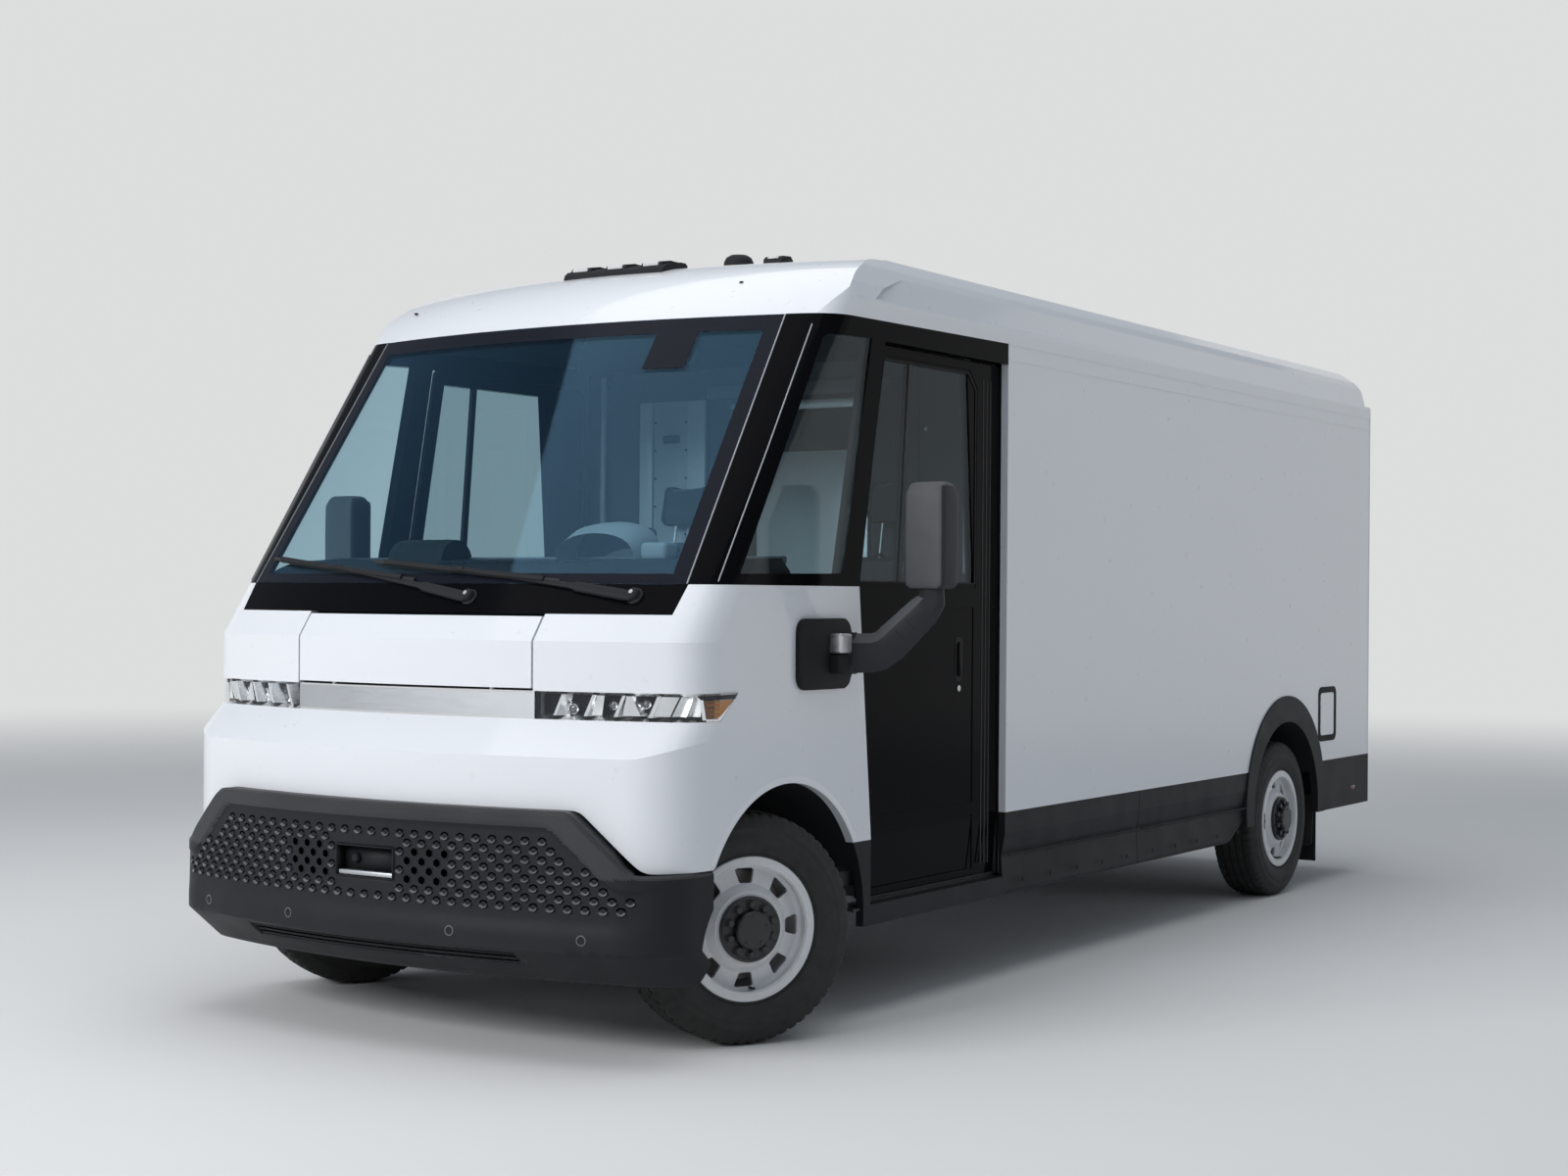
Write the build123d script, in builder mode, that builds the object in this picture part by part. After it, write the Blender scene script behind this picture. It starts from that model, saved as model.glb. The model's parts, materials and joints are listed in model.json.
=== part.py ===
"""Electric walk-in cargo van, about 6.7 m long, as an assembly of separate pieces.

Frame: millimetres, +Z up, wheels on Z = 0, the front faces -Y and the van's left side is +X.
The origin is on the ground, midway along the van's length and width.
"""

from build123d import *
import math
import os

os.makedirs("parts", exist_ok=True)

# ---------------------------------------------------------------- driving dimensions
wheelbase = 4570
front_overhang = 868
body_rear_overhang = 1236
rear_step_depth = 70
body_half_width = 1085
skin = 30  # thickness of an outer panel
panel_gap = 4  # shut line between neighbouring panels
running_gap = 8  # between a moving piece and what it passes
seat_gap = 0.3  # between a moving piece and the stop or track it rests on
pin_gap = 0.1  # radial play of a pin or spindle in its bore

belt_z = 1514  # underside of the side glass
rail_z = 2465  # top of the cargo side panels
panel_bottom_z = 645  # bottom edge of the white side panels
skirt_bottom_z = 325
skirt_seams = (2810,)  # from the front axle
seam_depth = 22
load_floor_z = 740
floor_thickness = 50
sill_z = 405

nose_radius = 3400  # plan curvature of the whole front end
glass_slope = 0.695  # rearward travel of the windshield for each unit of height
glass_nose_y = -551  # centre of the windshield's foot, from the front axle
glass_foot_z = 1518
glass_top_z = 2460
cowl_bottom_z = 1416
nose_y = -682  # upper nose at the lamps, from the front axle
nose_corner = 150
lamp_bottom_z = 1079
lamp_top_z = 1169
fascia_y = -800
fascia_corner = 230
shelf_slope = 1.05
bumper_y = -868
bumper_corner = 240
bumper_top_z = 802
bumper_bottom_z = 250
bumper_wing_z = 612  # top of the bumper's outer ends
bumper_wall = 60
plate_recess = (250, 101, 38)  # width, height and depth of the recess in the bumper
plate_recess_z = 606
air_slot = (1180, 46)
air_slot_z = 330
vent_hole_radius = 13
vent_pitch = (60, 30)  # sideways and upward steps of the staggered vent holes
sensor_radius = 14
sensor_places = ((353, 409), (802, 407))
undercut_z = 365
undercut_slope = 1.25
fender_gap_y = -396  # shut line between nose and fender, from the front axle
hood_half_width = 522
screen_foot_inset = 120  # from the body side to the windshield's foot
screen_top_inset = 166
cowl_foot_inset = 127

tyre_radius = 385
tyre_width = 235
tyre_seat = 216  # radius where tyre and rim meet
hub_radius = 107
rim_flange = 238
track_half = 950
kingpin_x = 800
parked_steer = -30  # wheels left turned to the van's right
hand_holes = 8
hand_hole_radii = (147, 196)  # inner and outer edge of a hand hole
hand_hole_widths = (46, 74)

front_arch_radius = 490
front_arch_z = 370
rear_arch_outer = 536
rear_arch_outer_z = 462
rear_arch_inner = 440
rear_arch_inner_z = 430

# ---------------------------------------------------------------- places along the van
overall_length = front_overhang + wheelbase + body_rear_overhang + rear_step_depth
front_axle_y = front_overhang - overall_length / 2
rear_axle_y = front_axle_y + wheelbase
body_rear_y = rear_axle_y + body_rear_overhang
door_rear_y = front_axle_y + 1552
belt_corner_y = front_axle_y + 455  # where fender, door and side glass meet
fender_foot_y = front_axle_y + 545
fender_foot_z = 626
door_top_y = front_axle_y + 622
door_head_z = 2375
bulkhead_y = door_rear_y + 40
inner_face_x = body_half_width - skin
door_outer_x = inner_face_x - running_gap
door_thickness = 35
cowl_foot_half = body_half_width - cowl_foot_inset


def save(part, name):
    """Label one finished piece and write its STEP file."""
    part.label = name
    export_step(part, f"parts/{name}.step")


def crown(x):
    """How far the curved front falls back at a distance x from the centreline."""
    return nose_radius - math.sqrt(nose_radius**2 - x**2)


def side_plane(x):
    """A sketch plane facing +X whose local axes are the van's Y and Z."""
    return Plane(origin=(x, 0, 0), x_dir=(0, 1, 0), z_dir=(1, 0, 0))


def front_plane(y):
    """A sketch plane facing -Y whose local axes are the van's X and Z."""
    return Plane.XZ.offset(-y)


def plan_outline(nose, half_width, back_y, corner):
    """Plan view of the front end: crowned nose, rounded corners, straight sides."""
    reach = nose_radius - corner
    corner_x = half_width - corner
    corner_y = nose + nose_radius - math.sqrt(reach**2 - corner_x**2)
    lean = math.asin(corner_x / reach)
    touch = (nose_radius * math.sin(lean), nose + nose_radius * (1 - math.cos(lean)))
    middle = (lean + math.pi / 2) / 2
    bulge = (corner_x + corner * math.sin(middle), corner_y - corner * math.cos(middle))
    back_y = max(back_y, corner_y + panel_gap)
    with BuildSketch() as outline:
        with BuildLine():
            ThreePointArc((-touch[0], touch[1]), (0, nose), touch)
            ThreePointArc(touch, bulge, (half_width, corner_y))
            Polyline(
                (half_width, corner_y), (half_width, back_y), (-half_width, back_y), (-half_width, corner_y)
            )
            ThreePointArc((-half_width, corner_y), (-bulge[0], bulge[1]), (-touch[0], touch[1]))
        make_face()
    return outline.sketch


def upright_block(nose, half_width, back_y, corner, low_z, high_z):
    """The plan outline carried straight up."""
    outline = plan_outline(front_axle_y + nose, half_width, back_y, corner)
    with BuildPart() as block:
        with BuildSketch(Plane.XY.offset(low_z)):
            add(outline)
        extrude(amount=high_z - low_z)
        with Locations((0, back_y - overall_length / 2, (low_z + high_z) / 2)):
            Box(overall_length, overall_length, high_z - low_z, mode=Mode.INTERSECT)
    return block.part


def leaning_block(nose, half_width, back_y, corner, low_z, high_z, slope):
    """The plan outline carried up while it moves back by slope times the height."""
    rise = high_z - low_z
    outline = plan_outline(front_axle_y + nose, half_width, back_y, corner)
    with BuildPart() as block:
        with BuildSketch(Plane.XY.offset(low_z)):
            add(outline)
        extrude(amount=math.hypot(rise, slope * rise), dir=(0, slope, 1))
    return block.part


def glass_block(inset, low_z, high_z, back_y):
    """Everything behind the leaning surface that windshield, cowl and roof front share."""
    nose = glass_nose_y + inset * 1.2 - glass_slope * (glass_foot_z - low_z)
    return leaning_block(nose, body_half_width - inset, back_y, nose_corner, low_z, high_z, glass_slope)


def nose_block(inset, back_y):
    """The upper nose from the lamps to the cowl: upright, then leaning with the glass."""
    upright = upright_block(
        nose_y + inset, body_half_width - inset, back_y, nose_corner, lamp_top_z, belt_z
    )
    leaning = glass_block(inset, lamp_top_z - 400, belt_z + 1, back_y + 600)
    with BuildPart() as block:
        add(upright)
        add(leaning, mode=Mode.INTERSECT)
    return block.part


def yz_prism(points, low_x, high_x, both_sides=False):
    """A prism across the van from an outline given as (y from the front axle, z)."""
    with BuildPart() as prism:
        with BuildSketch(side_plane(low_x)):
            with BuildLine():
                Polyline([(front_axle_y + y, z) for y, z in points], close=True)
            make_face()
        extrude(amount=high_x - low_x)
        if both_sides:
            mirror(about=Plane.YZ)
    return prism.part


def cylinder_across(y, z, radius, low_x, high_x):
    """A cylinder lying across the van."""
    with BuildPart() as roll:
        with BuildSketch(side_plane(low_x)):
            with Locations((y, z)):
                Circle(radius)
        extrude(amount=high_x - low_x)
    return roll.part


# ================================================================ nose and front panels
nose_back_y = front_axle_y + fender_gap_y
nose_outer = nose_block(0, nose_back_y + 100)
nose_inner = nose_block(skin, nose_back_y + 101)
front_arch = cylinder_across(
    front_axle_y, front_arch_z, front_arch_radius, -body_half_width - 100, body_half_width + 100
)
liner = 8
front_liner_space = cylinder_across(
    front_axle_y, front_arch_z, front_arch_radius + liner, -inner_face_x, inner_face_x
)

with BuildPart() as hood:
    add(nose_outer)
    add(nose_inner, mode=Mode.SUBTRACT)
    with BuildSketch(front_plane(nose_back_y)):
        with Locations((0, (lamp_top_z + cowl_bottom_z) / 2)):
            Rectangle(
                2 * (hood_half_width - running_gap),
                cowl_bottom_z - lamp_top_z - 2 * running_gap,
            )
    extrude(amount=1000, mode=Mode.INTERSECT)
save(hood.part, "hood")

with BuildPart() as corner_panels:
    add(nose_outer)
    add(nose_inner, mode=Mode.SUBTRACT)
    with BuildSketch(front_plane(nose_back_y)):
        with BuildLine():
            Polyline(
                (hood_half_width, lamp_top_z),
                (body_half_width, lamp_top_z),
                (body_half_width, belt_z),
                (body_half_width - screen_foot_inset + panel_gap, belt_z),
                (cowl_foot_half, cowl_bottom_z),
                (hood_half_width, cowl_bottom_z),
                close=True,
            )
        make_face()
        mirror(about=Plane.YZ)
    extrude(amount=1000, mode=Mode.INTERSECT)
save(corner_panels.part, "nose_corner_panels")

lamp_outer = upright_block(
    nose_y + 8, body_half_width - 2, nose_back_y + 100, nose_corner, lamp_bottom_z, lamp_top_z
)
lamp_inner = upright_block(
    nose_y + 60, body_half_width - 54, nose_back_y + 101, nose_corner, lamp_bottom_z - 1, lamp_top_z + 1
)
with BuildPart() as light_bar:
    add(lamp_outer)
    add(lamp_inner, mode=Mode.SUBTRACT)
    with Locations((0, nose_back_y - 600, (lamp_bottom_z + lamp_top_z) / 2)):
        Box(2 * hood_half_width, 1200, lamp_top_z - lamp_bottom_z, mode=Mode.INTERSECT)
    with Locations((-350, front_axle_y - 640, lamp_top_z), (350, front_axle_y - 640, lamp_top_z)):
        Cylinder(9, 2 * (running_gap - seat_gap))
save(light_bar.part, "light_bar")

with BuildPart() as headlights:
    add(lamp_outer)
    add(lamp_inner, mode=Mode.SUBTRACT)
    with Locations((0, nose_back_y, (lamp_bottom_z + lamp_top_z) / 2)):
        Box(2 * hood_half_width, 1200, lamp_top_z, mode=Mode.SUBTRACT)
    with Locations((0, nose_back_y - 600, (lamp_bottom_z + lamp_top_z) / 2)):
        Box(3 * body_half_width, 1200, lamp_top_z, mode=Mode.INTERSECT)
save(headlights.part, "headlights")


def bumper_profile():
    """Front view of the dark bumper's upper edge: a wide low band with a raised centre."""
    with BuildSketch() as profile:
        with BuildLine():
            Polyline(
                (0, 0),
                (body_half_width + 100, 0),
                (body_half_width + 100, bumper_wing_z),
                (body_half_width - 110, bumper_wing_z),
                (body_half_width - 317, bumper_top_z),
                (0, bumper_top_z),
                close=True,
            )
        make_face()
        mirror(about=Plane.YZ)
        upper = [
            v for v in profile.vertices() if 0 < abs(v.X) < body_half_width and v.Y > bumper_wing_z - 1
        ]
        fillet(upper, 70)
    return profile.sketch


bumper_outline = bumper_profile()
fascia_block = upright_block(fascia_y, body_half_width, nose_back_y, fascia_corner, 560, lamp_bottom_z)
fascia_shelf = leaning_block(
    nose_y - shelf_slope * (lamp_bottom_z - 560),
    body_half_width,
    nose_back_y + 600,
    nose_corner,
    560,
    lamp_bottom_z,
    shelf_slope,
)
fascia_core = upright_block(
    fascia_y + skin, inner_face_x, nose_back_y + 1, fascia_corner - skin, 500, lamp_bottom_z
)
fascia_core_shelf = leaning_block(
    nose_y - shelf_slope * (lamp_bottom_z - 560) + 45,
    inner_face_x,
    nose_back_y + 601,
    nose_corner,
    560,
    lamp_bottom_z,
    shelf_slope,
)
with BuildPart() as fascia_hollow:
    add(fascia_core)
    add(fascia_core_shelf, mode=Mode.INTERSECT)
with BuildPart() as front_fascia:
    add(fascia_block)
    add(fascia_shelf, mode=Mode.INTERSECT)
    add(fascia_hollow.part, mode=Mode.SUBTRACT)
    with BuildSketch(front_plane(nose_back_y + 10)):
        add(bumper_outline)
    extrude(amount=1000, mode=Mode.SUBTRACT)
    add(front_arch, mode=Mode.SUBTRACT)
    add(front_liner_space, mode=Mode.SUBTRACT)
save(front_fascia.part, "front_fascia")

bumper_block = upright_block(bumper_y, body_half_width, nose_back_y, bumper_corner, bumper_bottom_z, 900)
bumper_undercut = leaning_block(
    bumper_y + undercut_slope * (undercut_z - bumper_bottom_z),
    body_half_width,
    nose_back_y + 600,
    bumper_corner,
    bumper_bottom_z,
    1000,
    -undercut_slope,
)
bumper_hollow = upright_block(
    bumper_y + bumper_wall, body_half_width - 50, nose_back_y + 1, bumper_corner - 30, 200, 900
)
vent_places = []
for column in range(3):
    for row in range(4):
        x = plate_recess[0] / 2 + 42 + vent_pitch[0] * (column + row % 2 / 2)
        vent_places.append((x, plate_recess_z + vent_pitch[1] * (row - 1.5)))
with BuildPart() as front_bumper:
    add(bumper_block)
    add(bumper_undercut, mode=Mode.INTERSECT)
    with BuildSketch(front_plane(nose_back_y + 10)):
        add(bumper_outline)
    extrude(amount=1000, mode=Mode.INTERSECT)
    add(bumper_hollow, mode=Mode.SUBTRACT)
    add(front_arch, mode=Mode.SUBTRACT)
    add(front_liner_space, mode=Mode.SUBTRACT)
    with BuildSketch(front_plane(front_axle_y + bumper_y + plate_recess[2])):
        with Locations((0, plate_recess_z)):
            RectangleRounded(plate_recess[0], plate_recess[1], 8)
    extrude(amount=plate_recess[2] + 10, mode=Mode.SUBTRACT)
    with BuildSketch(front_plane(front_axle_y + bumper_y + 2 * bumper_wall + 80)):
        with Locations((0, air_slot_z)):
            RectangleRounded(air_slot[0], air_slot[1], 10)
        for side in (1, -1):
            with Locations([(side * x, z) for x, z in vent_places]):
                RegularPolygon(vent_hole_radius, 6)
    extrude(amount=3 * bumper_wall + 80, mode=Mode.SUBTRACT)
    with BuildSketch(front_plane(front_axle_y + bumper_y + bumper_wall)):
        for side in (1, -1):
            with Locations((side * sensor_places[0][0], sensor_places[0][1])):
                Circle(sensor_radius)
    extrude(amount=bumper_wall + 10, mode=Mode.SUBTRACT)
save(front_bumper.part, "front_bumper")

# ================================================================ cowl, glass and cab sides
glass_outer = glass_block(0, 1380, 2560, door_rear_y)
glass_back = glass_block(10, 1380, 2560, door_rear_y + 1)
frame_back = glass_block(45, 1380, 2560, door_rear_y + 1)
cowl_back = glass_block(skin, 1380, 2560, door_rear_y + 1)
screen_foot_half = body_half_width - screen_foot_inset
screen_top_half = body_half_width - screen_top_inset
cap_front_z = 2446  # underside of the roof over the windshield

with BuildPart() as cowl_panel:
    add(glass_outer)
    add(cowl_back, mode=Mode.SUBTRACT)
    with BuildSketch(front_plane(front_axle_y + 300)):
        with BuildLine():
            Polyline(
                (-cowl_foot_half, cowl_bottom_z),
                (cowl_foot_half, cowl_bottom_z),
                (screen_foot_half + panel_gap, belt_z),
                (-screen_foot_half - panel_gap, belt_z),
                close=True,
            )
        make_face()
    extrude(amount=2000, mode=Mode.INTERSECT)
save(cowl_panel.part, "cowl_panel")

with BuildPart() as windshield:
    add(glass_outer)
    add(glass_back, mode=Mode.SUBTRACT)
    with BuildSketch(front_plane(front_axle_y + 300)):
        with BuildLine():
            Polyline(
                (-screen_foot_half, belt_z),
                (screen_foot_half, belt_z),
                (screen_top_half, cap_front_z),
                (-screen_top_half, cap_front_z),
                close=True,
            )
        make_face()
    extrude(amount=2000, mode=Mode.INTERSECT)
save(windshield.part, "windshield")

quarter_points = [(-282, 1550), (336, 1558), (521, 2384), (248, 2374)]
side_frame_points = [(-700, belt_z), (belt_corner_y - front_axle_y - running_gap, belt_z)]
side_frame_points += [(door_top_y - front_axle_y - running_gap, door_head_z + running_gap)]
side_frame_points += [(1552, door_head_z + running_gap), (1552, rail_z), (0, cap_front_z), (-300, cap_front_z)]
quarter_prism = yz_prism(quarter_points, body_half_width - 285, body_half_width + 100, both_sides=True)
side_frame_prism = yz_prism(side_frame_points, body_half_width - 385, body_half_width + 100, both_sides=True)
with BuildPart() as screen_prism:
    with BuildSketch(front_plane(front_axle_y + 700)):
        with BuildLine():
            Polyline(
                (-screen_foot_half, belt_z),
                (screen_foot_half, belt_z),
                (screen_top_half, cap_front_z),
                (screen_top_half, 2700),
                (-screen_top_half, 2700),
                (-screen_top_half, cap_front_z),
                close=True,
            )
        make_face()
    extrude(amount=2000)

with BuildPart() as cab_side_frames:
    add(glass_outer)
    add(frame_back, mode=Mode.SUBTRACT)
    add(side_frame_prism, mode=Mode.INTERSECT)
    add(screen_prism.part, mode=Mode.SUBTRACT)
    add(quarter_prism, mode=Mode.SUBTRACT)
save(cab_side_frames.part, "cab_side_frames")

quarter_outer = glass_block(4, 1380, 2560, door_rear_y + 1)
quarter_inner = glass_block(12, 1380, 2560, door_rear_y + 2)
with BuildPart() as quarter_glass:
    add(quarter_outer)
    add(quarter_inner, mode=Mode.SUBTRACT)
    add(quarter_prism, mode=Mode.INTERSECT)
    add(screen_prism.part, mode=Mode.SUBTRACT)
save(quarter_glass.part, "quarter_glass")

# ================================================================ body sides
fender_rear = (belt_corner_y - front_axle_y - running_gap, fender_foot_y - front_axle_y - running_gap)
fender_points = [(fender_gap_y, 300), (fender_gap_y, belt_z), (fender_rear[0], belt_z)]
fender_points += [(fender_rear[1], fender_foot_z), (400, fender_foot_z), (400, 300)]
corner_points = [(fender_gap_y, 1200), (fender_gap_y, belt_z), (-200, belt_z), (-200, 1200)]
corner_space = yz_prism(corner_points, body_half_width - 100, body_half_width)
lean_outer = glass_block(0, lamp_top_z - 400, belt_z + 1, nose_back_y + 600)
lean_inner = glass_block(skin, lamp_top_z - 401, belt_z + 2, nose_back_y + 601)
with BuildPart() as corner_wall:
    add(corner_space)
    add(lean_outer, mode=Mode.INTERSECT)
    add(lean_inner, mode=Mode.SUBTRACT)
with BuildPart() as corner_cut:
    add(corner_space)
    add(lean_outer, mode=Mode.SUBTRACT)
for side, name in ((1, "left"), (-1, "right")):
    fender_prism = yz_prism(fender_points, inner_face_x, body_half_width)
    with BuildPart() as fender:
        add(fender_prism)
        add(front_arch, mode=Mode.SUBTRACT)
        add(corner_cut.part, mode=Mode.SUBTRACT)
        add(corner_wall.part)
    panel = fender.part if side > 0 else mirror(fender.part, about=Plane.YZ)
    save(panel, f"fender_{name}")

panel_points = [(1552, panel_bottom_z), (1552, rail_z), (body_rear_y - front_axle_y, rail_z)]
panel_points += [(body_rear_y - front_axle_y, panel_bottom_z)]
rear_arch_block = cylinder_across(
    rear_axle_y, rear_arch_outer_z, rear_arch_outer, inner_face_x - 50, body_half_width + 100
)
charge_door_y = (rear_axle_y + 462, rear_axle_y + 717)
charge_door_z = (749, 1024)
charge_hinge = (body_half_width + 1, charge_door_y[0] + 21)
with BuildPart() as charge_hole:
    with BuildSketch(side_plane(inner_face_x - 5)):
        with Locations((sum(charge_door_y) / 2, sum(charge_door_z) / 2)):
            RectangleRounded(charge_door_y[1] - charge_door_y[0], charge_door_z[1] - charge_door_z[0], 35)
    extrude(amount=60)
with BuildPart() as charge_door:
    with BuildSketch(side_plane(body_half_width - 8)):
        with Locations((sum(charge_door_y) / 2, sum(charge_door_z) / 2)):
            RectangleRounded(
                charge_door_y[1] - charge_door_y[0] - 50, charge_door_z[1] - charge_door_z[0] - 50, 14
            )
    extrude(amount=8)
    for z in (-60, 60):
        with Locations((charge_hinge[0], charge_hinge[1] + 2, sum(charge_door_z) / 2 + z)):
            Box(4, 8, 30)
        with Locations((charge_hinge[0], charge_hinge[1], sum(charge_door_z) / 2 + z)):
            Cylinder(3.5, 30)
            Cylinder(2 + pin_gap, 40, mode=Mode.SUBTRACT)
save(charge_door.part, "charge_port_door")
with BuildPart() as charge_port:
    with BuildSketch(side_plane(inner_face_x)):
        with Locations((sum(charge_door_y) / 2, sum(charge_door_z) / 2)):
            RectangleRounded(charge_door_y[1] - charge_door_y[0], charge_door_z[1] - charge_door_z[0], 35)
    extrude(amount=skin)
    with BuildSketch(side_plane(inner_face_x + 12)):
        with Locations((sum(charge_door_y) / 2, sum(charge_door_z) / 2)):
            RectangleRounded(
                charge_door_y[1] - charge_door_y[0] - 34, charge_door_z[1] - charge_door_z[0] - 34, 20
            )
    extrude(amount=skin, mode=Mode.SUBTRACT)
    for z in (-60, 60):
        with Locations((charge_hinge[0], charge_hinge[1], sum(charge_door_z) / 2 + z)):
            Cylinder(2, 36)
        for end in (-18, 18):
            with Locations((charge_hinge[0] - 2, charge_hinge[1] - 3, sum(charge_door_z) / 2 + z + end)):
                Box(8, 10, 4)
save(charge_port.part, "charge_port")

for side, name in ((1, "left"), (-1, "right")):
    panel_prism = yz_prism(panel_points, inner_face_x, body_half_width)
    with BuildPart() as side_panel:
        add(panel_prism)
        add(rear_arch_block, mode=Mode.SUBTRACT)
        if side > 0:
            add(charge_hole.part, mode=Mode.SUBTRACT)
    panel = side_panel.part if side > 0 else mirror(side_panel.part, about=Plane.YZ)
    save(panel, f"side_panel_{name}")

# ================================================================ roof
roof_wall = 45
crown_z = 2765
brow_points = [(100, 2446), (290, 2604), (650, 2704), (960, 2748), (1300, crown_z + 5)]  # from the front axle
gutter_depth = 30
shoulder_z = 2742


def roof_outline(inset):
    """Cross-section of the roof: upright rail, rounded shoulder and a crowned top."""
    half = [
        (body_half_width, 2300),
        (body_half_width, 2520),
        (body_half_width - 27, 2580),
        (body_half_width - 75, 2660),
        (body_half_width - 145, 2712),
        (body_half_width - 385, shoulder_z),
    ]
    with BuildSketch() as outline:
        with BuildLine():
            Polyline([(x, z) for x, z in half])
            ThreePointArc(half[-1], (0, crown_z), (-half[-1][0], shoulder_z))
            Polyline([(-x, z) for x, z in reversed(half)])
            Line((-body_half_width, 2300), (body_half_width, 2300))
        make_face()
        corners = [v for v in outline.vertices() if 2500 < v.Y < 2720]
        fillet(corners, 40)
        if inset:
            offset(amount=-inset, mode=Mode.REPLACE)
    return outline.sketch


roof_length = body_rear_y - front_axle_y


def brow_block(inset):
    """The raked brow turned about the centre of the plan's curve, so it keeps the front's crown."""
    lean_top = glass_slope * (cap_front_z - glass_foot_z)
    axis_y = front_axle_y + glass_nose_y + lean_top + nose_radius
    brow = [(front_axle_y + y + 0.7 * inset, z - inset) for y, z in brow_points]
    with BuildPart() as block:
        with BuildSketch(side_plane(0)):
            with BuildLine():
                Polyline((axis_y, 2000), (front_axle_y - 300, 2000), brow[0])
                ThreePointArc(*brow[:3])
                ThreePointArc(*brow[2:])
                Polyline(brow[-1], (axis_y, brow[-1][1]), (axis_y, 2000))
            make_face()
        revolve(axis=Axis((0, axis_y, 0), (0, 0, 1)))
    return block.part


def tail_profile(inset):
    """Side view of the roof's rear end, where it slopes down."""
    points = [(-1000, 2000), (-1000, crown_z + 5), (roof_length - 190, crown_z + 5)]
    points += [(roof_length - 90, 2700), (roof_length, 2612), (roof_length, 2000)]
    with BuildSketch() as profile:
        with BuildLine():
            Polyline([(front_axle_y + y, z) for y, z in points], close=True)
        make_face()
        if inset:
            offset(amount=-inset, mode=Mode.REPLACE)
    return profile.sketch


def roof_block(inset):
    """The roof's whole volume: cross-section, tail, turned brow and the leaning plan together."""
    cross = roof_outline(inset)
    tail = tail_profile(inset)
    brow = brow_block(inset)
    leaning = glass_block(inset, 1380, 2860, body_rear_y - inset)
    with BuildPart() as block:
        with BuildSketch(front_plane(body_rear_y + 10)):
            add(cross)
        extrude(amount=overall_length)
        with BuildSketch(side_plane(-2 * body_half_width)):
            add(tail)
        extrude(amount=4 * body_half_width, mode=Mode.INTERSECT)
        add(brow, mode=Mode.INTERSECT)
        add(leaning, mode=Mode.INTERSECT)
    return block.part


roof_outer = roof_block(0)
roof_inner = roof_block(roof_wall)
roof_split = door_rear_y - front_axle_y
cab_roof_points = [(-600, cap_front_z), (0, cap_front_z), (roof_split, rail_z), (roof_split, 2900), (-600, 2900)]
cargo_roof_points = [(roof_split, rail_z), (roof_length, rail_z), (roof_length, 2900), (roof_split, 2900)]
cab_roof_prism = yz_prism(cab_roof_points, -overall_length, overall_length)
cargo_roof_prism = yz_prism(cargo_roof_points, -overall_length, overall_length)
gutter_points = [(500, 2500), (640, 2575), (860, 2640), (1100, 2720), (roof_length, 2720), (roof_length, 2500)]
gutter_run = yz_prism(gutter_points, -overall_length, overall_length)
with BuildPart() as gutter:
    with BuildSketch(front_plane(body_rear_y + 10)):
        with BuildLine():
            Polyline(
                (body_half_width - gutter_depth, 2528),
                (body_half_width + 5, 2528),
                (body_half_width + 5, 2700),
                (body_half_width - 59, 2640),
                close=True,
            )
        make_face()
        mirror(about=Plane.YZ)
    extrude(amount=roof_length)
    add(gutter_run, mode=Mode.INTERSECT)
for prism, name in ((cab_roof_prism, "cab_roof"), (cargo_roof_prism, "cargo_roof")):
    with BuildPart() as roof:
        add(roof_outer)
        add(prism, mode=Mode.INTERSECT)
        add(roof_inner, mode=Mode.SUBTRACT)
        add(gutter.part, mode=Mode.SUBTRACT)
    save(roof.part, name)

# ================================================================ cab doors
door_slide = 880
door_crease_z = 630
door_points = [(622, door_head_z), (455, belt_z), (545, fender_foot_z), (545, sill_z + 8), (1544, sill_z + 8)]
door_points += [(1544, door_head_z)]
window_points = [(652, 2325), (1290, 2325), (1350, 1535), (500, 1535)]
door_prism = yz_prism(door_points, door_outer_x - door_thickness, door_outer_x)
window_prism = yz_prism(window_points, door_outer_x - door_thickness - 50, body_half_width + 50)
with BuildPart() as crease:
    with BuildSketch(front_plane(door_rear_y)):
        with BuildLine():
            Polyline(
                (door_outer_x, door_crease_z),
                (door_outer_x + 1, door_crease_z),
                (door_outer_x + 1, sill_z),
                (door_outer_x - 14, sill_z),
                close=True,
            )
        make_face()
    extrude(amount=1552)
door_crease = crease.part
for side, name in ((1, "left"), (-1, "right")):
    with BuildPart() as cab_door:
        add(door_prism)
        add(window_prism, mode=Mode.SUBTRACT)
        add(door_crease, mode=Mode.SUBTRACT)
        for y in (700, 1400):
            with Locations((door_outer_x - door_thickness / 2, front_axle_y + y, sill_z + 4)):
                Box(12, 60, 2 * (running_gap - seat_gap) + 8)
        if side < 0:
            mirror(about=Plane.YZ, mode=Mode.REPLACE)
    save(cab_door.part, f"cab_door_{name}")
    glass_prism = yz_prism(window_points, door_outer_x - 12, door_outer_x - 4)
    pane = glass_prism if side > 0 else mirror(glass_prism, about=Plane.YZ)
    save(pane, f"cab_door_glass_{name}")

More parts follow.
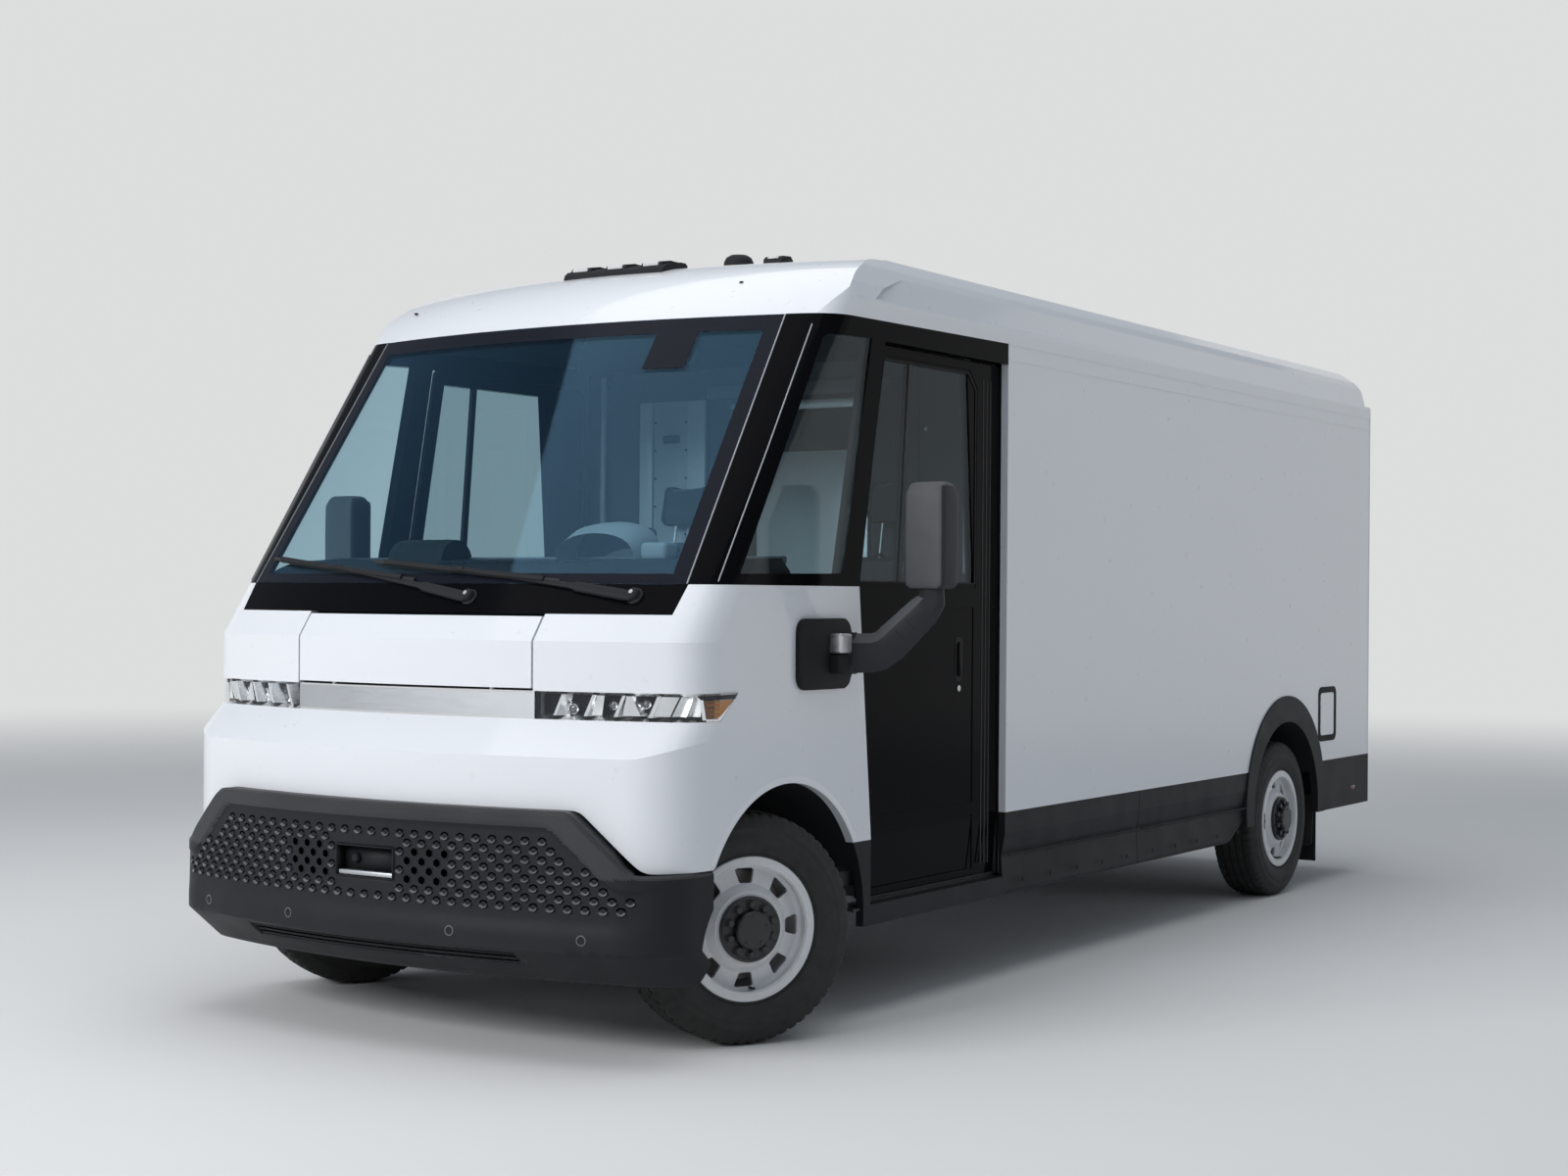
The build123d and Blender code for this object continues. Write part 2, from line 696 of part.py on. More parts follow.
# ================================================================ dark cladding and wheel liners
wheel_gap_y = wheelbase - 510
skirt_points = [(1552, panel_bottom_z), (1552, skirt_bottom_z), (wheelbase - 730, skirt_bottom_z)]
skirt_points += [(wheel_gap_y, 430), (wheel_gap_y, panel_bottom_z)]
sill_points = [(545 - running_gap, fender_foot_z), (545 - running_gap, sill_z - running_gap)]
sill_points += [(1552, sill_z - running_gap), (1552, skirt_bottom_z), (380, skirt_bottom_z)]
sill_points += [(380, fender_foot_z)]
track_points = [(500, sill_z - running_gap), (1552 + door_slide - 80, sill_z - running_gap)]
track_points += [(1552 + door_slide - 80, sill_z - 24), (500, sill_z - 24)]
tail_points = [(wheelbase + 440, panel_bottom_z), (wheelbase + body_rear_overhang, panel_bottom_z)]
tail_points += [(wheelbase + body_rear_overhang, 385), (wheelbase + 420, 385)]
flap_y = wheelbase + 505
flap_points = [(flap_y, 600), (flap_y + 9, 600), (flap_y + 9, 125), (flap_y, 125)]
rear_arch_hole = cylinder_across(
    rear_axle_y, rear_arch_inner_z, rear_arch_inner, inner_face_x - 50, body_half_width + 100
)
with BuildPart() as skirt_section:
    with BuildSketch(front_plane(body_rear_y)):
        with BuildLine():
            Polyline(
                (body_half_width - 1, 660),
                (body_half_width - 1, 560),
                (body_half_width - 17, 470),
                (body_half_width - 8, 340),
                (body_half_width - 13, 320),
                (inner_face_x, 320),
                (inner_face_x, 660),
                close=True,
            )
        make_face()
    extrude(amount=overall_length)
with BuildPart() as arch_ring:
    with BuildSketch(side_plane(inner_face_x)):
        with Locations((rear_axle_y, rear_arch_outer_z)):
            Circle(rear_arch_outer)
    extrude(amount=38)
    with Locations((inner_face_x, rear_axle_y, 0)):
        Box(200, 1200, 770, mode=Mode.SUBTRACT)
    add(rear_arch_hole, mode=Mode.SUBTRACT)
sill_prism = yz_prism(sill_points, inner_face_x, body_half_width)
track_prism = yz_prism(track_points, door_outer_x - door_thickness - 2, inner_face_x)
skirt_prism = yz_prism(skirt_points, inner_face_x - 50, body_half_width + 20)
flap_prism = yz_prism(flap_points, track_half - tyre_width / 2 - 10, inner_face_x)
tail_prism = yz_prism(tail_points, inner_face_x, body_half_width)
with BuildPart() as side_skirts:
    add(skirt_section.part)
    add(skirt_prism, mode=Mode.INTERSECT)
    add(sill_prism)
    add(track_prism)
    add(tail_prism)
    add(arch_ring.part)
    add(flap_prism)
    add(rear_arch_hole, mode=Mode.SUBTRACT)
    add(front_arch, mode=Mode.SUBTRACT)
    for y in skirt_seams:
        with Locations((body_half_width, front_axle_y + y, panel_bottom_z / 2)):
            Box(2 * seam_depth, panel_gap, panel_bottom_z + 10, mode=Mode.SUBTRACT)
    mirror(about=Plane.YZ)
save(side_skirts.part, "side_skirts")

front_well_x = 585
rear_well_x = 795
with BuildPart() as wheel_liners:
    for well_x, y, z, radius, outer_x in (
        (front_well_x, front_axle_y, front_arch_z, front_arch_radius, inner_face_x),
        (rear_well_x, rear_axle_y, rear_arch_inner_z, rear_arch_inner, inner_face_x),
    ):
        with BuildSketch(side_plane(well_x)):
            with Locations((y, z)):
                Circle(radius + liner)
                Circle(radius, mode=Mode.SUBTRACT)
        extrude(amount=outer_x - well_x)
        with BuildSketch(side_plane(well_x)):
            with Locations((y, z)):
                Circle(radius + 1)
        extrude(amount=liner)
        with Locations((well_x + 300, y, 0)):
            Box(1200, 1100, 2 * (z + 160), mode=Mode.SUBTRACT)
    mirror(about=Plane.YZ)
save(wheel_liners.part, "wheel_liners")

# ================================================================ frame, floor and running gear
rail_x = 420
rail_width = 76
low_rail = (340, 460)
high_rail = (530, load_floor_z - floor_thickness)
cab_floor_top = 510
cab_floor_thickness = 50
rear_end = wheelbase + body_rear_overhang
rail_points = [(-720, low_rail[0]), (-720, low_rail[1]), (1600, low_rail[1]), (1790, high_rail[1])]
rail_points += [(rear_end - 8, high_rail[1]), (rear_end - 8, high_rail[0]), (1830, high_rail[0])]
rail_points += [(1640, low_rail[0])]
rail_prism = yz_prism(rail_points, rail_x - rail_width / 2, rail_x + rail_width / 2, both_sides=True)
with BuildPart() as bumper_beam:
    with Locations((0, front_axle_y - 790, 450)):
        Box(1400, 200, 100)
    add(bumper_hollow, mode=Mode.INTERSECT)
with BuildPart() as chassis_frame:
    add(rail_prism)
    add(bumper_beam.part)
save(chassis_frame.part, "chassis_frame")

rail_inner = rail_x - rail_width / 2
rail_outer = rail_x + rail_width / 2
with BuildPart() as frame_crossmembers:
    for y, z in ((900, 400), (1900, 610), (2500, 610), (3500, 610), (rear_end - 110, 610)):
        with Locations((0, front_axle_y + y, z)):
            Box(2 * rail_inner, 90, 100)
with BuildPart() as floor_bearers:
    for y in (2600, 3200, wheelbase - 620, wheelbase + 620):
        with Locations((0, front_axle_y + y, high_rail[1] - 30)):
            Box(2 * inner_face_x, 60, 60)
            Box(2 * rail_outer, 60, 60, mode=Mode.SUBTRACT)
with BuildPart() as cross_pieces:
    add(frame_crossmembers.part)
    add(floor_bearers.part)
save(cross_pieces.part, "frame_crossmembers")

battery_front = 1890
battery_back = wheelbase - 620
battery_z = (300, 500)
battery_middle = front_axle_y + (battery_front + battery_back) / 2
with BuildPart() as battery_pack:
    with Locations((0, battery_middle, sum(battery_z) / 2)):
        Box(1440, battery_back - battery_front, battery_z[1] - battery_z[0])
    fillet(battery_pack.edges().filter_by(Axis.Z), 40)
    for y in (-800, 0, 800):
        with Locations((0, battery_middle + y, (battery_z[1] + high_rail[0]) / 2)):
            Box(2 * rail_x + rail_width, 120, high_rail[0] - battery_z[1])
save(battery_pack.part, "battery_pack")

kingpin_radius = 14
knuckle_z = (310, 460)
with BuildPart() as front_drive_unit:
    with Locations((0, front_axle_y, 350)):
        Box(2 * (rail_x - rail_width / 2) - 10, 420, 200)
    for y in (-200, 200):
        with Locations((0, front_axle_y + y, 310)):
            Box(2 * rail_x + rail_width, 70, 60)
save(front_drive_unit.part, "front_drive_unit")
with BuildPart() as front_arms:
    for low, high, root in ((272, 296, 200), (474, 496, 120)):
        with BuildSketch(Plane.XY.offset(low)):
            with BuildLine():
                Polyline(
                    (rail_x - 30, front_axle_y - root - 35),
                    (kingpin_x, front_axle_y - 28),
                    (kingpin_x, front_axle_y + 28),
                    (rail_x - 30, front_axle_y + root + 35),
                    (rail_x - 30, front_axle_y + root - 35),
                    (kingpin_x - 140, front_axle_y),
                    (rail_x - 30, front_axle_y - root + 35),
                    close=True,
                )
            make_face()
            with Locations((kingpin_x, front_axle_y)):
                Circle(28)
        extrude(amount=high - low)
    with Locations((kingpin_x, front_axle_y, 0)):
        with Locations((0, 0, 290 + 25)):
            Cylinder(kingpin_radius, 50)
        with Locations((0, 0, 480 - 25)):
            Cylinder(kingpin_radius, 50)
    with Locations((rail_x, front_axle_y - 120, 470), (rail_x, front_axle_y + 120, 470)):
        Box(60, 70, 20)
    mirror(about=Plane.YZ)
    add(chassis_frame.part, mode=Mode.SUBTRACT)
    add(front_drive_unit.part, mode=Mode.SUBTRACT)
save(front_arms.part, "front_suspension_arms")

spring_reach = 600
spindle_radius = 30
with BuildPart() as rear_axle:
    with Locations((0, rear_axle_y, tyre_radius)):
        Cylinder(45, 1620, rotation=(0, 90, 0))
        Cylinder(120, 420, rotation=(0, 90, 0))
        Cylinder(spindle_radius, 1990, rotation=(0, 90, 0))
        for side in (1, -1):
            with Locations((side * 800, 0, 0)):
                Cylinder(150, 12, rotation=(0, 90, 0))
save(rear_axle.part, "rear_axle")

with BuildPart() as rear_springs:
    with BuildSketch(side_plane(rail_x - 32)):
        with BuildLine():
            ThreePointArc(
                (rear_axle_y - spring_reach, 530), (rear_axle_y, 432), (rear_axle_y + spring_reach, 530)
            )
            Line((rear_axle_y + spring_reach, 530), (rear_axle_y + spring_reach, 500))
            ThreePointArc(
                (rear_axle_y + spring_reach, 500), (rear_axle_y, 390), (rear_axle_y - spring_reach, 500)
            )
            Line((rear_axle_y - spring_reach, 500), (rear_axle_y - spring_reach, 530))
        make_face()
    extrude(amount=64)
    mirror(about=Plane.YZ)
    add(rear_axle.part, mode=Mode.SUBTRACT)
save(rear_springs.part, "rear_springs")

front_well = cylinder_across(
    front_axle_y, front_arch_z, front_arch_radius + liner, front_well_x, body_half_width + 100
)
pocket_floor_x = body_half_width - 145
with BuildPart() as cab_floor:
    with Locations((0, front_axle_y + (1592 - 390) / 2, cab_floor_top - cab_floor_thickness / 2)):
        Box(2 * body_half_width - 180, 1592 + 390, cab_floor_thickness)
    with BuildSketch(front_plane(front_axle_y + 1544)):
        with Locations((pocket_floor_x, sill_z + 20)):
            Rectangle(120, 40)
        with Locations((pocket_floor_x - 50, sill_z + 60)):
            Rectangle(20, 100)
        mirror(about=Plane.YZ)
    extrude(amount=900)
    for side in (1, -1):
        with Locations((side * (body_half_width - 125), front_axle_y + 1090, cab_floor_top - 20)):
            Box(120, 908, 200, mode=Mode.SUBTRACT)
    with BuildSketch(front_plane(front_axle_y + 1544)):
        with Locations((940, sill_z + 20)):
            Rectangle(120, 40)
        mirror(about=Plane.YZ)
    extrude(amount=900)
    add(front_well, mode=Mode.SUBTRACT)
    add(front_well.mirror(Plane.YZ), mode=Mode.SUBTRACT)
    add(front_arms.part, mode=Mode.SUBTRACT)
save(cab_floor.part, "cab_floor")

pocket_x = door_outer_x - door_thickness - running_gap
pocket_end = 2500
pocket_wall = 14
bulkhead_thickness = 30
deck_step = 5  # the flat deck stands this much above the floor's border
deck_gap = 4
border_z = load_floor_z - deck_step
wheel_box_wall = 12
wheel_box_length = 940
door_leaf = 28  # thickness of the bulkhead door
floor_back = rear_end - 70
well_inner_x = rear_well_x - wheel_box_wall
deck_front_y = front_axle_y + 1592 + bulkhead_thickness + door_leaf + 3 * running_gap
deck_points = [
    (0, deck_front_y),
    (pocket_x - pocket_wall - deck_gap, deck_front_y),
    (pocket_x - pocket_wall - deck_gap, front_axle_y + pocket_end + pocket_wall + deck_gap),
    (inner_face_x - deck_gap, front_axle_y + pocket_end + pocket_wall + deck_gap),
    (inner_face_x - deck_gap, rear_axle_y - wheel_box_length / 2 - deck_gap),
    (well_inner_x - deck_gap, rear_axle_y - wheel_box_length / 2 - deck_gap),
    (well_inner_x - deck_gap, rear_axle_y + wheel_box_length / 2 + deck_gap),
    (inner_face_x - deck_gap, rear_axle_y + wheel_box_length / 2 + deck_gap),
    (inner_face_x - deck_gap, front_axle_y + floor_back - deck_gap),
    (0, front_axle_y + floor_back - deck_gap),
]
with BuildPart() as cargo_floor:
    floor_middle = (
        0, front_axle_y + (1592 + floor_back) / 2, (border_z + load_floor_z - floor_thickness) / 2
    )
    with Locations(floor_middle):
        Box(2 * inner_face_x, floor_back - 1592, floor_thickness - deck_step)
    for side in (1, -1):
        with Locations((side * (pocket_x + 200), front_axle_y + (1592 + pocket_end) / 2, load_floor_z)):
            Box(400, pocket_end - 1592, 200, mode=Mode.SUBTRACT)
        with Locations((side * (well_inner_x + 400), rear_axle_y, load_floor_z)):
            Box(800, wheel_box_length, 200, mode=Mode.SUBTRACT)
    with BuildSketch(Plane.XY.offset(border_z)):
        with BuildLine():
            Polyline(*deck_points, close=True)
        make_face()
        mirror(about=Plane.YZ)
    extrude(amount=deck_step)
save(cargo_floor.part, "cargo_floor")

with BuildPart() as wheel_boxes:
    with Locations(((well_inner_x + inner_face_x) / 2, rear_axle_y, 795)):
        Box(inner_face_x - well_inner_x, wheel_box_length, 210)
    with Locations((rear_well_x + 400, rear_axle_y, 780)):
        Box(800, wheel_box_length - 10, 200, mode=Mode.SUBTRACT)
    mirror(about=Plane.YZ)
save(wheel_boxes.part, "wheel_boxes")

doorway = (-200, 400)
doorway_top = 2250
bulkhead_top = 2440
with BuildPart() as bulkhead:
    with Locations((0, front_axle_y + 1592 + bulkhead_thickness / 2, (low_rail[1] + bulkhead_top) / 2)):
        Box(2 * pocket_x, bulkhead_thickness, bulkhead_top - low_rail[1])
    with Locations((sum(doorway) / 2, front_axle_y + 1600, (load_floor_z + doorway_top) / 2)):
        Box(doorway[1] - doorway[0], 100, doorway_top - load_floor_z, mode=Mode.SUBTRACT)
    for side in (1, -1):
        wall_middle = (
            side * (pocket_x - pocket_wall / 2),
            front_axle_y + (1592 + pocket_end) / 2,
            (border_z + bulkhead_top) / 2,
        )
        with Locations(wall_middle):
            Box(pocket_wall, pocket_end - 1592, bulkhead_top - border_z)
        with Locations(
            (
                side * (pocket_x - pocket_wall + inner_face_x) / 2,
                front_axle_y + pocket_end + pocket_wall / 2,
                (border_z + bulkhead_top) / 2,
            )
        ):
            Box(inner_face_x - pocket_x + pocket_wall, pocket_wall, bulkhead_top - border_z)
    add(cargo_floor.part, mode=Mode.SUBTRACT)
    add(chassis_frame.part, mode=Mode.SUBTRACT)
save(bulkhead.part, "bulkhead")

door_middle_y = front_axle_y + 1592 + bulkhead_thickness + running_gap + door_leaf / 2
with BuildPart() as bulkhead_door:
    with Locations((sum(doorway) / 2, door_middle_y, (border_z + running_gap + doorway_top + 20) / 2)):
        Box(doorway[1] - doorway[0] + 30, door_leaf, doorway_top + 20 - border_z - running_gap)
    for x in (doorway[0] + 80, doorway[1] - 80):
        with Locations((x, door_middle_y, border_z + running_gap)):
            Box(60, 20, 2 * (running_gap - seat_gap))
save(bulkhead_door.part, "bulkhead_door")

# ================================================================ rear end
portal_depth = 70
opening_half = body_half_width - 125
opening_top = 2380
hinge_x = opening_half + 25
hinge_back = 16
leaf_thickness = 36
hinge_heights = (950, 1560, 2170)
rear_panels = ((1160, 640), (1950, 640))  # height of the middle and height of each pressed panel
rear_panel_depth = 8
with BuildPart() as rear_frame:
    with Locations((0, body_rear_y - portal_depth / 2, (panel_bottom_z + rail_z) / 2)):
        Box(2 * inner_face_x, portal_depth, rail_z - panel_bottom_z)
    with Locations((0, body_rear_y - portal_depth / 2, (load_floor_z + opening_top) / 2)):
        Box(2 * opening_half, portal_depth + 10, opening_top - load_floor_z, mode=Mode.SUBTRACT)
    with Locations((0, body_rear_y - portal_depth, panel_bottom_z + 20)):
        Box(2 * inner_face_x + 10, 2 * portal_depth + 10, 50, mode=Mode.SUBTRACT)
    for side in (1, -1):
        for z in hinge_heights:
            with Locations((side * hinge_x, body_rear_y + hinge_back, z)):
                Cylinder(8, 110)
            for end in (-48, 48):
                with Locations((side * hinge_x, body_rear_y + 12, z + end)):
                    Box(26, 24, 16)
save(rear_frame.part, "rear_frame")

with BuildPart() as tail_lamps:
    for z, height in ((1240, 420), (900, 150)):
        with Locations((body_half_width - 57, body_rear_y + 9, z)):
            Box(44, 18, height)
    mirror(about=Plane.YZ)
save(tail_lamps.part, "tail_lamps")

for side, name in ((1, "left"), (-1, "right")):
    leaf_low = load_floor_z + running_gap
    leaf_high = opening_top - running_gap
    with BuildPart() as rear_door:
        leaf_middle = (side * opening_half / 2, body_rear_y - leaf_thickness / 2, (leaf_low + leaf_high) / 2)
        with Locations(leaf_middle):
            Box(opening_half - 2 * running_gap, leaf_thickness, leaf_high - leaf_low)
        for z, height in rear_panels:
            with BuildSketch(Plane.XZ.offset(-body_rear_y - 1)):
                with Locations((side * opening_half / 2, z)):
                    RectangleRounded(opening_half - 250, height, 30)
            extrude(amount=1 + rear_panel_depth, mode=Mode.SUBTRACT)
        if side > 0:
            with Locations((70, body_rear_y + 12, 1560)):
                Cylinder(8, leaf_high - leaf_low - 60)
            for z in (900, 1300, 1820, 2250):
                with Locations((70, body_rear_y + 5, z)):
                    Box(44, 14, 50)
            with Locations((150, body_rear_y + 14, 1300)):
                Box(190, 12, 28)
            with Locations((225, body_rear_y + 5, 1300)):
                Box(34, 14, 60)
        for z in hinge_heights:
            with Locations((side * (hinge_x - 60), body_rear_y + 5.5, z)):
                Box(50, 11, 76)
            with Locations((side * (hinge_x - 35), body_rear_y + 8, z)):
                Box(70, 6, 76)
            with Locations((side * hinge_x, body_rear_y + hinge_back, z)):
                Cylinder(13, 76)
                Cylinder(8 + pin_gap, 80, mode=Mode.SUBTRACT)
    save(rear_door.part, f"rear_door_{name}")

with BuildPart() as rear_bumper:
    with Locations((0, body_rear_y + rear_step_depth / 2, 590)):
        Box(2 * body_half_width - 50, rear_step_depth, 90)
    with Locations((0, body_rear_y - 4 + 2, 570)):
        Box(2 * 900, 12, 50)
save(rear_bumper.part, "rear_bumper")

# ================================================================ lamps and mirrors
mirror_x = body_half_width + 275
mirror_y = front_axle_y + 465
mirror_low_z = 1506
mirror_size = (160, 122, 366)
mirror_pad = (334, 242)
arm_depth = 66
arm_start = (body_half_width + 15, front_axle_y + 343)
arm_turn = math.degrees(math.atan2(mirror_y - arm_start[1], mirror_x - arm_start[0]))
arm_reach = math.hypot(mirror_y - arm_start[1], mirror_x - arm_start[0])
arm_plane = Plane(
    origin=(*arm_start, 0),
    x_dir=Vector(1, 0, 0).rotate(Axis.Z, arm_turn),
    z_dir=Vector(0, -1, 0).rotate(Axis.Z, arm_turn),
)
arm_points = [(0, 1216), (140, 1220), (arm_reach + 30, 1416), (arm_reach + 34, mirror_low_z + 10)]
arm_points += [(arm_reach - 38, mirror_low_z + 10), (arm_reach - 40, 1486), (74, 1352), (0, 1352)]
with BuildPart() as mirrors:
    with BuildSketch(side_plane(body_half_width)):
        with Locations((front_axle_y + 205, 1284)):
            RectangleRounded(*mirror_pad, 50)
    extrude(amount=22)
    with BuildSketch(arm_plane):
        with BuildLine():
            Polyline(*arm_points, close=True)
        make_face()
    extrude(amount=arm_depth / 2, both=True)
    with BuildSketch(Plane.XY.offset(mirror_low_z)):
        with Locations((mirror_x, mirror_y)):
            RectangleRounded(mirror_size[0], mirror_size[1], 24)
    extrude(amount=mirror_size[2])
    mirror(about=Plane.YZ)
save(mirrors.part, "mirrors")


cluster_points = [(430, 2620), (446, 2686), (470, 2703), (585, 2722), (604, 2702), (604, 2640)]
marker_points = [(700, 2660), (704, 2728), (716, 2738), (770, 2742), (786, 2724), (786, 2660)]
with BuildPart() as roof_lamps:
    add(yz_prism(cluster_points, -235, 235))
    add(yz_prism(marker_points, 500, 585))
    with BuildSketch(Plane.XY.offset(2690)):
        with Locations((225, front_axle_y + 950)):
            Circle(62)
    extrude(amount=108, taper=6)
    add(roof_outer, mode=Mode.SUBTRACT)
save(roof_lamps.part, "roof_lamps")

wiper_back = glass_block(-seat_gap, 1380, 2560, door_rear_y)
wiper_front = glass_block(-24, 1380, 2560, door_rear_y - 10)
wiper_places = (((198, 1468), (-906, 1602), (-67, 1525)), ((809, 1475), (-301, 1588), (528, 1522)))
with BuildPart() as wipers:
    with BuildSketch(front_plane(front_axle_y)):
        for pivot, tip, heel in wiper_places:
            middle = ((tip[0] + heel[0]) / 2, (tip[1] + heel[1]) / 2)
            with BuildLine():
                Polyline(tip, heel, (heel[0], heel[1] + 14), (tip[0], tip[1] + 14), close=True)
            make_face()
            with BuildLine():
                Polyline(
                    (pivot[0] - 20, pivot[1] - 14),
                    (pivot[0] + 14, pivot[1] - 20),
                    (pivot[0] + 20, pivot[1] + 14),
                    (middle[0], middle[1] + 18),
                    (middle[0], middle[1] + 2),
                    close=True,
                )
            make_face()
    extrude(amount=900)
    add(wiper_front, mode=Mode.INTERSECT)
    add(wiper_back, mode=Mode.SUBTRACT)
save(wipers.part, "wipers")

# ================================================================ wheels


with BuildSketch() as hole_sketch:
    with BuildLine():
        Polyline(
            (hand_hole_radii[0], -hand_hole_widths[0] / 2),
            (hand_hole_radii[1], -hand_hole_widths[1] / 2),
            (hand_hole_radii[1], hand_hole_widths[1] / 2),
            (hand_hole_radii[0], hand_hole_widths[0] / 2),
            close=True,
        )
    make_face()
    fillet(hole_sketch.vertices(), 9)
hand_hole = hole_sketch.sketch


def rim_solid():
    """A steel wheel about +Z: barrel, flanges, dished disc, hand holes and hub."""
    barrel = [
        (rim_flange, -108),
        (rim_flange, -100),
        (tyre_seat, -96),
        (tyre_seat, 96),
        (rim_flange, 100),
        (rim_flange, 106),
        (tyre_seat - 6, 110),
        (tyre_seat - 8, 70),
        (hand_hole_radii[1], 62),
        (hand_hole_radii[0], 74),
        (hub_radius + 16, 100),
        (hub_radius, 100),
        (hub_radius - 8, 112),
        (0, 114),
        (0, 60),
        (spindle_radius + pin_gap, 60),
        (spindle_radius + pin_gap, -40),
        (spindle_radius + 28, -40),
        (spindle_radius + 34, 60),
        (hub_radius + 6, 90),
        (hand_hole_radii[0] - 4, 64),
        (hand_hole_radii[1] - 2, 52),
        (tyre_seat - 8, 40),
        (tyre_seat - 8, -106),
    ]
    with BuildPart() as rim:
        with BuildSketch(Plane.XZ):
            with BuildLine():
                Polyline(barrel, close=True)
            make_face()
        revolve(axis=Axis.Z)
        with BuildSketch(Plane.XY.offset(-rim_flange)):
            with PolarLocations(0, hand_holes):
                add(hand_hole)
        extrude(amount=2 * rim_flange, mode=Mode.SUBTRACT)
    return rim.part


with BuildPart() as tyre_master:
    half = tyre_width / 2
    wall = 14
    outer = [(tyre_seat, 96), (tyre_seat + 22, 99), (tyre_seat + 42, half - 7), (300, half), (344, half - 9)]
    outer += [(371, half - 22), (tyre_radius, half - 36)]
    inner = [(tyre_seat, 82), (tyre_seat + 34, half - 7 - wall), (300, half - wall), (340, half - 9 - wall)]
    inner += [(tyre_radius - 22, half - 50)]
    with BuildSketch(Plane.XZ):
        with BuildLine():
            Polyline(
                *outer,
                *[(r, -z) for r, z in reversed(outer)],
                *[(r, -z) for r, z in inner],
                *reversed(inner),
                close=True,
            )
        make_face()
    revolve(axis=Axis.Z)
rim_master = rim_solid()


def place_wheel(part, side, y, steer):
    """Stand a wheel made about +Z on its spindle, outer face away from the van."""
    wheel = Location((side * track_half, y, tyre_radius)) * Rotation(0, side * 90, 0)
    if steer:
        pivot = Location((side * kingpin_x, y, 0))
        wheel = pivot * Rotation(0, 0, steer) * pivot.inverse() * wheel
    return part.moved(wheel)


for side, name in ((1, "left"), (-1, "right")):
    for y, end, steer in ((front_axle_y, "front", parked_steer), (rear_axle_y, "rear", 0)):
        save(place_wheel(tyre_master.part, side, y, steer), f"tyre_{end}_{name}")
        save(place_wheel(rim_master, side, y, steer), f"rim_{end}_{name}")
    with BuildPart() as knuckle:
        with Locations((side * (kingpin_x - 5), front_axle_y, sum(knuckle_z) / 2)):
            Box(70, 110, knuckle_z[1] - knuckle_z[0])
        with Locations((side * (kingpin_x + 95), front_axle_y, tyre_radius)):
            Cylinder(spindle_radius, 195, rotation=(0, 90, 0))
        with Locations((side * (kingpin_x + 20), front_axle_y, tyre_radius)):
            Cylinder(60, 50, rotation=(0, 90, 0))
        yoke_ends = [(side * kingpin_x, front_axle_y, z) for z in (knuckle_z[0] + 16, knuckle_z[1] - 16)]
        with Locations(*yoke_ends):
            Cylinder(kingpin_radius + pin_gap, 34, mode=Mode.SUBTRACT)
    pivot = Location((side * kingpin_x, front_axle_y, 0))
    save(knuckle.part.moved(pivot * Rotation(0, 0, parked_steer) * pivot.inverse()), f"knuckle_{name}")

# ================================================================ cab inside
dash_cut = glass_block(45.5, 1380 - 400, 2560, door_rear_y)
with BuildPart() as dashboard:
    with BuildSketch(side_plane(-body_half_width + 40)):
        with BuildLine():
            Polyline(
                *[
                    (front_axle_y + y, z)
                    for y, z in ((-340, 1090), (-340, 1540), (-140, 1596), (20, 1606), (75, 1560), (60, 1420))
                ],
                (front_axle_y - 20, 1260),
                (front_axle_y - 20, 1090),
                close=True,
            )
        make_face()
    extrude(amount=2 * body_half_width - 80)
    with BuildSketch(side_plane(-600)):
        with Locations((front_axle_y - 30, 1590)):
            Circle(85)
    extrude(amount=260)
    add(dash_cut, mode=Mode.INTERSECT)
save(dashboard.part, "dashboard")

steering_radius = 185
with BuildPart() as steering_wheel:
    with Locations(Location((600, front_axle_y + 330, 1480), (-45, 0, 0))):
        Torus(steering_radius, 15)
        Cylinder(62, 34)
        Box(2 * steering_radius - 20, 44, 12)
        with Locations((0, -steering_radius / 2, 0)):
            Box(52, steering_radius - 10, 12)
        with Locations((0, 0, -280)):
            Cylinder(28, 560)
    add(dashboard.part, mode=Mode.SUBTRACT)
save(steering_wheel.part, "steering_wheel")

seat_places = ((600, 1150), (-420, 1150))
with BuildPart() as seat_bases:
    for x, y in seat_places:
        with Locations((x, front_axle_y + y - 40, (cab_floor_top + 870) / 2)):
            Box(400, 380, 870 - cab_floor_top)
        with Locations(Location((x, front_axle_y + y + 215, 860), (-10, 0, 0))):
            with Locations((0, 0, 400)):
                Box(440, 16, 800)
            with Locations((-60, 0, 880), (60, 0, 880)):
                Cylinder(7, 260)
        with Locations((x, front_axle_y + y + 140, 860)):
            Box(440, 160, 20)
save(seat_bases.part, "seat_bases")
with BuildPart() as seat_cushions:
    for x, y in seat_places:
        with Locations((x, front_axle_y + y - 90, 870.3 + 65)):
            Box(500, 480, 130)
    fillet(seat_cushions.edges(), 30)
save(seat_cushions.part, "seat_cushions")
with BuildPart() as seat_backs:
    for x, y in seat_places:
        with Locations(Location((x, front_axle_y + y + 215, 860), (-10, 0, 0))):
            with Locations((0, -68.3, 480)):
                Box(480, 120, 640)
    fillet(seat_backs.edges(), 30)
save(seat_backs.part, "seat_backs")
with BuildPart() as headrests:
    for x, y in seat_places:
        with Locations(Location((x, front_axle_y + y + 215, 860), (-10, 0, 0))):
            with Locations((0, -10, 1010)):
                Box(280, 90, 200)
    fillet(headrests.edges(), 30)
    add(seat_bases.part, mode=Mode.SUBTRACT)
save(headrests.part, "headrests")
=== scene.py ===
"""Electric cargo van: finishes, detail pieces, studio and camera around the fixed CAD frame.

Everything is in metres in the row frame: +Z up, the van faces -Y and its left side is +X.
"""

import json
import math

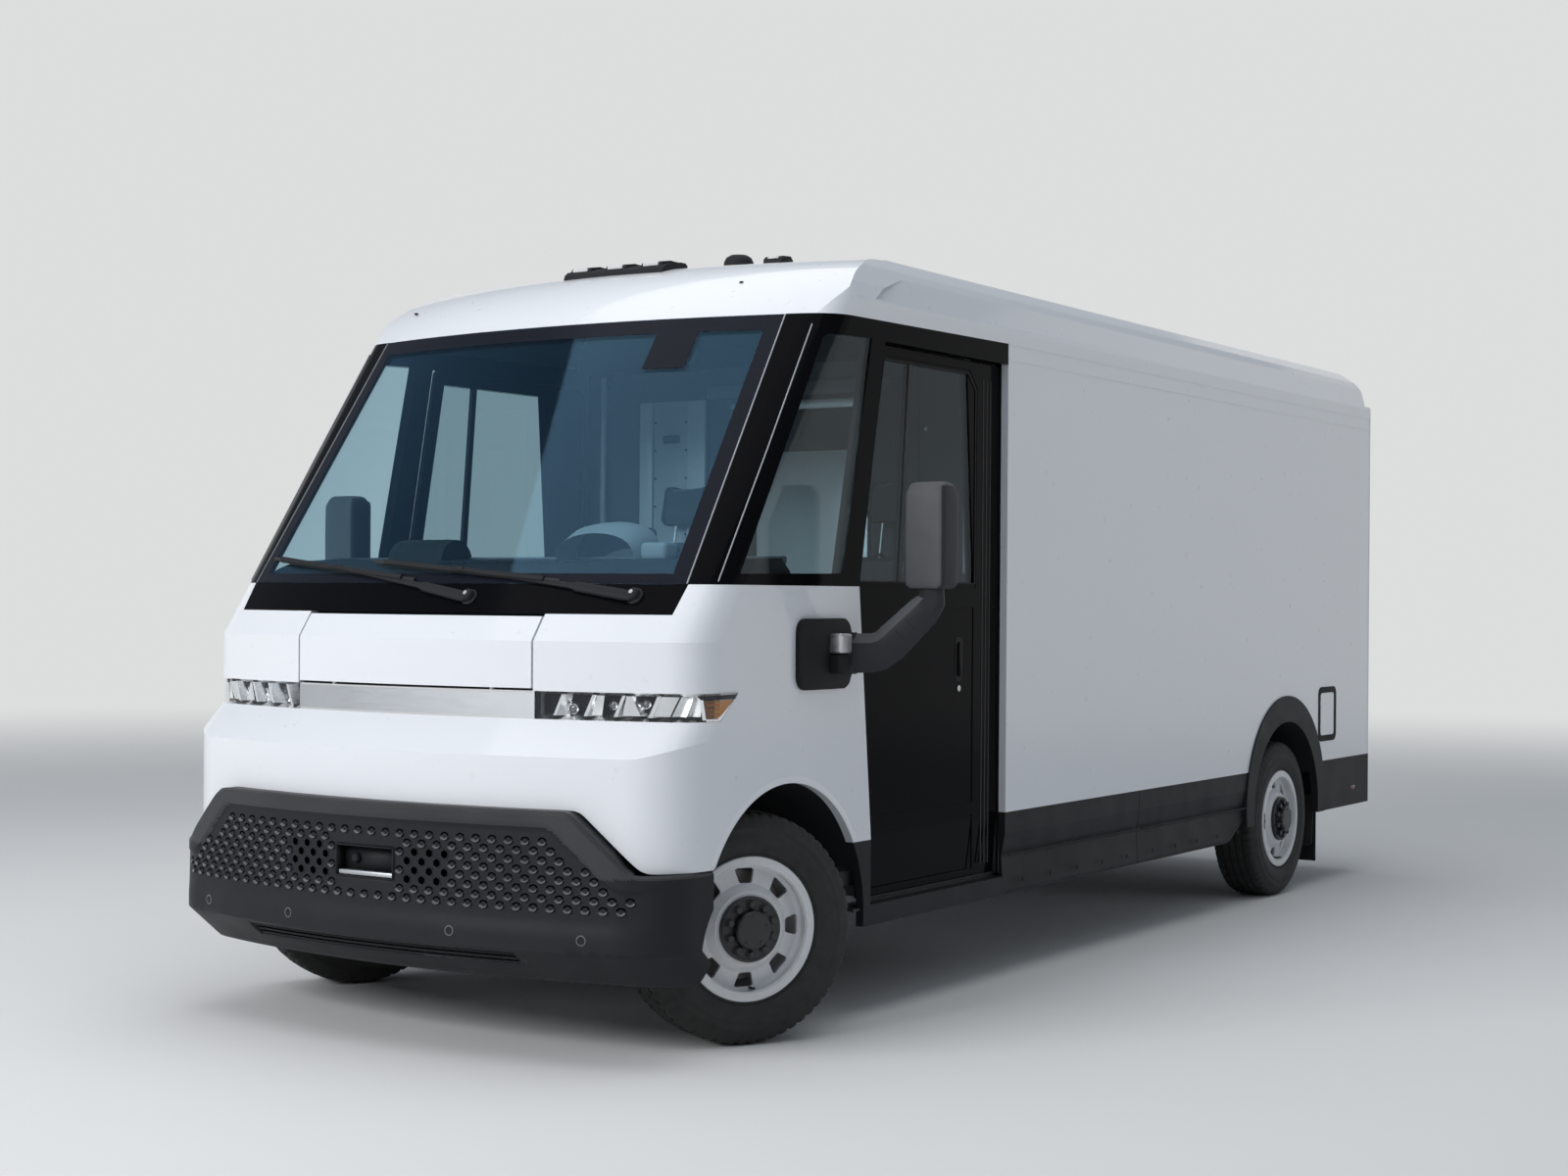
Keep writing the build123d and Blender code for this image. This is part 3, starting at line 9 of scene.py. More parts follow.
import bmesh
import bpy
from mathutils import Matrix, Vector


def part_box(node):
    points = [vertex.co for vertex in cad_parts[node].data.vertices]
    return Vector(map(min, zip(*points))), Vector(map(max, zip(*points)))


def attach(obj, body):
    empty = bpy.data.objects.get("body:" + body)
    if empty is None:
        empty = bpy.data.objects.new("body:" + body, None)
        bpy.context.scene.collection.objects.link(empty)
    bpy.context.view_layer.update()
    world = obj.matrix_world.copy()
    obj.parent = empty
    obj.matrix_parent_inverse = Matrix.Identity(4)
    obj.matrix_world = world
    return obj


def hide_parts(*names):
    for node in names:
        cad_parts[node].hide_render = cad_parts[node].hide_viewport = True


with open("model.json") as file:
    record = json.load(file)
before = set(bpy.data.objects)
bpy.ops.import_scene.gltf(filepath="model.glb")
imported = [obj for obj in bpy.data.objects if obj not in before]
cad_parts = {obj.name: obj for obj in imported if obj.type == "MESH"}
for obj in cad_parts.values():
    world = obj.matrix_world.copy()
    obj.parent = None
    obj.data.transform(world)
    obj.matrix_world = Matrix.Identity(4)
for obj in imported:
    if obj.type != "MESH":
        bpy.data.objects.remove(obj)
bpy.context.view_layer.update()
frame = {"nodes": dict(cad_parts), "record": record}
NODES = frame["nodes"]
scene = bpy.context.scene

# ---------------------------------------------------------------- places read from the frame
BODY_LOW, BODY_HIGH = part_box("side_panel_left")
SIDE_X = BODY_HIGH.x
REAR_Y = BODY_HIGH.y
DOOR_REAR_Y = BODY_LOW.y
PANEL_BOTTOM_Z = BODY_LOW.z


# ---------------------------------------------------------------- materials
def new_material(name, color, roughness, metallic=0.0):
    """A principled material; returns it with its node tree and shader."""
    material = bpy.data.materials.new(name)
    material.use_nodes = True
    tree = material.node_tree
    shader = tree.nodes["Principled BSDF"]
    shader.inputs["Base Color"].default_value = (*color, 1.0)
    shader.inputs["Roughness"].default_value = roughness
    shader.inputs["Metallic"].default_value = metallic
    return material, tree, shader


def add_node(tree, kind, inputs=None, operation=None):
    """A shader node with the values of some of its inputs."""
    made = tree.nodes.new("ShaderNode" + kind)
    if operation:
        made.operation = operation
    for socket, value in (inputs or {}).items():
        made.inputs[socket].default_value = value
    return made


def link(tree, *pairs):
    """Join sockets, each pair given as (node, output, node, input)."""
    for source, output, target, socket in pairs:
        tree.links.new(source.outputs[output], target.inputs[socket])


def noise(tree, scale, detail=4.0, stretch=(1.0, 1.0, 1.0)):
    """Noise in object space, optionally stretched along an axis."""
    place = add_node(tree, "TexCoord")
    mapping = add_node(tree, "Mapping", {"Scale": stretch})
    texture = add_node(tree, "TexNoise", {"Scale": scale, "Detail": detail})
    link(tree, (place, "Object", mapping, "Vector"), (mapping, "Vector", texture, "Vector"))
    return texture


def vary_roughness(tree, shader, texture, low, high):
    """Roughness follows a texture between two values."""
    scaled = add_node(tree, "MapRange", {"From Min": 0.1, "From Max": 0.9, "To Min": low, "To Max": high})
    link(tree, (texture, "Fac", scaled, "Value"), (scaled, "Result", shader, "Roughness"))


def vary_color(tree, shader, texture, dark, light):
    """Base colour follows a texture between two colours."""
    ramp = add_node(tree, "ValToRGB")
    for stop, position, color in zip(ramp.color_ramp.elements, (0.15, 0.85), (dark, light)):
        stop.position = position
        stop.color = (*color, 1.0)
    link(tree, (texture, "Fac", ramp, "Fac"), (ramp, "Color", shader, "Base Color"))


def bump(tree, shader, texture, strength, distance):
    """Relief from the first output of a texture."""
    relief = add_node(tree, "Bump", {"Strength": strength, "Distance": distance})
    link(tree, (texture, 0, relief, "Height"), (relief, "Normal", shader, "Normal"))


def paint(name, color, shade, roughness=0.28, coat=0.6, specular=0.5):
    """Body paint: faint cloudiness, orange peel and a clear coat."""
    material, tree, shader = new_material(name, color, roughness)
    vary_color(tree, shader, noise(tree, 55.0, 6.0), shade, color)
    bump(tree, shader, noise(tree, 160.0, 1.0), 0.015, 0.0003)
    vary_roughness(tree, shader, noise(tree, 23.0, 6.0), roughness * 0.95, roughness * 1.06)
    shader.inputs["Coat Weight"].default_value = coat
    shader.inputs["Coat Roughness"].default_value = 0.06
    shader.inputs["Specular IOR Level"].default_value = specular
    return material


def moulded_plastic(name, color, shade, roughness=0.6, grain=900.0, depth=0.0006):
    """Textured moulded plastic with fine grain and slight wear."""
    material, tree, shader = new_material(name, color, roughness)
    vary_color(tree, shader, noise(tree, 3.0, 6.0), shade, color)
    shader.inputs["Specular IOR Level"].default_value = 0.16
    bump(tree, shader, noise(tree, grain, 2.0), 0.35, depth)
    vary_roughness(tree, shader, noise(tree, 7.0, 6.0), roughness * 0.85, min(1.0, roughness * 1.2))
    return material


def metal(name, color, roughness, stretch=(1.0, 1.0, 1.0), grain=60.0):
    """Bare or plated metal with faint smears."""
    material, tree, shader = new_material(name, color, roughness, 1.0)
    smear = noise(tree, grain, 4.0, stretch)
    vary_roughness(tree, shader, smear, roughness * 0.7, min(1.0, roughness * 1.4))
    bump(tree, shader, smear, 0.05, 0.0005)
    return material


def window_glass(name, tint, gleam=0.9, shine=(0.9, 0.95, 1.0), base=0.035):
    """Thin tinted glass: clear head on, brighter reflections at a grazing angle."""
    material, tree, _ = new_material(name, tint, 0.0)
    clear = add_node(tree, "BsdfTransparent", {"Color": (*tint, 1.0)})
    gloss = add_node(tree, "BsdfGlossy", {"Roughness": 0.03, "Color": (*shine, 1.0)})
    grazing = add_node(tree, "LayerWeight", {"Blend": 0.5})
    steep = add_node(tree, "Math", {1: 4.5}, "POWER")
    scale = add_node(tree, "Math", {1: gleam, 2: base}, "MULTIPLY_ADD")
    mix = add_node(tree, "MixShader")
    link(
        tree, (grazing, "Facing", steep, 0), (steep, "Value", scale, 0), (scale, "Value", mix, "Fac"),
        (clear, "BSDF", mix, 1), (gloss, "BSDF", mix, 2),
        (mix, "Shader", tree.nodes["Material Output"], "Surface"),
    )
    return material


def lens(name, color, roughness=0.08):
    """Clear or coloured lamp plastic."""
    material, tree, shader = new_material(name, color, roughness)
    shader.inputs["Transmission Weight"].default_value = 0.85
    shader.inputs["IOR"].default_value = 1.49
    vary_roughness(tree, shader, noise(tree, 20.0, 3.0), roughness * 0.5, roughness * 1.5)
    return material


def rubber(name, color, shade, roughness=0.75):
    """Tyre or seal rubber with dust in its grain."""
    material, tree, shader = new_material(name, color, roughness)
    vary_color(tree, shader, noise(tree, 18.0, 8.0), shade, color)
    bump(tree, shader, noise(tree, 420.0, 3.0), 0.25, 0.0006)
    vary_roughness(tree, shader, noise(tree, 30.0, 5.0), roughness * 0.85, min(1.0, roughness * 1.15))
    return material


def woven(name, color, shade):
    """Woven seat cloth: two crossed thread waves over a soft sheen."""
    material, tree, shader = new_material(name, color, 0.9)
    place = add_node(tree, "TexCoord")
    waves = []
    for direction in ("X", "Z"):
        wave = add_node(tree, "TexWave", {"Scale": 160.0})
        wave.bands_direction = direction
        link(tree, (place, "Object", wave, "Vector"))
        waves.append(wave)
    cross = add_node(tree, "Math", operation="MULTIPLY")
    link(tree, (waves[0], "Fac", cross, 0), (waves[1], "Fac", cross, 1))
    bump(tree, shader, cross, 0.4, 0.001)
    vary_color(tree, shader, noise(tree, 35.0, 6.0), shade, color)
    shader.inputs["Sheen Weight"].default_value = 0.3
    return material


WHITE = paint("white_paint", (0.80, 0.82, 0.86), (0.792, 0.813, 0.854))
GLOSS_BLACK = paint("gloss_black", (0.004, 0.004, 0.005), (0.003, 0.003, 0.004), 0.12, 0.0, 0.03)
DARK_PLASTIC = moulded_plastic("dark_plastic", (0.022, 0.023, 0.026), (0.015, 0.016, 0.018))
CHARCOAL = moulded_plastic("charcoal_plastic", (0.021, 0.022, 0.025), (0.014, 0.015, 0.0175), 0.5)
BAR_GREY = metal("light_bar_grey", (0.50, 0.52, 0.55), 0.42, (1.0, 1.0, 12.0), 14.0)
CLEAR_LENS = lens("clear_lens", (0.95, 0.97, 1.0))
RED_LENS = lens("red_lens", (0.55, 0.01, 0.01), 0.15)
AMBER_LENS = lens("amber_lens", (0.9, 0.32, 0.03), 0.15)
GLASS = window_glass("clear_glass", (0.79, 0.85, 0.86), 0.4, base=0.02)
SCREEN = window_glass("windshield_glass", (0.82, 0.92, 0.955), 0.9, (0.36, 0.68, 1.0))
DOOR_TINT = window_glass("door_glass", (0.60, 0.665, 0.68), 0.4, base=0.02)
FRAME_BLACK = paint("frame_black", (0.025, 0.025, 0.027), (0.018, 0.018, 0.02), 0.5, 0.1)
ALUMINIUM = metal("cast_aluminium", (0.60, 0.61, 0.63), 0.45)
CHROME = metal("chrome", (0.85, 0.86, 0.88), 0.08)
TYRE = rubber("tyre_rubber", (0.013, 0.013, 0.014), (0.022, 0.0215, 0.020))
SEAL = rubber("seal_rubber", (0.012, 0.012, 0.012), (0.018, 0.018, 0.018), 0.6)
WHEEL = paint("wheel_white", (0.74, 0.75, 0.77), (0.66, 0.67, 0.69), 0.4, 0.2)
FLOOR_GREY = moulded_plastic("floor_grey", (0.16, 0.16, 0.17), (0.12, 0.12, 0.13), 0.7)
PANEL_GREY = paint("light_grey_panel", (0.50, 0.52, 0.54), (0.46, 0.48, 0.50), 0.45, 0.1)
SEAL_PLASTIC = moulded_plastic("ribbed_black", (0.018, 0.018, 0.020), (0.012, 0.012, 0.014), 0.6, 300.0)
SEAT_PLASTIC = moulded_plastic("seat_plastic", (0.03, 0.03, 0.032), (0.022, 0.022, 0.024))
CLOTH = woven("seat_fabric", (0.055, 0.055, 0.062), (0.04, 0.04, 0.046))
MIRROR = metal("mirror_glass", (0.9, 0.91, 0.92), 0.02)
MIRROR_PLASTIC = moulded_plastic(
    "mirror_plastic", (0.040, 0.042, 0.047), (0.024, 0.025, 0.029), 0.45, 500.0, 0.0004,
)
# Paler mirror plastic: scuff wear on the head's front face, and painted top light on the upward faces of the arm and
# head.
MIRROR_WEAR_AND_TOP_LIGHT = moulded_plastic(
    "mirror_plastic_wear_and_top_light", (0.150, 0.153, 0.162), (0.055, 0.057, 0.062), 0.5, 22.0, 0.0004,
)
ORANGE_SLEEVE = rubber("orange_sleeve", (0.55, 0.16, 0.02), (0.40, 0.11, 0.015), 0.5)
# Pitch black used as painted shade: over the bumper studs, inside the bumper's open holes and in the cargo rail
# slots.
SHADE_BLACK = paint("painted_shade_black", (0.0008, 0.0008, 0.0008), (0.0004, 0.0004, 0.0004), 1.0, 0.0, 0.0)
# Pale lip plastic: a painted highlight on the lower slopes of the bumper studs, and wear on the parking sensor
# rings.
LIP_WEAR_AND_HIGHLIGHT = moulded_plastic("worn_lip_and_painted_highlight", (0.21, 0.215, 0.225), (0.085, 0.088, 0.095), 0.4, 60.0, 0.0003)
# Paler smooth plastic for the upper bumper band and its ledge.
BAND_PALE = moulded_plastic(
    "pale_bumper_band", (0.058, 0.060, 0.065), (0.034, 0.035, 0.039), 0.42, 700.0, 0.0004,
)
HEADLINER = moulded_plastic("headliner", (0.075, 0.080, 0.086), (0.060, 0.064, 0.070), 0.85, 600.0)
VINYL = moulded_plastic("seat_vinyl", (0.030, 0.030, 0.034), (0.018, 0.018, 0.021), 0.45, 420.0, 0.0005)
BULK_DARK = moulded_plastic("bulkhead_dark", (0.085, 0.090, 0.098), (0.065, 0.069, 0.075), 0.6, 500.0)
HOOD_GREY = moulded_plastic("instrument_grey", (0.33, 0.35, 0.37), (0.27, 0.285, 0.30), 0.6, 600.0)
TRIM_GREY = moulded_plastic("trim_grey", (0.16, 0.17, 0.185), (0.13, 0.138, 0.15), 0.6, 700.0)
SCREEN_BLACK = paint("display_black", (0.008, 0.009, 0.012), (0.005, 0.006, 0.008), 0.08, 0.5)
LED_WHITE = lens("led_cover", (0.92, 0.93, 0.95), 0.3)
PLYWOOD = moulded_plastic("liner_panel", (0.42, 0.43, 0.44), (0.36, 0.37, 0.38), 0.65, 300.0)
COVER = window_glass("lamp_cover", (0.98, 0.985, 0.99), 0.5)
HUB = paint("hub_black", (0.016, 0.016, 0.018), (0.010, 0.010, 0.012), 0.45, 0.2)
IRON = metal("brake_iron", (0.32, 0.30, 0.29), 0.5)
FRIT = paint("printed_black", (0.010, 0.012, 0.020), (0.008, 0.010, 0.016), 0.25, 0.0, 0.08)
CHROME_DULL = metal("bright_seal", (0.45, 0.46, 0.48), 0.35)
LAMP_SILVER = metal("lamp_silver", (0.86, 0.87, 0.88), 0.28)
LAMP_CLEAR = paint("lamp_white", (0.70, 0.71, 0.72), (0.60, 0.61, 0.62), 0.15, 0.8)

FINISHES = {
    "white_paint": WHITE,
    "gloss_black": GLOSS_BLACK,
    "dark_plastic": DARK_PLASTIC,
    "light_bar_grey": BAR_GREY,
    "clear_lens": CLEAR_LENS,
    "clear_glass": GLASS,
    "red_lens": RED_LENS,
    "amber_lens": AMBER_LENS,
    "frame_black": FRAME_BLACK,
    "aluminium": ALUMINIUM,
    "tyre_rubber": TYRE,
    "wheel_white": WHEEL,
    "floor_grey": FLOOR_GREY,
    "light_grey_panel": PANEL_GREY,
    "seat_plastic": SEAT_PLASTIC,
    "seat_fabric": CLOTH,
    "mirror_glass": MIRROR,
}


def finish_cad_nodes():
    """Give every CAD node the material of its slot."""
    for entry in frame["record"]["subparts"]:
        mesh = NODES[entry["node"]].data
        mesh.materials.clear()
        mesh.materials.append(FINISHES[entry["material_slot"]])


finish_cad_nodes()
for name in ("front_bumper", "side_skirts", "rear_bumper", "mirrors"):
    NODES[name].data.materials[0] = CHARCOAL
NODES["windshield"].data.materials[0] = SCREEN
for hand in ("left", "right"):
    NODES[f"cab_door_glass_{hand}"].data.materials[0] = DOOR_TINT


def line_inside(node, material, middle):
    """The faces of a CAD node that look towards a point inside the van get their own lining."""
    piece = NODES[node]
    piece.data.materials.append(material)
    for face in piece.data.polygons:
        centre = piece.matrix_world @ face.center
        facing = piece.matrix_world.to_3x3() @ face.normal
        if facing.dot(centre - Vector(middle)) < 0 and abs(centre.x) < 1.0765:
            face.material_index = len(piece.data.materials) - 1


line_inside("cab_roof", HEADLINER, (0.0, -1.8, 1.6))
line_inside("cargo_roof", PLYWOOD, (0.0, 1.2, 1.5))
for walled in ("bulkhead", "bulkhead_door"):
    NODES[walled].data.materials[0] = BULK_DARK
    line_inside(walled, PLYWOOD, (0.0, 1.2, 1.5))
for lined in ("side_panel_left", "side_panel_right", "rear_door_left", "rear_door_right"):
    line_inside(lined, PLYWOOD, (0.0, 1.2, 1.5))


# ---------------------------------------------------------------- mesh building
def pour(part, whole):
    """Move a small mesh into a larger one."""
    mesh = bpy.data.meshes.new("part")
    part.to_mesh(mesh)
    part.free()
    whole.from_mesh(mesh)
    bpy.data.meshes.remove(mesh)


def new_object(name, bm):
    """An object in the scene, made from a finished mesh."""
    mesh = bpy.data.meshes.new(name)
    bm.to_mesh(mesh)
    bm.free()
    piece = bpy.data.objects.new(name, mesh)
    scene.collection.objects.link(piece)
    return piece


def bridge(part, one, two, closed=True):
    """Faces between two rows of as many vertices, all the way round unless the rows are open."""
    count = len(one)
    for k in range(count if closed else count - 1):
        nxt = (k + 1) % count
        part.faces.new((one[k], one[nxt], two[nxt], two[k]))


class Shape:
    """Collects mesh parts, each with its own material, into one object."""

    def __init__(self, name):
        self.name = name
        self.bm = bmesh.new()
        self.materials = []

    def merge(self, part, material, matrix=None, fix=True):
        """Add a small mesh to the whole."""
        if matrix is not None:
            bmesh.ops.transform(part, matrix=matrix, verts=part.verts)
        if fix:
            bmesh.ops.recalc_face_normals(part, faces=part.faces)
        for face in part.faces:
            chosen = material(face) if callable(material) else material
            if chosen not in self.materials:
                self.materials.append(chosen)
            face.material_index = self.materials.index(chosen)
            face.smooth = True
        pour(part, self.bm)

    def block(self, middle, size, material, radius=0.004, segments=2, matrix=None):
        """A rounded block."""
        part = bmesh.new()
        bmesh.ops.create_cube(part, size=1.0)
        bmesh.ops.scale(part, vec=size, verts=part.verts)
        if radius:
            bmesh.ops.bevel(
                part, geom=part.edges[:], offset=min(radius, min(size) * 0.49), segments=segments,
                profile=0.5, affect="EDGES", clamp_overlap=True,
            )
        bmesh.ops.translate(part, vec=middle, verts=part.verts)
        self.merge(part, material, matrix)

    def prism(self, outline, depth, material, matrix, radius=0.0, segments=2):
        """A flat outline (u, v) given a depth along w; matrix places u, v, w."""
        part = bmesh.new()
        low = [part.verts.new((u, v, 0.0)) for u, v in outline]
        high = [part.verts.new((u, v, depth)) for u, v in outline]
        part.faces.new(low[::-1])
        part.faces.new(high)
        bridge(part, low, high)
        if radius:
            rims = [e for e in part.edges if abs(e.verts[0].co.z - e.verts[1].co.z) < 1e-7]
            bmesh.ops.bevel(part, geom=rims, offset=radius, segments=segments, profile=0.5, affect="EDGES")
        self.merge(part, material, matrix)

    def lathe(self, profile, material, matrix, segments=48, ripple=None):
        """A profile of (radius, height) turned about local Z; ripple may move a vertex in or out."""
        part = bmesh.new()
        rings = []
        for row, (radius, height) in enumerate(profile):
            if radius < 1e-6:
                rings.append([part.verts.new((0.0, 0.0, height))])
                continue
            ring = []
            for k in range(segments):
                reach = radius + (ripple(row, k) if ripple else 0.0)
                angle = 2 * math.pi * k / segments
                ring.append(part.verts.new((reach * math.cos(angle), reach * math.sin(angle), height)))
            rings.append(ring)
        for inner, outer in zip(rings, rings[1:]):
            for k in range(segments):
                nxt = (k + 1) % segments
                if len(inner) == 1 and len(outer) == 1:
                    break
                if len(inner) == 1:
                    part.faces.new((inner[0], outer[nxt], outer[k]))
                elif len(outer) == 1:
                    part.faces.new((inner[k], inner[nxt], outer[0]))
                else:
                    part.faces.new((inner[k], inner[nxt], outer[nxt], outer[k]))
        self.merge(part, material, matrix)

    def sweep(self, points, section, material, closed=False, up=(0.0, 0.0, 1.0)):
        """A cross-section carried along points: a ring of (sideways, upward) offsets, or a function of k that gives one."""
        part = bmesh.new()
        points = [Vector(p) for p in points]
        count = len(points)
        rings = []
        for k, point in enumerate(points):
            before = points[k - 1] if k or closed else point
            after = points[(k + 1) % count] if k < count - 1 or closed else point
            along = (after - before).normalized()
            side = along.cross(Vector(up))
            if side.length < 1e-4:
                side = along.cross(Vector((1.0, 0.0, 0.0)))
            side.normalize()
            rise = side.cross(along)
            rings.append(
                [
                    part.verts.new(point + side * a + rise * b)
                    for a, b in (section(k) if callable(section) else section)
                ]
            )
        pairs = list(zip(rings, rings[1:])) + ([(rings[-1], rings[0])] if closed else [])
        for one, two in pairs:
            bridge(part, one, two)
        if not closed:
            part.faces.new(rings[0][::-1])
            part.faces.new(rings[-1])
        self.merge(part, material)

    def tube(self, points, radius, material, segments=10, closed=False):
        """A round rod along points."""
        ring = [
            (radius * math.cos(2 * math.pi * j / segments), radius * math.sin(2 * math.pi * j / segments))
            for j in range(segments)
        ]
        self.sweep(points, ring, material, closed)

    def grid(self, place, us, vs, material, skip=None, thickness=0.0, fix=False):
        """A surface through place(u, v); skip(i, j) leaves a cell open. material may be a function of a face."""
        part = bmesh.new()
        rows = [[part.verts.new(place(u, v)) for v in vs] for u in us]
        for i in range(len(us) - 1):
            for j in range(len(vs) - 1):
                if skip and skip(i, j):
                    continue
                part.faces.new((rows[i][j], rows[i + 1][j], rows[i + 1][j + 1], rows[i][j + 1]))
        loose = [v for v in part.verts if not v.link_faces]
        bmesh.ops.delete(part, geom=loose, context="VERTS")
        if thickness:
            bmesh.ops.solidify(part, geom=part.faces[:], thickness=thickness)
        self.merge(part, material, fix=fix)

    def mirror(self):
        """Add the mirror image across the van's centre plane."""
        copy = bmesh.ops.duplicate(self.bm, geom=self.bm.verts[:] + self.bm.edges[:] + self.bm.faces[:])
        verts = [g for g in copy["geom"] if isinstance(g, bmesh.types.BMVert)]
        faces = [g for g in copy["geom"] if isinstance(g, bmesh.types.BMFace)]
        bmesh.ops.scale(self.bm, vec=(-1.0, 1.0, 1.0), verts=verts)
        bmesh.ops.reverse_faces(self.bm, faces=faces)

    def finish(self, body="van_body", replaces=(), crease=32.0):
        """Make the object, let it ride on its body and stand for its CAD nodes."""
        piece = new_object(self.name, self.bm)
        for material in self.materials:
            piece.data.materials.append(material)
        piece.data.set_sharp_from_angle(angle=math.radians(crease))
        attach(piece, body)
        if replaces:
            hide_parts(*replaces)
        return piece


def spread(low, high, count):
    """Evenly spaced values, ends included."""
    return [low + (high - low) * k / (count - 1) for k in range(count)]


def placed(origin, u, v):
    """A matrix whose local X runs along u, Y along v and Z along their cross product."""
    u, v = Vector(u).normalized(), Vector(v).normalized()
    w = u.cross(v)
    turn = Matrix((u, v, w)).transposed().to_4x4()
    return Matrix.Translation(Vector(origin)) @ turn


def upright(origin, along=(1, 0, 0)):
    """A matrix for a standing outline: u runs along a level direction and v runs up."""
    return placed(origin, along, (0, 0, 1))


def turned(origin, angle, axis):
    """A matrix that turns about an axis and then moves to a point."""
    return Matrix.Translation(origin) @ Matrix.Rotation(angle, 4, axis)


def facing(origin, normal):
    """A matrix at a point with local Z along a normal."""
    return Matrix.Translation(origin) @ normal.to_track_quat("Z", "Y").to_matrix().to_4x4()


def rectangle(half_width, half_height):
    """A rectangular section about the line it is swept along."""
    a, b = half_width, half_height
    return [(-a, -b), (a, -b), (a, b), (-a, b)]


def rounded_outline(width, height, radius, steps=5):
    """A rectangle with round corners about the origin."""
    points = []
    for cx, cy, start in ((1, 1, 0), (-1, 1, 90), (-1, -1, 180), (1, -1, 270)):
        for k in range(steps + 1):
            angle = math.radians(start + 90 * k / steps)
            points.append(
                (
                    cx * (width / 2 - radius) + radius * math.cos(angle),
                    cy * (height / 2 - radius) + radius * math.sin(angle),
                )
            )
    return points


def smooth_step(low, high, value):
    """Zero below low, one above high, smooth between."""
    share = min(1.0, max(0.0, (value - low) / (high - low)))
    return share * share * (3 - 2 * share)


# ---------------------------------------------------------------- shape of the van's front
FRONT_AXLE = -2.504
REAR_AXLE = 2.066
HALF_WIDTH = 1.085
NOSE_RADIUS = 3.4  # of the front's curve in plan
GLASS_SLOPE = 0.695  # how far the windshield falls back for each metre up
WHEEL_X, WHEEL_Z = 0.95, 0.385
KINGPIN_X = 0.8
REST_STEER = math.radians(-30)


def plan_place(nose, half_width, corner, travel, inset=0.0):
    """(point, outward normal) at a distance travelled round the plan outline from its nose."""
    reach = NOSE_RADIUS - corner
    corner_x = half_width - corner
    corner_y = nose + NOSE_RADIUS - math.sqrt(reach**2 - corner_x**2)
    lean = math.asin(corner_x / reach)
    first = NOSE_RADIUS * lean
    second = first + corner * (math.pi / 2 - lean)
    side = 1.0 if travel >= 0 else -1.0
    gone = abs(travel)
    if gone <= first:
        turn = gone / NOSE_RADIUS
        x, y = NOSE_RADIUS * math.sin(turn), nose + NOSE_RADIUS * (1 - math.cos(turn))
    elif gone <= second:
        turn = lean + (gone - first) / corner
        x, y = corner_x + corner * math.sin(turn), corner_y - corner * math.cos(turn)
    else:
        turn = math.pi / 2
        x, y = half_width, corner_y + gone - second
    nx, ny = math.sin(turn), -math.cos(turn)
    return (side * (x - inset * nx), FRONT_AXLE + y - inset * ny), (side * nx, ny)


def travel_to(nose, half_width, corner, back):
    """Distance round the outline at which it has come back to y = back from the front axle."""
    low, high = 0.0, 4.0
    for _ in range(40):
        middle = (low + high) / 2
        y = plan_place(nose, half_width, corner, middle)[0][1]
        if y - FRONT_AXLE < back:
            low = middle
        else:
            high = middle
    return low


def crown(x):
    """How far the curved front falls back at a distance x from the centreline."""
    return NOSE_RADIUS - math.sqrt(NOSE_RADIUS**2 - x**2)


def glass_place(x, z, inset=0.0):
    """A point on the leaning surface of the windshield, inset towards the cab."""
    y = FRONT_AXLE - 0.551 + GLASS_SLOPE * (z - 1.518) + crown(x) + inset * 1.22
    return Vector((x, y, z))


GLASS_NORMAL = Vector((0.0, -1.0, GLASS_SLOPE)).normalized()


# ---------------------------------------------------------------- front bumper
BUMPER_NOSE, BUMPER_CORNER = -0.868, 0.24
BUMPER_TOP, BUMPER_WING, BUMPER_FOOT = 0.802, 0.612, 0.25
RECESS_Z = (0.5555, 0.6565)
SLOT_Z = (0.307, 0.353)
TUCK_Z, TUCK_SLOPE = 0.365, 1.25  # below this height the bumper tucks back by this much a metre
STRAIGHT = 0.5875  # travel to where the columns start to follow the wheel arch


def bumper_top(travel):
    """Height of the bumper's upper edge: raised in the middle, low towards the wheels."""
    x = plan_place(BUMPER_NOSE, HALF_WIDTH, BUMPER_CORNER, abs(travel))[0][0]
    start, end, blend = 0.768, 0.975, 0.03
    fall = (BUMPER_TOP - BUMPER_WING) / (end - start)
    if x < start - blend:
        return BUMPER_TOP
    if x < start + blend:
        return BUMPER_TOP - fall * (x - start + blend) ** 2 / (4 * blend)
    if x < end - blend:
        return BUMPER_TOP - fall * (x - start)
    if x < end + blend:
        return BUMPER_WING + fall * (end + blend - x) ** 2 / (4 * blend)
    return BUMPER_WING


def panel_depth(travel, z):
    """How far the inner panel is sunk below the bumper's outer band."""
    gone = abs(travel)
    edge = bumper_top(gone + 0.055) - 0.05
    from_top = 1 - smooth_step(edge - 0.008, edge + 0.006, z)
    from_end = 1 - smooth_step(1.00, 1.10, gone + (0.62 - z) * 0.15)
    from_foot = smooth_step(0.41, 0.47, z)
    return 0.010 * from_top * from_end * from_foot


def bumper_place(travel, z, depth=0.0):
    """A point on the bumper and its normal."""
    (x, y), normal = plan_place(BUMPER_NOSE, HALF_WIDTH, BUMPER_CORNER, travel, depth)
    if z < TUCK_Z:
        y += TUCK_SLOPE * (TUCK_Z - z)
    return Vector((x, y, z)), Vector((normal[0], normal[1], 0.0))


def arch_travel(z):
    """Where the bumper ends at the wheel arch at height z."""
    reach = math.sqrt(0.49**2 - (z - 0.37) ** 2)
    back = -max(reach, 0.397) - (TUCK_SLOPE * (TUCK_Z - z) if z < TUCK_Z else 0.0)
    return travel_to(BUMPER_NOSE, HALF_WIDTH, BUMPER_CORNER, back)


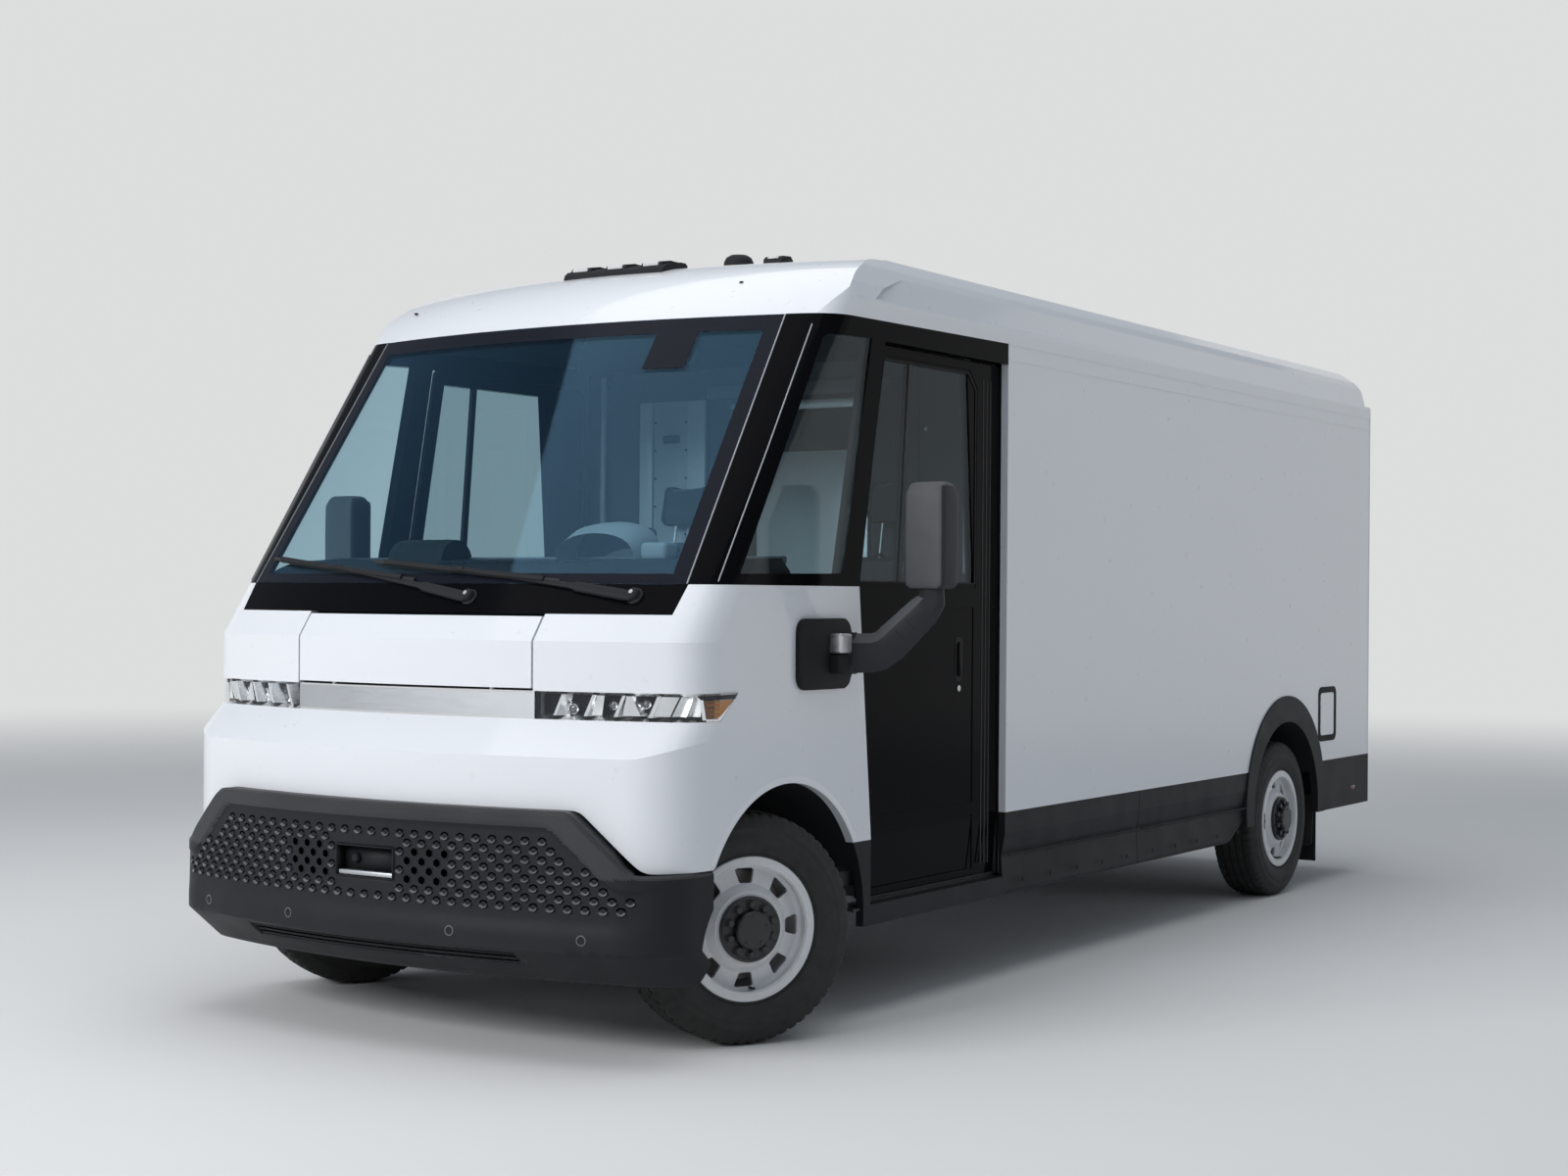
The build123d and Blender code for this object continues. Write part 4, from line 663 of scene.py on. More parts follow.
def front_bumper():
    """Textured bumper: smooth outer band, sunk panel, recess, air slot and sensors."""
    shape = Shape("front_bumper_skin")
    levels = [0.25, 0.262, 0.28, 0.295, 0.307, 0.322, 0.338, 0.353, 0.365, 0.38]
    levels += spread(0.395, 0.5405, 11)[:-1] + [0.5405, 0.5555]
    levels += spread(0.5555, 0.6565, 9)[1:] + spread(0.6565, 0.79, 15)[1:] + [0.797, 0.802]
    middles = [round(0.0125 * k, 4) for k in range(-47, 48)]
    reaches = {level: arch_travel(min(level, 0.612)) for level in levels}
    wing = spread(0.6, 1.0, 66)
    us = [-w for w in reversed(wing)] + middles + wing

    def place(u, level):
        if abs(u) < 0.599:
            travel = u
        else:
            travel = math.copysign(
                STRAIGHT + (abs(u) - STRAIGHT) / (1 - STRAIGHT) * (reaches[level] - STRAIGHT), u,
            )
        top = bumper_top(travel)
        z = BUMPER_FOOT + (level - BUMPER_FOOT) * (top - BUMPER_FOOT) / (BUMPER_TOP - BUMPER_FOOT)
        rounding = 0.012 * smooth_step(top - 0.014, top, z) ** 2
        return bumper_place(travel, z, panel_depth(travel, z) + rounding)[0]

    def open_cell(i, j):
        middle = (us[i] + us[i + 1]) / 2
        low, high = levels[j], levels[j + 1]
        in_recess = abs(middle) < 0.125 and low >= RECESS_Z[0] - 1e-6 and high <= RECESS_Z[1] + 1e-6
        in_slot = abs(middle) < STRAIGHT and low >= SLOT_Z[0] - 1e-6 and high <= SLOT_Z[1] + 1e-6
        return in_recess or in_slot

    def band_material(face):
        """The smooth band over the sunk panel is paler above 0.60 m."""
        middle = face.calc_center_median()
        return BAND_PALE if middle.z > 0.60 and panel_depth(1.02 * middle.x, middle.z) < 0.004 else CHARCOAL

    shape.grid(place, us, levels, band_material, open_cell)
    # the upper ledge, back to the nose panels
    shape.grid(
        lambda u, v: bumper_place(u, bumper_top(u) + 0.02 * v, 0.0118 + v)[0],
        [w for w in us if abs(w) < 1.42], [0.0, 0.02, 0.06, 0.11], BAND_PALE,
    )
    # the recess: four walls, back and pale lower lip
    front, back = FRONT_AXLE + BUMPER_NOSE + 0.010, FRONT_AXLE + BUMPER_NOSE + 0.05
    half, low, high = 0.125, RECESS_Z[0], RECESS_Z[1]
    shape.grid(lambda u, v: (u, back, v), [-half, half], [low, high], CHARCOAL)
    for x in (-half, half):
        shape.grid(lambda u, v: (x, u, v), [front - 0.003, back], [low, high], CHARCOAL)
    for z in (low, high):
        shape.grid(lambda u, v: (u, v, z), spread(-half, half, 9), [front - 0.004 + 0.002, back], CHARCOAL)
    shape.block((0.0, front + 0.012, low + 0.010), (0.236, 0.022, 0.016), BAR_GREY, 0.004)
    shape.lathe(
        [(0.0, 0.016), (0.012, 0.015), (0.016, 0.010), (0.017, 0.0)], DARK_PLASTIC,
        upright((-0.07, back, 0.61)) @ Matrix.Scale(1.0, 4), 18,
    )
    # the air slot: dark back and three slats
    for k, z in enumerate((0.314, 0.330, 0.346)):
        points = [bumper_place(t, z, 0.020)[0] for t in spread(-0.585, 0.585, 33)]
        shape.sweep(
            points, [(-0.012, -0.002), (0.012, -0.003), (0.012, 0.003), (-0.012, 0.002)],
            DARK_PLASTIC,
        )
    shape.grid(lambda u, v: bumper_place(u, v, 0.048)[0], spread(-0.59, 0.59, 33), [0.300, 0.360], SEAL)
    for end in (-STRAIGHT, STRAIGHT):
        shape.grid(lambda u, v: bumper_place(end, v, u)[0], [0.0, 0.05], [0.307, 0.33, 0.353], CHARCOAL)
    # parking sensors
    for travel, z in ((0.356, 0.409), (0.83, 0.407)):
        for side in (1, -1):
            point, normal = bumper_place(side * travel, z, 0.0)
            turn = facing(point, normal)
            shape.lathe(
                [(0.0, 0.0), (0.010, 0.0005), (0.0115, -0.002), (0.0135, -0.002)],
                SEAL_PLASTIC, turn @ Matrix.Translation((0, 0, -0.0004)), 24,
            )
            shape.lathe(
                [(0.0125, -0.003), (0.0135, 0.0008), (0.0165, 0.0006), (0.018, -0.003)],
                LIP_WEAR_AND_HIGHLIGHT, turn @ Matrix.Translation((0, 0, -0.0002)), 24,
            )
    piece = shape.finish(replaces=("front_bumper",), crease=38)
    rim = piece.modifiers.new("thickness", "SOLIDIFY")
    rim.thickness = 0.004
    rim.offset = -1.0
    return piece


def bumper_studs():
    """The staggered scoops in the bumper's panel, each drawn as a raised lower crescent whose inner slope carries a
    painted highlight, under a flat black sheet of painted shadow; and the open holes beside the recess, each closed
    by a black face of painted shade.
    """
    shape = Shape("front_bumper_studs")
    part = bmesh.new()
    dark = bmesh.new()
    highlight_slopes = bmesh.new()
    for row in range(10):
        z = 0.737 - 0.0295 * row
        for column in range(-19, 20):
            travel = 0.06 * column + (0.03 if row % 2 else 0.0)
            gone = abs(travel)
            if panel_depth(travel, z - 0.012) < 0.0095 or panel_depth(travel, z + 0.018) < 0.0095:
                continue
            if gone < 0.15 and 0.53 < z < 0.678:
                continue
            point, normal = bumper_place(travel, z, 0.010)
            across = Vector((0, 0, 1)).cross(normal).normalized()
            hole = 0.15 < gone < 0.34 and 0.545 < z < 0.675
            if hole:
                ring = []
                for radius, height in ((0.0185, 0.0), (0.0165, 0.0022), (0.0140, 0.0012)):
                    ring.append(
                        [
                            part.verts.new(
                                point + across * radius * math.cos(math.radians(60 * k + 30))
                                + Vector(
                                    (0, 0, radius * math.sin(math.radians(60 * k + 30)))
                                ) + normal * height
                            )
                            for k in range(6)
                        ]
                    )
                for one, two in zip(ring, ring[1:]):
                    bridge(part, one, two)
                # The black face inside the ring is painted shade standing for the hole's depth.
                dark.faces.new([dark.verts.new(v.co) for v in ring[-1]])
                continue
            def arc(target, share, height, start, end):
                """A row of points round the scoop's rim."""
                return [
                    target.verts.new(
                        point + across * (0.0158 * share * math.cos(a))
                        + Vector((0, 0, 0.0128 * share * math.sin(a))) + normal * height
                    )
                    for a in (math.radians(start + (end - start) * k / 7) for k in range(8))
                ]

            # Each scoop: a raised lower crescent whose inner slope carries a painted highlight, and a flat black
            # sheet over its top as painted shadow.
            crest = [arc(part, share, height, 190, 350) for share, height in ((1.14, -0.0006), (1.0, 0.0068))]
            slope = [arc(highlight_slopes, share, height, 194, 346) for share, height in ((0.99, 0.0066), (0.58, 0.0004))]
            shade = [arc(dark, share, height, 12, 168) for share, height in ((1.04, 0.0006), (0.66, 0.0010))]
            for target, (one, two) in ((part, crest), (highlight_slopes, slope), (dark, shade)):
                bridge(target, one, two, closed=False)
    shape.merge(part, CHARCOAL)
    shape.merge(dark, SHADE_BLACK)
    shape.merge(highlight_slopes, LIP_WEAR_AND_HIGHLIGHT)
    shape.finish(crease=50)


front_bumper()
bumper_studs()


# ---------------------------------------------------------------- lamps at the front
LAMP_NOSE, LAMP_HALF, LAMP_CORNER = -0.674, 1.083, 0.15
LAMP_Z = (1.079, 1.169)
LAMP_SHUT = travel_to(LAMP_NOSE, LAMP_HALF, LAMP_CORNER, -0.400)
LAMP_BULGE = 0.0068  # the lamp's end stands this much proud where it laps over the fender


def lamp_place(travel, z, inset):
    """A point of the lamp band at a depth behind its face."""
    inset -= LAMP_BULGE * smooth_step(LAMP_SHUT - 0.035, LAMP_SHUT + 0.004, abs(travel))
    x, y = plan_place(LAMP_NOSE, LAMP_HALF, LAMP_CORNER, travel, inset)[0]
    return Vector((x, y, z))


def headlights():
    """Bright struts and wedges between dark bowls, a silver floor and an amber end with a black brow."""
    low, high = LAMP_Z
    start = 0.529
    tip = travel_to(LAMP_NOSE, LAMP_HALF, LAMP_CORNER, -0.302)
    foot = travel_to(LAMP_NOSE, LAMP_HALF, LAMP_CORNER, -0.400)
    shape = Shape("headlight_housings")

    def patch(corners, material, columns=7, rows=4):
        """A sheet between four corners given as (travel, z, depth)."""
        a, b, c, d = (Vector(corner) for corner in corners)

        def place(s, t):
            point = (a * (1 - s) + b * s) * (1 - t) + (d * (1 - s) + c * s) * t
            return lamp_place(*point)

        shape.grid(place, spread(0, 1, columns), spread(0, 1, rows), material)

    floor, roof, back = low + 0.016, high - 0.011, 0.052
    patch(
        [(start, low, 0.010), (foot, low, 0.010), (foot, floor, back), (start, floor, back)], LAMP_SILVER, 50,
        3,
    )
    patch(
        [(start, high, 0.010), (tip, high, 0.006), (tip, roof, 0.012), (start, roof, back)], LAMP_SILVER, 50,
        3,
    )
    patch([(start, floor, back), (1.03, floor, back), (1.03, roof, back), (start, roof, back)], FRIT, 40, 3)
    patch([(start, low, 0.008), (start, high, 0.008), (start, high, back), (start, low, back)], SEAL, 3, 3)
    lean = 0.030  # of each strut, from foot to head
    foot_z, head_z = floor - 0.004, roof + 0.002
    for left, width, depth in (
        (0.586, 0.010, 0.014), (0.697, 0.012, 0.012), (0.802, 0.012, 0.012), (0.922, 0.014, 0.010),
    ):
        patch(
            [
                (left, foot_z, depth), (left + width, foot_z, depth), (left + width + lean, head_z, depth),
                (left + lean, head_z, depth),
            ],
            LAMP_CLEAR, 3, 5,
        )
        patch(
            [
                (left - 0.022, foot_z, back), (left, foot_z, depth), (left + lean, head_z, depth),
                (left + lean - 0.010, head_z, back),
            ],
            LAMP_SILVER, 4, 5,
        )
        patch(
            [
                (left + width, foot_z, depth), (left + width + 0.030, foot_z, back),
                (left + width + lean + 0.012, head_z, back), (left + width + lean, head_z, depth),
            ],
            LAMP_SILVER, 4, 5,
        )
    patch(
        [(0.722, floor, 0.018), (0.757, floor, 0.022), (0.762, roof, 0.030), (0.742, roof, 0.018)],
        LAMP_SILVER, 4, 4,
    )
    patch(
        [(0.832, floor, 0.014), (0.893, floor, 0.018), (0.862, roof, 0.014), (0.846, roof, 0.012)],
        LAMP_CLEAR, 5, 5,
    )
    patch(
        [(0.893, floor, 0.018), (0.906, floor, 0.050), (0.880, roof, 0.050), (0.862, roof, 0.014)],
        LAMP_SILVER, 3, 4,
    )
    patch(
        [(0.936, floor, 0.012), (0.992, floor, 0.020), (1.028, roof, 0.014), (0.966, roof, 0.010)],
        LAMP_CLEAR, 8, 5,
    )
    patch(
        [(0.992, floor, 0.020), (0.999, floor, 0.034), (1.034, roof, 0.030), (1.028, roof, 0.014)], FRIT, 3,
        5,
    )
    for k in range(4):
        left = 0.999 + 0.026 * k
        one, two = (0.034, 0.016) if k % 2 else (0.018, 0.036)
        slant = 0.035 * (1 - k / 4)
        patch(
            [
                (left, floor, one), (left + 0.026, floor, two), (left + 0.026 + slant, roof, two),
                (left + slant, roof, one),
            ],
            LAMP_SILVER, 3, 4,
        )
    for middle, level, size in ((0.648, 1.112, 0.017), (0.790, 1.126, 0.014), (0.905, 1.133, 0.015)):
        normal = Vector(plan_place(LAMP_NOSE, LAMP_HALF, LAMP_CORNER, middle)[1] + (0.0,))
        turn = facing(lamp_place(middle, level, 0.040), normal)
        shape.lathe(
            [(size, -0.008), (size, 0.004), (0.85 * size, 0.007), (0.80 * size, 0.0)], LAMP_SILVER, turn, 24,
        )
        shape.lathe([(0.80 * size, 0.0), (0.55 * size, 0.007), (0.0, 0.010)], CLEAR_LENS, turn, 24)
    amber_low, amber_high = low + 0.010, high - 0.022
    amber_start, amber_end = 1.118, foot - 0.010
    patch(
        [
            (amber_start, amber_low, 0.006), (amber_end, amber_low, 0.0025),
            (tip - 0.022, amber_high, 0.0025), (amber_start - 0.012, amber_high, 0.006),
        ],
        AMBER_LENS, 16, 7,
    )
    for share in (0.25, 0.5, 0.75):
        level = amber_low + (amber_high - amber_low) * share
        points = [
            lamp_place(t, level, 0.0042 - 0.0022 * k / 6)
            for k, t in enumerate(spread(amber_start, amber_end + 0.006, 7))
        ]
        shape.tube(points, 0.0016, AMBER_LENS, 6)
    patch(
        [
            (amber_start - 0.010, amber_low - 0.004, 0.010), (amber_start, amber_low - 0.004, 0.004),
            (amber_start - 0.012, amber_high + 0.004, 0.004),
            (amber_start - 0.022, amber_high + 0.004, 0.010),
        ],
        CHROME, 3, 4,
    )
    patch(
        [
            (amber_start - 0.020, amber_high + 0.002, 0.004), (tip - 0.016, amber_high + 0.002, 0.002),
            (tip - 0.003, high - 0.005, 0.0018), (amber_start - 0.034, high - 0.007, 0.004),
        ],
        FRIT, 16, 3,
    )
    patch(
        [
            (amber_start, low + 0.001, 0.0035), (foot - 0.002, low + 0.001, 0.0022),
            (amber_end - 0.001, amber_low - 0.001, 0.0022), (amber_start, amber_low - 0.001, 0.0035),
        ],
        LAMP_SILVER, 12, 3,
    )
    patch(
        [
            (amber_end, amber_low, 0.0022), (foot - 0.002, low + 0.001, 0.002),
            (tip - 0.004, high - 0.004, 0.0018), (tip - 0.020, amber_high, 0.0022),
        ],
        LAMP_SILVER, 4, 10,
    )
    # gasket round the end that laps over the fender
    edge = [
        (foot - 0.034, low + 0.0008), (foot - 0.001, low + 0.0008), (tip - 0.001, high - 0.0008),
        (foot - 0.034, high - 0.0008),
    ]
    for (a, za), (b, zb) in zip(edge, edge[1:]):
        patch([(a, za, 0.0012), (b, zb, 0.0012), (b, zb, 0.0150), (a, za, 0.0150)], SEAL, 12, 3)
    shape.mirror()
    shape.finish(replaces=("headlights",), crease=30)

    cover = Shape("headlight_covers")

    def cover_place(u, v):
        share = (v - low) / (high - low)
        reach = foot - 0.004 + (tip - foot) * share
        return lamp_place(
            start + (reach - start) * u, v, 0.0 if u < 0.8 else -0.0012 * smooth_step(0.8, 0.9, u),
        )

    levels = [low + 0.0005, low + 0.004, low + 0.045, high - 0.004, high - 0.0005]
    cover.grid(cover_place, spread(0.0, 1.0, 70), levels, COVER)
    cover.mirror()
    cover.finish()


def light_bar_trim():
    """Slim dark ends and a fine bright line over and under the bare silver bar."""
    shape = Shape("light_bar_trim")
    low, high = LAMP_Z
    for z in (low + 0.003, high - 0.003):
        points = [lamp_place(t, z, 0.0005) for t in spread(-0.515, 0.515, 41)]
        shape.sweep(
            points, rectangle(0.0015, 0.0022),
            CHROME,
        )
    for side in (1, -1):
        points = [lamp_place(side * 0.5245, z, 0.004) for z in (low + 0.001, high - 0.001)]
        shape.tube(points, 0.0035, SEAL, 8)
    shape.finish()


# ---------------------------------------------------------------- wheels
def wheel_matrix(side, y, steer):
    """Local Z runs out of the wheel's outer face; front wheels stand turned about their kingpins."""
    wheel = turned((side * WHEEL_X, y, WHEEL_Z), side * math.pi / 2, "Y")
    if steer:
        pivot = Matrix.Translation((side * KINGPIN_X, y, 0.0))
        wheel = pivot @ Matrix.Rotation(REST_STEER, 4, "Z") @ pivot.inverted() @ wheel
    return wheel


def wheel_name(side, steer):
    """Where a wheel is, such as front_left."""
    return ("front" if steer else "rear") + ("_left" if side > 0 else "_right")


def tyre_profile():
    """Half tyre section from the outer bead over the tread to the inner bead: (radius, height, kind)."""
    outer = [
        (0.2165, 0.094, 0), (0.221, 0.0985, 0), (0.236, 0.0985, 0), (0.241, 0.1015, 0), (0.247, 0.1015, 0),
        (0.252, 0.1075, 0), (0.262, 0.1105, 0), (0.276, 0.1135, 0), (0.280, 0.1155, 0), (0.294, 0.1163, 0),
        (0.306, 0.1163, 0), (0.310, 0.1145, 0), (0.328, 0.1120, 0), (0.332, 0.1130, 0), (0.343, 0.1085, 0),
        (0.352, 0.1050, 1), (0.364, 0.1010, 1), (0.3745, 0.0945, 1), (0.3805, 0.086, 1), (0.3825, 0.078, 1),
        (0.3832, 0.060, 1), (0.3745, 0.0575, 0), (0.3745, 0.0505, 0), (0.3845, 0.048, 2), (0.385, 0.024, 2),
        (0.3755, 0.022, 0), (0.3755, 0.016, 0), (0.385, 0.0135, 3),
    ]
    return outer + [(r, -z, kind) for r, z, kind in reversed(outer)]


def tyre(side, y, steer):
    """A road tyre with shoulder blocks, three ribs and ringed sidewalls."""
    name = wheel_name(side, steer)
    shape = Shape(f"tyre_{name}_detail")
    profile = tyre_profile()

    def ripple(row, k):
        kind = profile[row][2]
        if kind == 1:
            return -0.006 if k % 4 == 0 else 0.0
        if kind == 2:
            return -0.0045 if (k + 2) % 6 == 0 else 0.0
        return 0.0

    shape.lathe([(r, z) for r, z, kind in profile], TYRE, wheel_matrix(side, y, steer), 240, ripple)
    shape.finish(f"wheel_{name}", (f"tyre_{name}",), crease=24)


def wheel_trim(side, y, steer):
    """Black hub with ten nuts and a cap, rolled rim edge, valve and balance weight."""
    name = wheel_name(side, steer)
    at = wheel_matrix(side, y, steer)
    shape = Shape(f"hub_{name}")
    shape.lathe(
        [(0.1085, 0.098), (0.1085, 0.1135), (0.1045, 0.1165), (0.0985, 0.1165), (0.0965, 0.1150), (0.066, 0.1150),
         (0.064, 0.118), (0.0630, 0.139), (0.058, 0.1435), (0.030, 0.1445), (0.0, 0.1447)],
        HUB, at, 60,
    )
    for k in range(10):
        angle = 2 * math.pi * k / 10
        nut = at @ Matrix.Translation((0.0815 * math.cos(angle), 0.0815 * math.sin(angle), 0.1145))
        shape.lathe(
            [
                (0.0165, 0.0), (0.0165, 0.0035), (0.0142, 0.0045), (0.0142, 0.0150), (0.0105, 0.0175),
                (0.0, 0.0180),
            ],
            HUB, nut, 6,
        )
    for k in range(5):
        angle = 2 * math.pi * (k + 0.5) / 5
        bolt = at @ Matrix.Translation((0.047 * math.cos(angle), 0.047 * math.sin(angle), 0.1438))
        shape.lathe([(0.006, 0.0), (0.006, 0.002), (0.0, 0.0028)], HUB, bolt, 6)
    shape.lathe(
        [
            (0.206, 0.1035), (0.2165, 0.1085), (0.226, 0.1095), (0.2365, 0.1080), (0.2392, 0.1045),
            (0.2380, 0.1005),
        ],
        WHEEL, at, 96,
    )
    valve = [at @ Vector(p) for p in ((0.199, 0.02, 0.066), (0.200, 0.02, 0.086), (0.196, 0.02, 0.104))]
    shape.tube(valve, 0.0042, SEAL, 8)
    weight = [
        at @ Vector((0.2225 * math.cos(a), 0.2225 * math.sin(a), 0.1100)) for a in spread(-1.75, -1.42, 8)
    ]
    shape.sweep(
        weight, rectangle(0.006, 0.006), ALUMINIUM,
    )
    shape.finish(f"wheel_{name}", crease=30)
    brake = Shape(f"brake_{name}")
    brake.lathe([(0.070, 0.0), (0.182, 0.0), (0.182, -0.012), (0.070, -0.012)], IRON, at, 72)
    brake.lathe([(0.070, -0.020), (0.182, -0.020), (0.182, -0.032), (0.070, -0.032)], IRON, at, 72)
    brake.lathe([(0.078, -0.034), (0.078, 0.05), (0.070, 0.055), (0.060, 0.055)], IRON, at, 40)
    brake.finish(f"wheel_{name}")


for wheel_side in (1, -1):
    for wheel_y, steered in ((FRONT_AXLE, True), (REAR_AXLE, False)):
        tyre(wheel_side, wheel_y, steered)
        wheel_trim(wheel_side, wheel_y, steered)


# ---------------------------------------------------------------- mirrors
def superellipse(width, height, count=20, power=3.2):
    """A rounded rectangular ring of offsets."""
    ring = []
    for k in range(count):
        angle = 2 * math.pi * k / count
        c, s = math.cos(angle), math.sin(angle)
        ring.append(
            (
                math.copysign(abs(c) ** (2 / power), c) * width / 2,
                math.copysign(abs(s) ** (2 / power), s) * height / 2,
            )
        )
    return ring


def mirrors():
    """Dotted base plate, folding arm with its knuckle, and a tall rounded head with its glass."""
    shape = Shape("mirror_housings")
    base_y, base_z = FRONT_AXLE + 0.205, 1.284
    at = upright((HALF_WIDTH - 0.004, base_y, base_z), (0, 1, 0))
    shape.prism(rounded_outline(0.330, 0.240, 0.046), 0.022, SEAL_PLASTIC, at, 0.006, 3)
    dots = bmesh.new()
    for row in range(12):
        for column in range(9):
            u = -0.138 + 0.0165 * column + (0.008 if row % 2 else 0.0)
            v = -0.088 + 0.016 * row
            peak = dots.verts.new((u, v, 0.0215))
            ring = [
                dots.verts.new((u + 0.0045 * math.cos(a), v + 0.0045 * math.sin(a), 0.0178))
                for a in (math.radians(60 * k) for k in range(6))
            ]
            for k in range(6):
                dots.faces.new((ring[k], ring[(k + 1) % 6], peak))
    shape.merge(dots, SEAL_PLASTIC, at)
    direction = Vector((0.26, 0.122, 0.0)).normalized()
    root = Vector((1.10, FRONT_AXLE + 0.343, 0.0))
    shape.block((1.124, FRONT_AXLE + 0.262, 1.3195), (0.052, 0.076, 0.068), ALUMINIUM, 0.010, 3)
    shape.block((1.122, FRONT_AXLE + 0.262, 1.250), (0.048, 0.074, 0.066), SEAL_PLASTIC, 0.010, 3)
    shape.tube(
        [root + Vector((0.004, -0.004, z)) for z in (1.214, 1.230, 1.340, 1.356)], 0.034, MIRROR_PLASTIC, 20,
    )
    spine = [(-0.004, 1.284, 0.136), (0.086, 1.286, 0.134), (0.118, 1.294, 0.134), (0.150, 1.318, 0.128),
             (0.262, 1.430, 0.112), (0.288, 1.466, 0.098), (0.290, 1.490, 0.084), (0.290, 1.512, 0.080)]
    turns = [0, 2, 14, 38, 45, 70, 90, 90]
    arm = bmesh.new()
    octagon = [
        (-0.5, -0.22), (-0.26, -0.5), (0.26, -0.5), (0.5, -0.22), (0.5, 0.22), (0.26, 0.5), (-0.26, 0.5),
        (-0.5, 0.22),
    ]
    previous = None
    across = Vector((-direction.y, direction.x, 0.0))
    for (reach, z, height), turn in zip(spine, turns):
        angle = math.radians(turn)
        up = Vector((0, 0, 1)) * math.cos(angle) - direction * math.sin(angle)
        middle = root + direction * reach + Vector((0, 0, z))
        ring = [arm.verts.new(middle + across * 0.074 * b + up * height * a) for a, b in octagon]
        if previous:
            bridge(arm, previous, ring)
        else:
            arm.faces.new(ring[::-1])
        previous = ring
    arm.faces.new(previous)
    bmesh.ops.recalc_face_normals(arm, faces=arm.faces)
    # The arm's upward faces take the paler plastic as a painted top light.
    shape.merge(arm, lambda face: MIRROR_WEAR_AND_TOP_LIGHT if face.normal.z > 0.30 else MIRROR_PLASTIC)
    for cut in (0.30, 0.62):
        seam = root + direction * (0.150 + 0.112 * cut) + Vector((0, 0, 1.318 + 0.112 * cut))
        slope = (direction + Vector((0, 0, 1))).normalized()
        shape.prism(
            [(0.41 * 0.118 * a * 2, 0.0745 * b) for a, b in octagon], 0.002, SEAL_PLASTIC,
            placed(seam, slope.cross(across), across), 0.0004, 1,
        )
    part = bmesh.new()
    levels = [
        (1.506, 0.118, 0.080), (1.509, 0.140, 0.100), (1.518, 0.152, 0.113), (1.534, 0.157, 0.119),
        (1.60, 0.159, 0.121), (1.72, 0.160, 0.122), (1.822, 0.158, 0.120), (1.836, 0.155, 0.117),
        (1.858, 0.142, 0.094), (1.868, 0.130, 0.080), (1.872, 0.110, 0.062),
    ]
    rings = []
    for z, width, depth in levels:
        outline = rounded_outline(width, depth, 0.022, 5)
        rings.append([part.verts.new((1.360 + a, FRONT_AXLE + 0.465 + b, z)) for a, b in outline])
    for one, two in zip(rings, rings[1:]):
        bridge(part, one, two)
    part.faces.new(rings[0][::-1])
    part.faces.new(rings[-1])
    part.normal_update()
    bmesh.ops.recalc_face_normals(part, faces=part.faces)
    # The head's front face is paler with scuff wear; its top is paler as a painted top light.
    shape.merge(
        part,
        lambda face: MIRROR_WEAR_AND_TOP_LIGHT if face.normal.y < -0.75 or face.calc_center_median().z > 1.856 else MIRROR_PLASTIC,
    )
    back = FRONT_AXLE + 0.465 + 0.0600
    glass_at = upright((1.360, back, 1.6865), (-1, 0, 0))
    shape.prism(rounded_outline(0.132, 0.338, 0.020), 0.003, SEAL, glass_at, 0.001, 1)
    glass_at = upright((1.360, back + 0.0028, 1.735), (-1, 0, 0))
    shape.prism(rounded_outline(0.122, 0.232, 0.016), 0.0012, MIRROR, glass_at)
    glass_at = upright((1.360, back + 0.0028, 1.568), (-1, 0, 0))
    shape.prism(rounded_outline(0.122, 0.086, 0.016), 0.0012, MIRROR, glass_at)
    shape.mirror()
    shape.finish(replaces=("mirrors",), crease=40)


mirrors()
headlights()
light_bar_trim()


# ---------------------------------------------------------------- windshield border and wipers
def screen_half(z):
    """Half width of the windshield at a height."""
    return 0.965 + (0.919 - 0.965) * (z - 1.514) / (2.446 - 1.514)


def windshield_border():
    """Black printed border of the glass, and the bright seal lines on both sides of each pillar."""
    shape = Shape("windshield_border")
    inset = -0.0006
    for side in (1, -1):
        shape.grid(
            lambda u, v: glass_place(side * (screen_half(v) - u), v, inset),
            [0.0, 0.02, 0.04, 0.058], spread(1.516, 2.444, 24), FRIT,
        )
    for low, high in ((1.516, 1.548), (2.392, 2.444)):
        shape.grid(
            lambda u, v: glass_place(u * (screen_half(v) - 0.056), v, inset), spread(-1, 1, 40), [low, high],
            FRIT,
        )
    for side in (1, -1):
        points = [glass_place(side * (screen_half(z) - 0.001), z, -0.0005) for z in spread(1.516, 2.446, 20)]
        shape.tube(points, 0.0028, CHROME_DULL, 6)
        seam = [(1.0475, -0.3592, 1.5240), (1.0372, -0.0650, 1.9650), (1.0215, 0.2290, 2.4080)]
        shape.tube([(side * x, FRONT_AXLE + y, z) for x, y, z in seam], 0.0026, CHROME_DULL, 6)
    shape.grid(lambda u, v: glass_place(u, v, inset), spread(0.47, 0.63, 5), [2.26, 2.40], FRIT)
    shape.block(tuple(glass_place(0.55, 2.325, 0.05)), (0.11, 0.05, 0.09), DARK_PLASTIC, 0.012, 3)
    shape.finish()


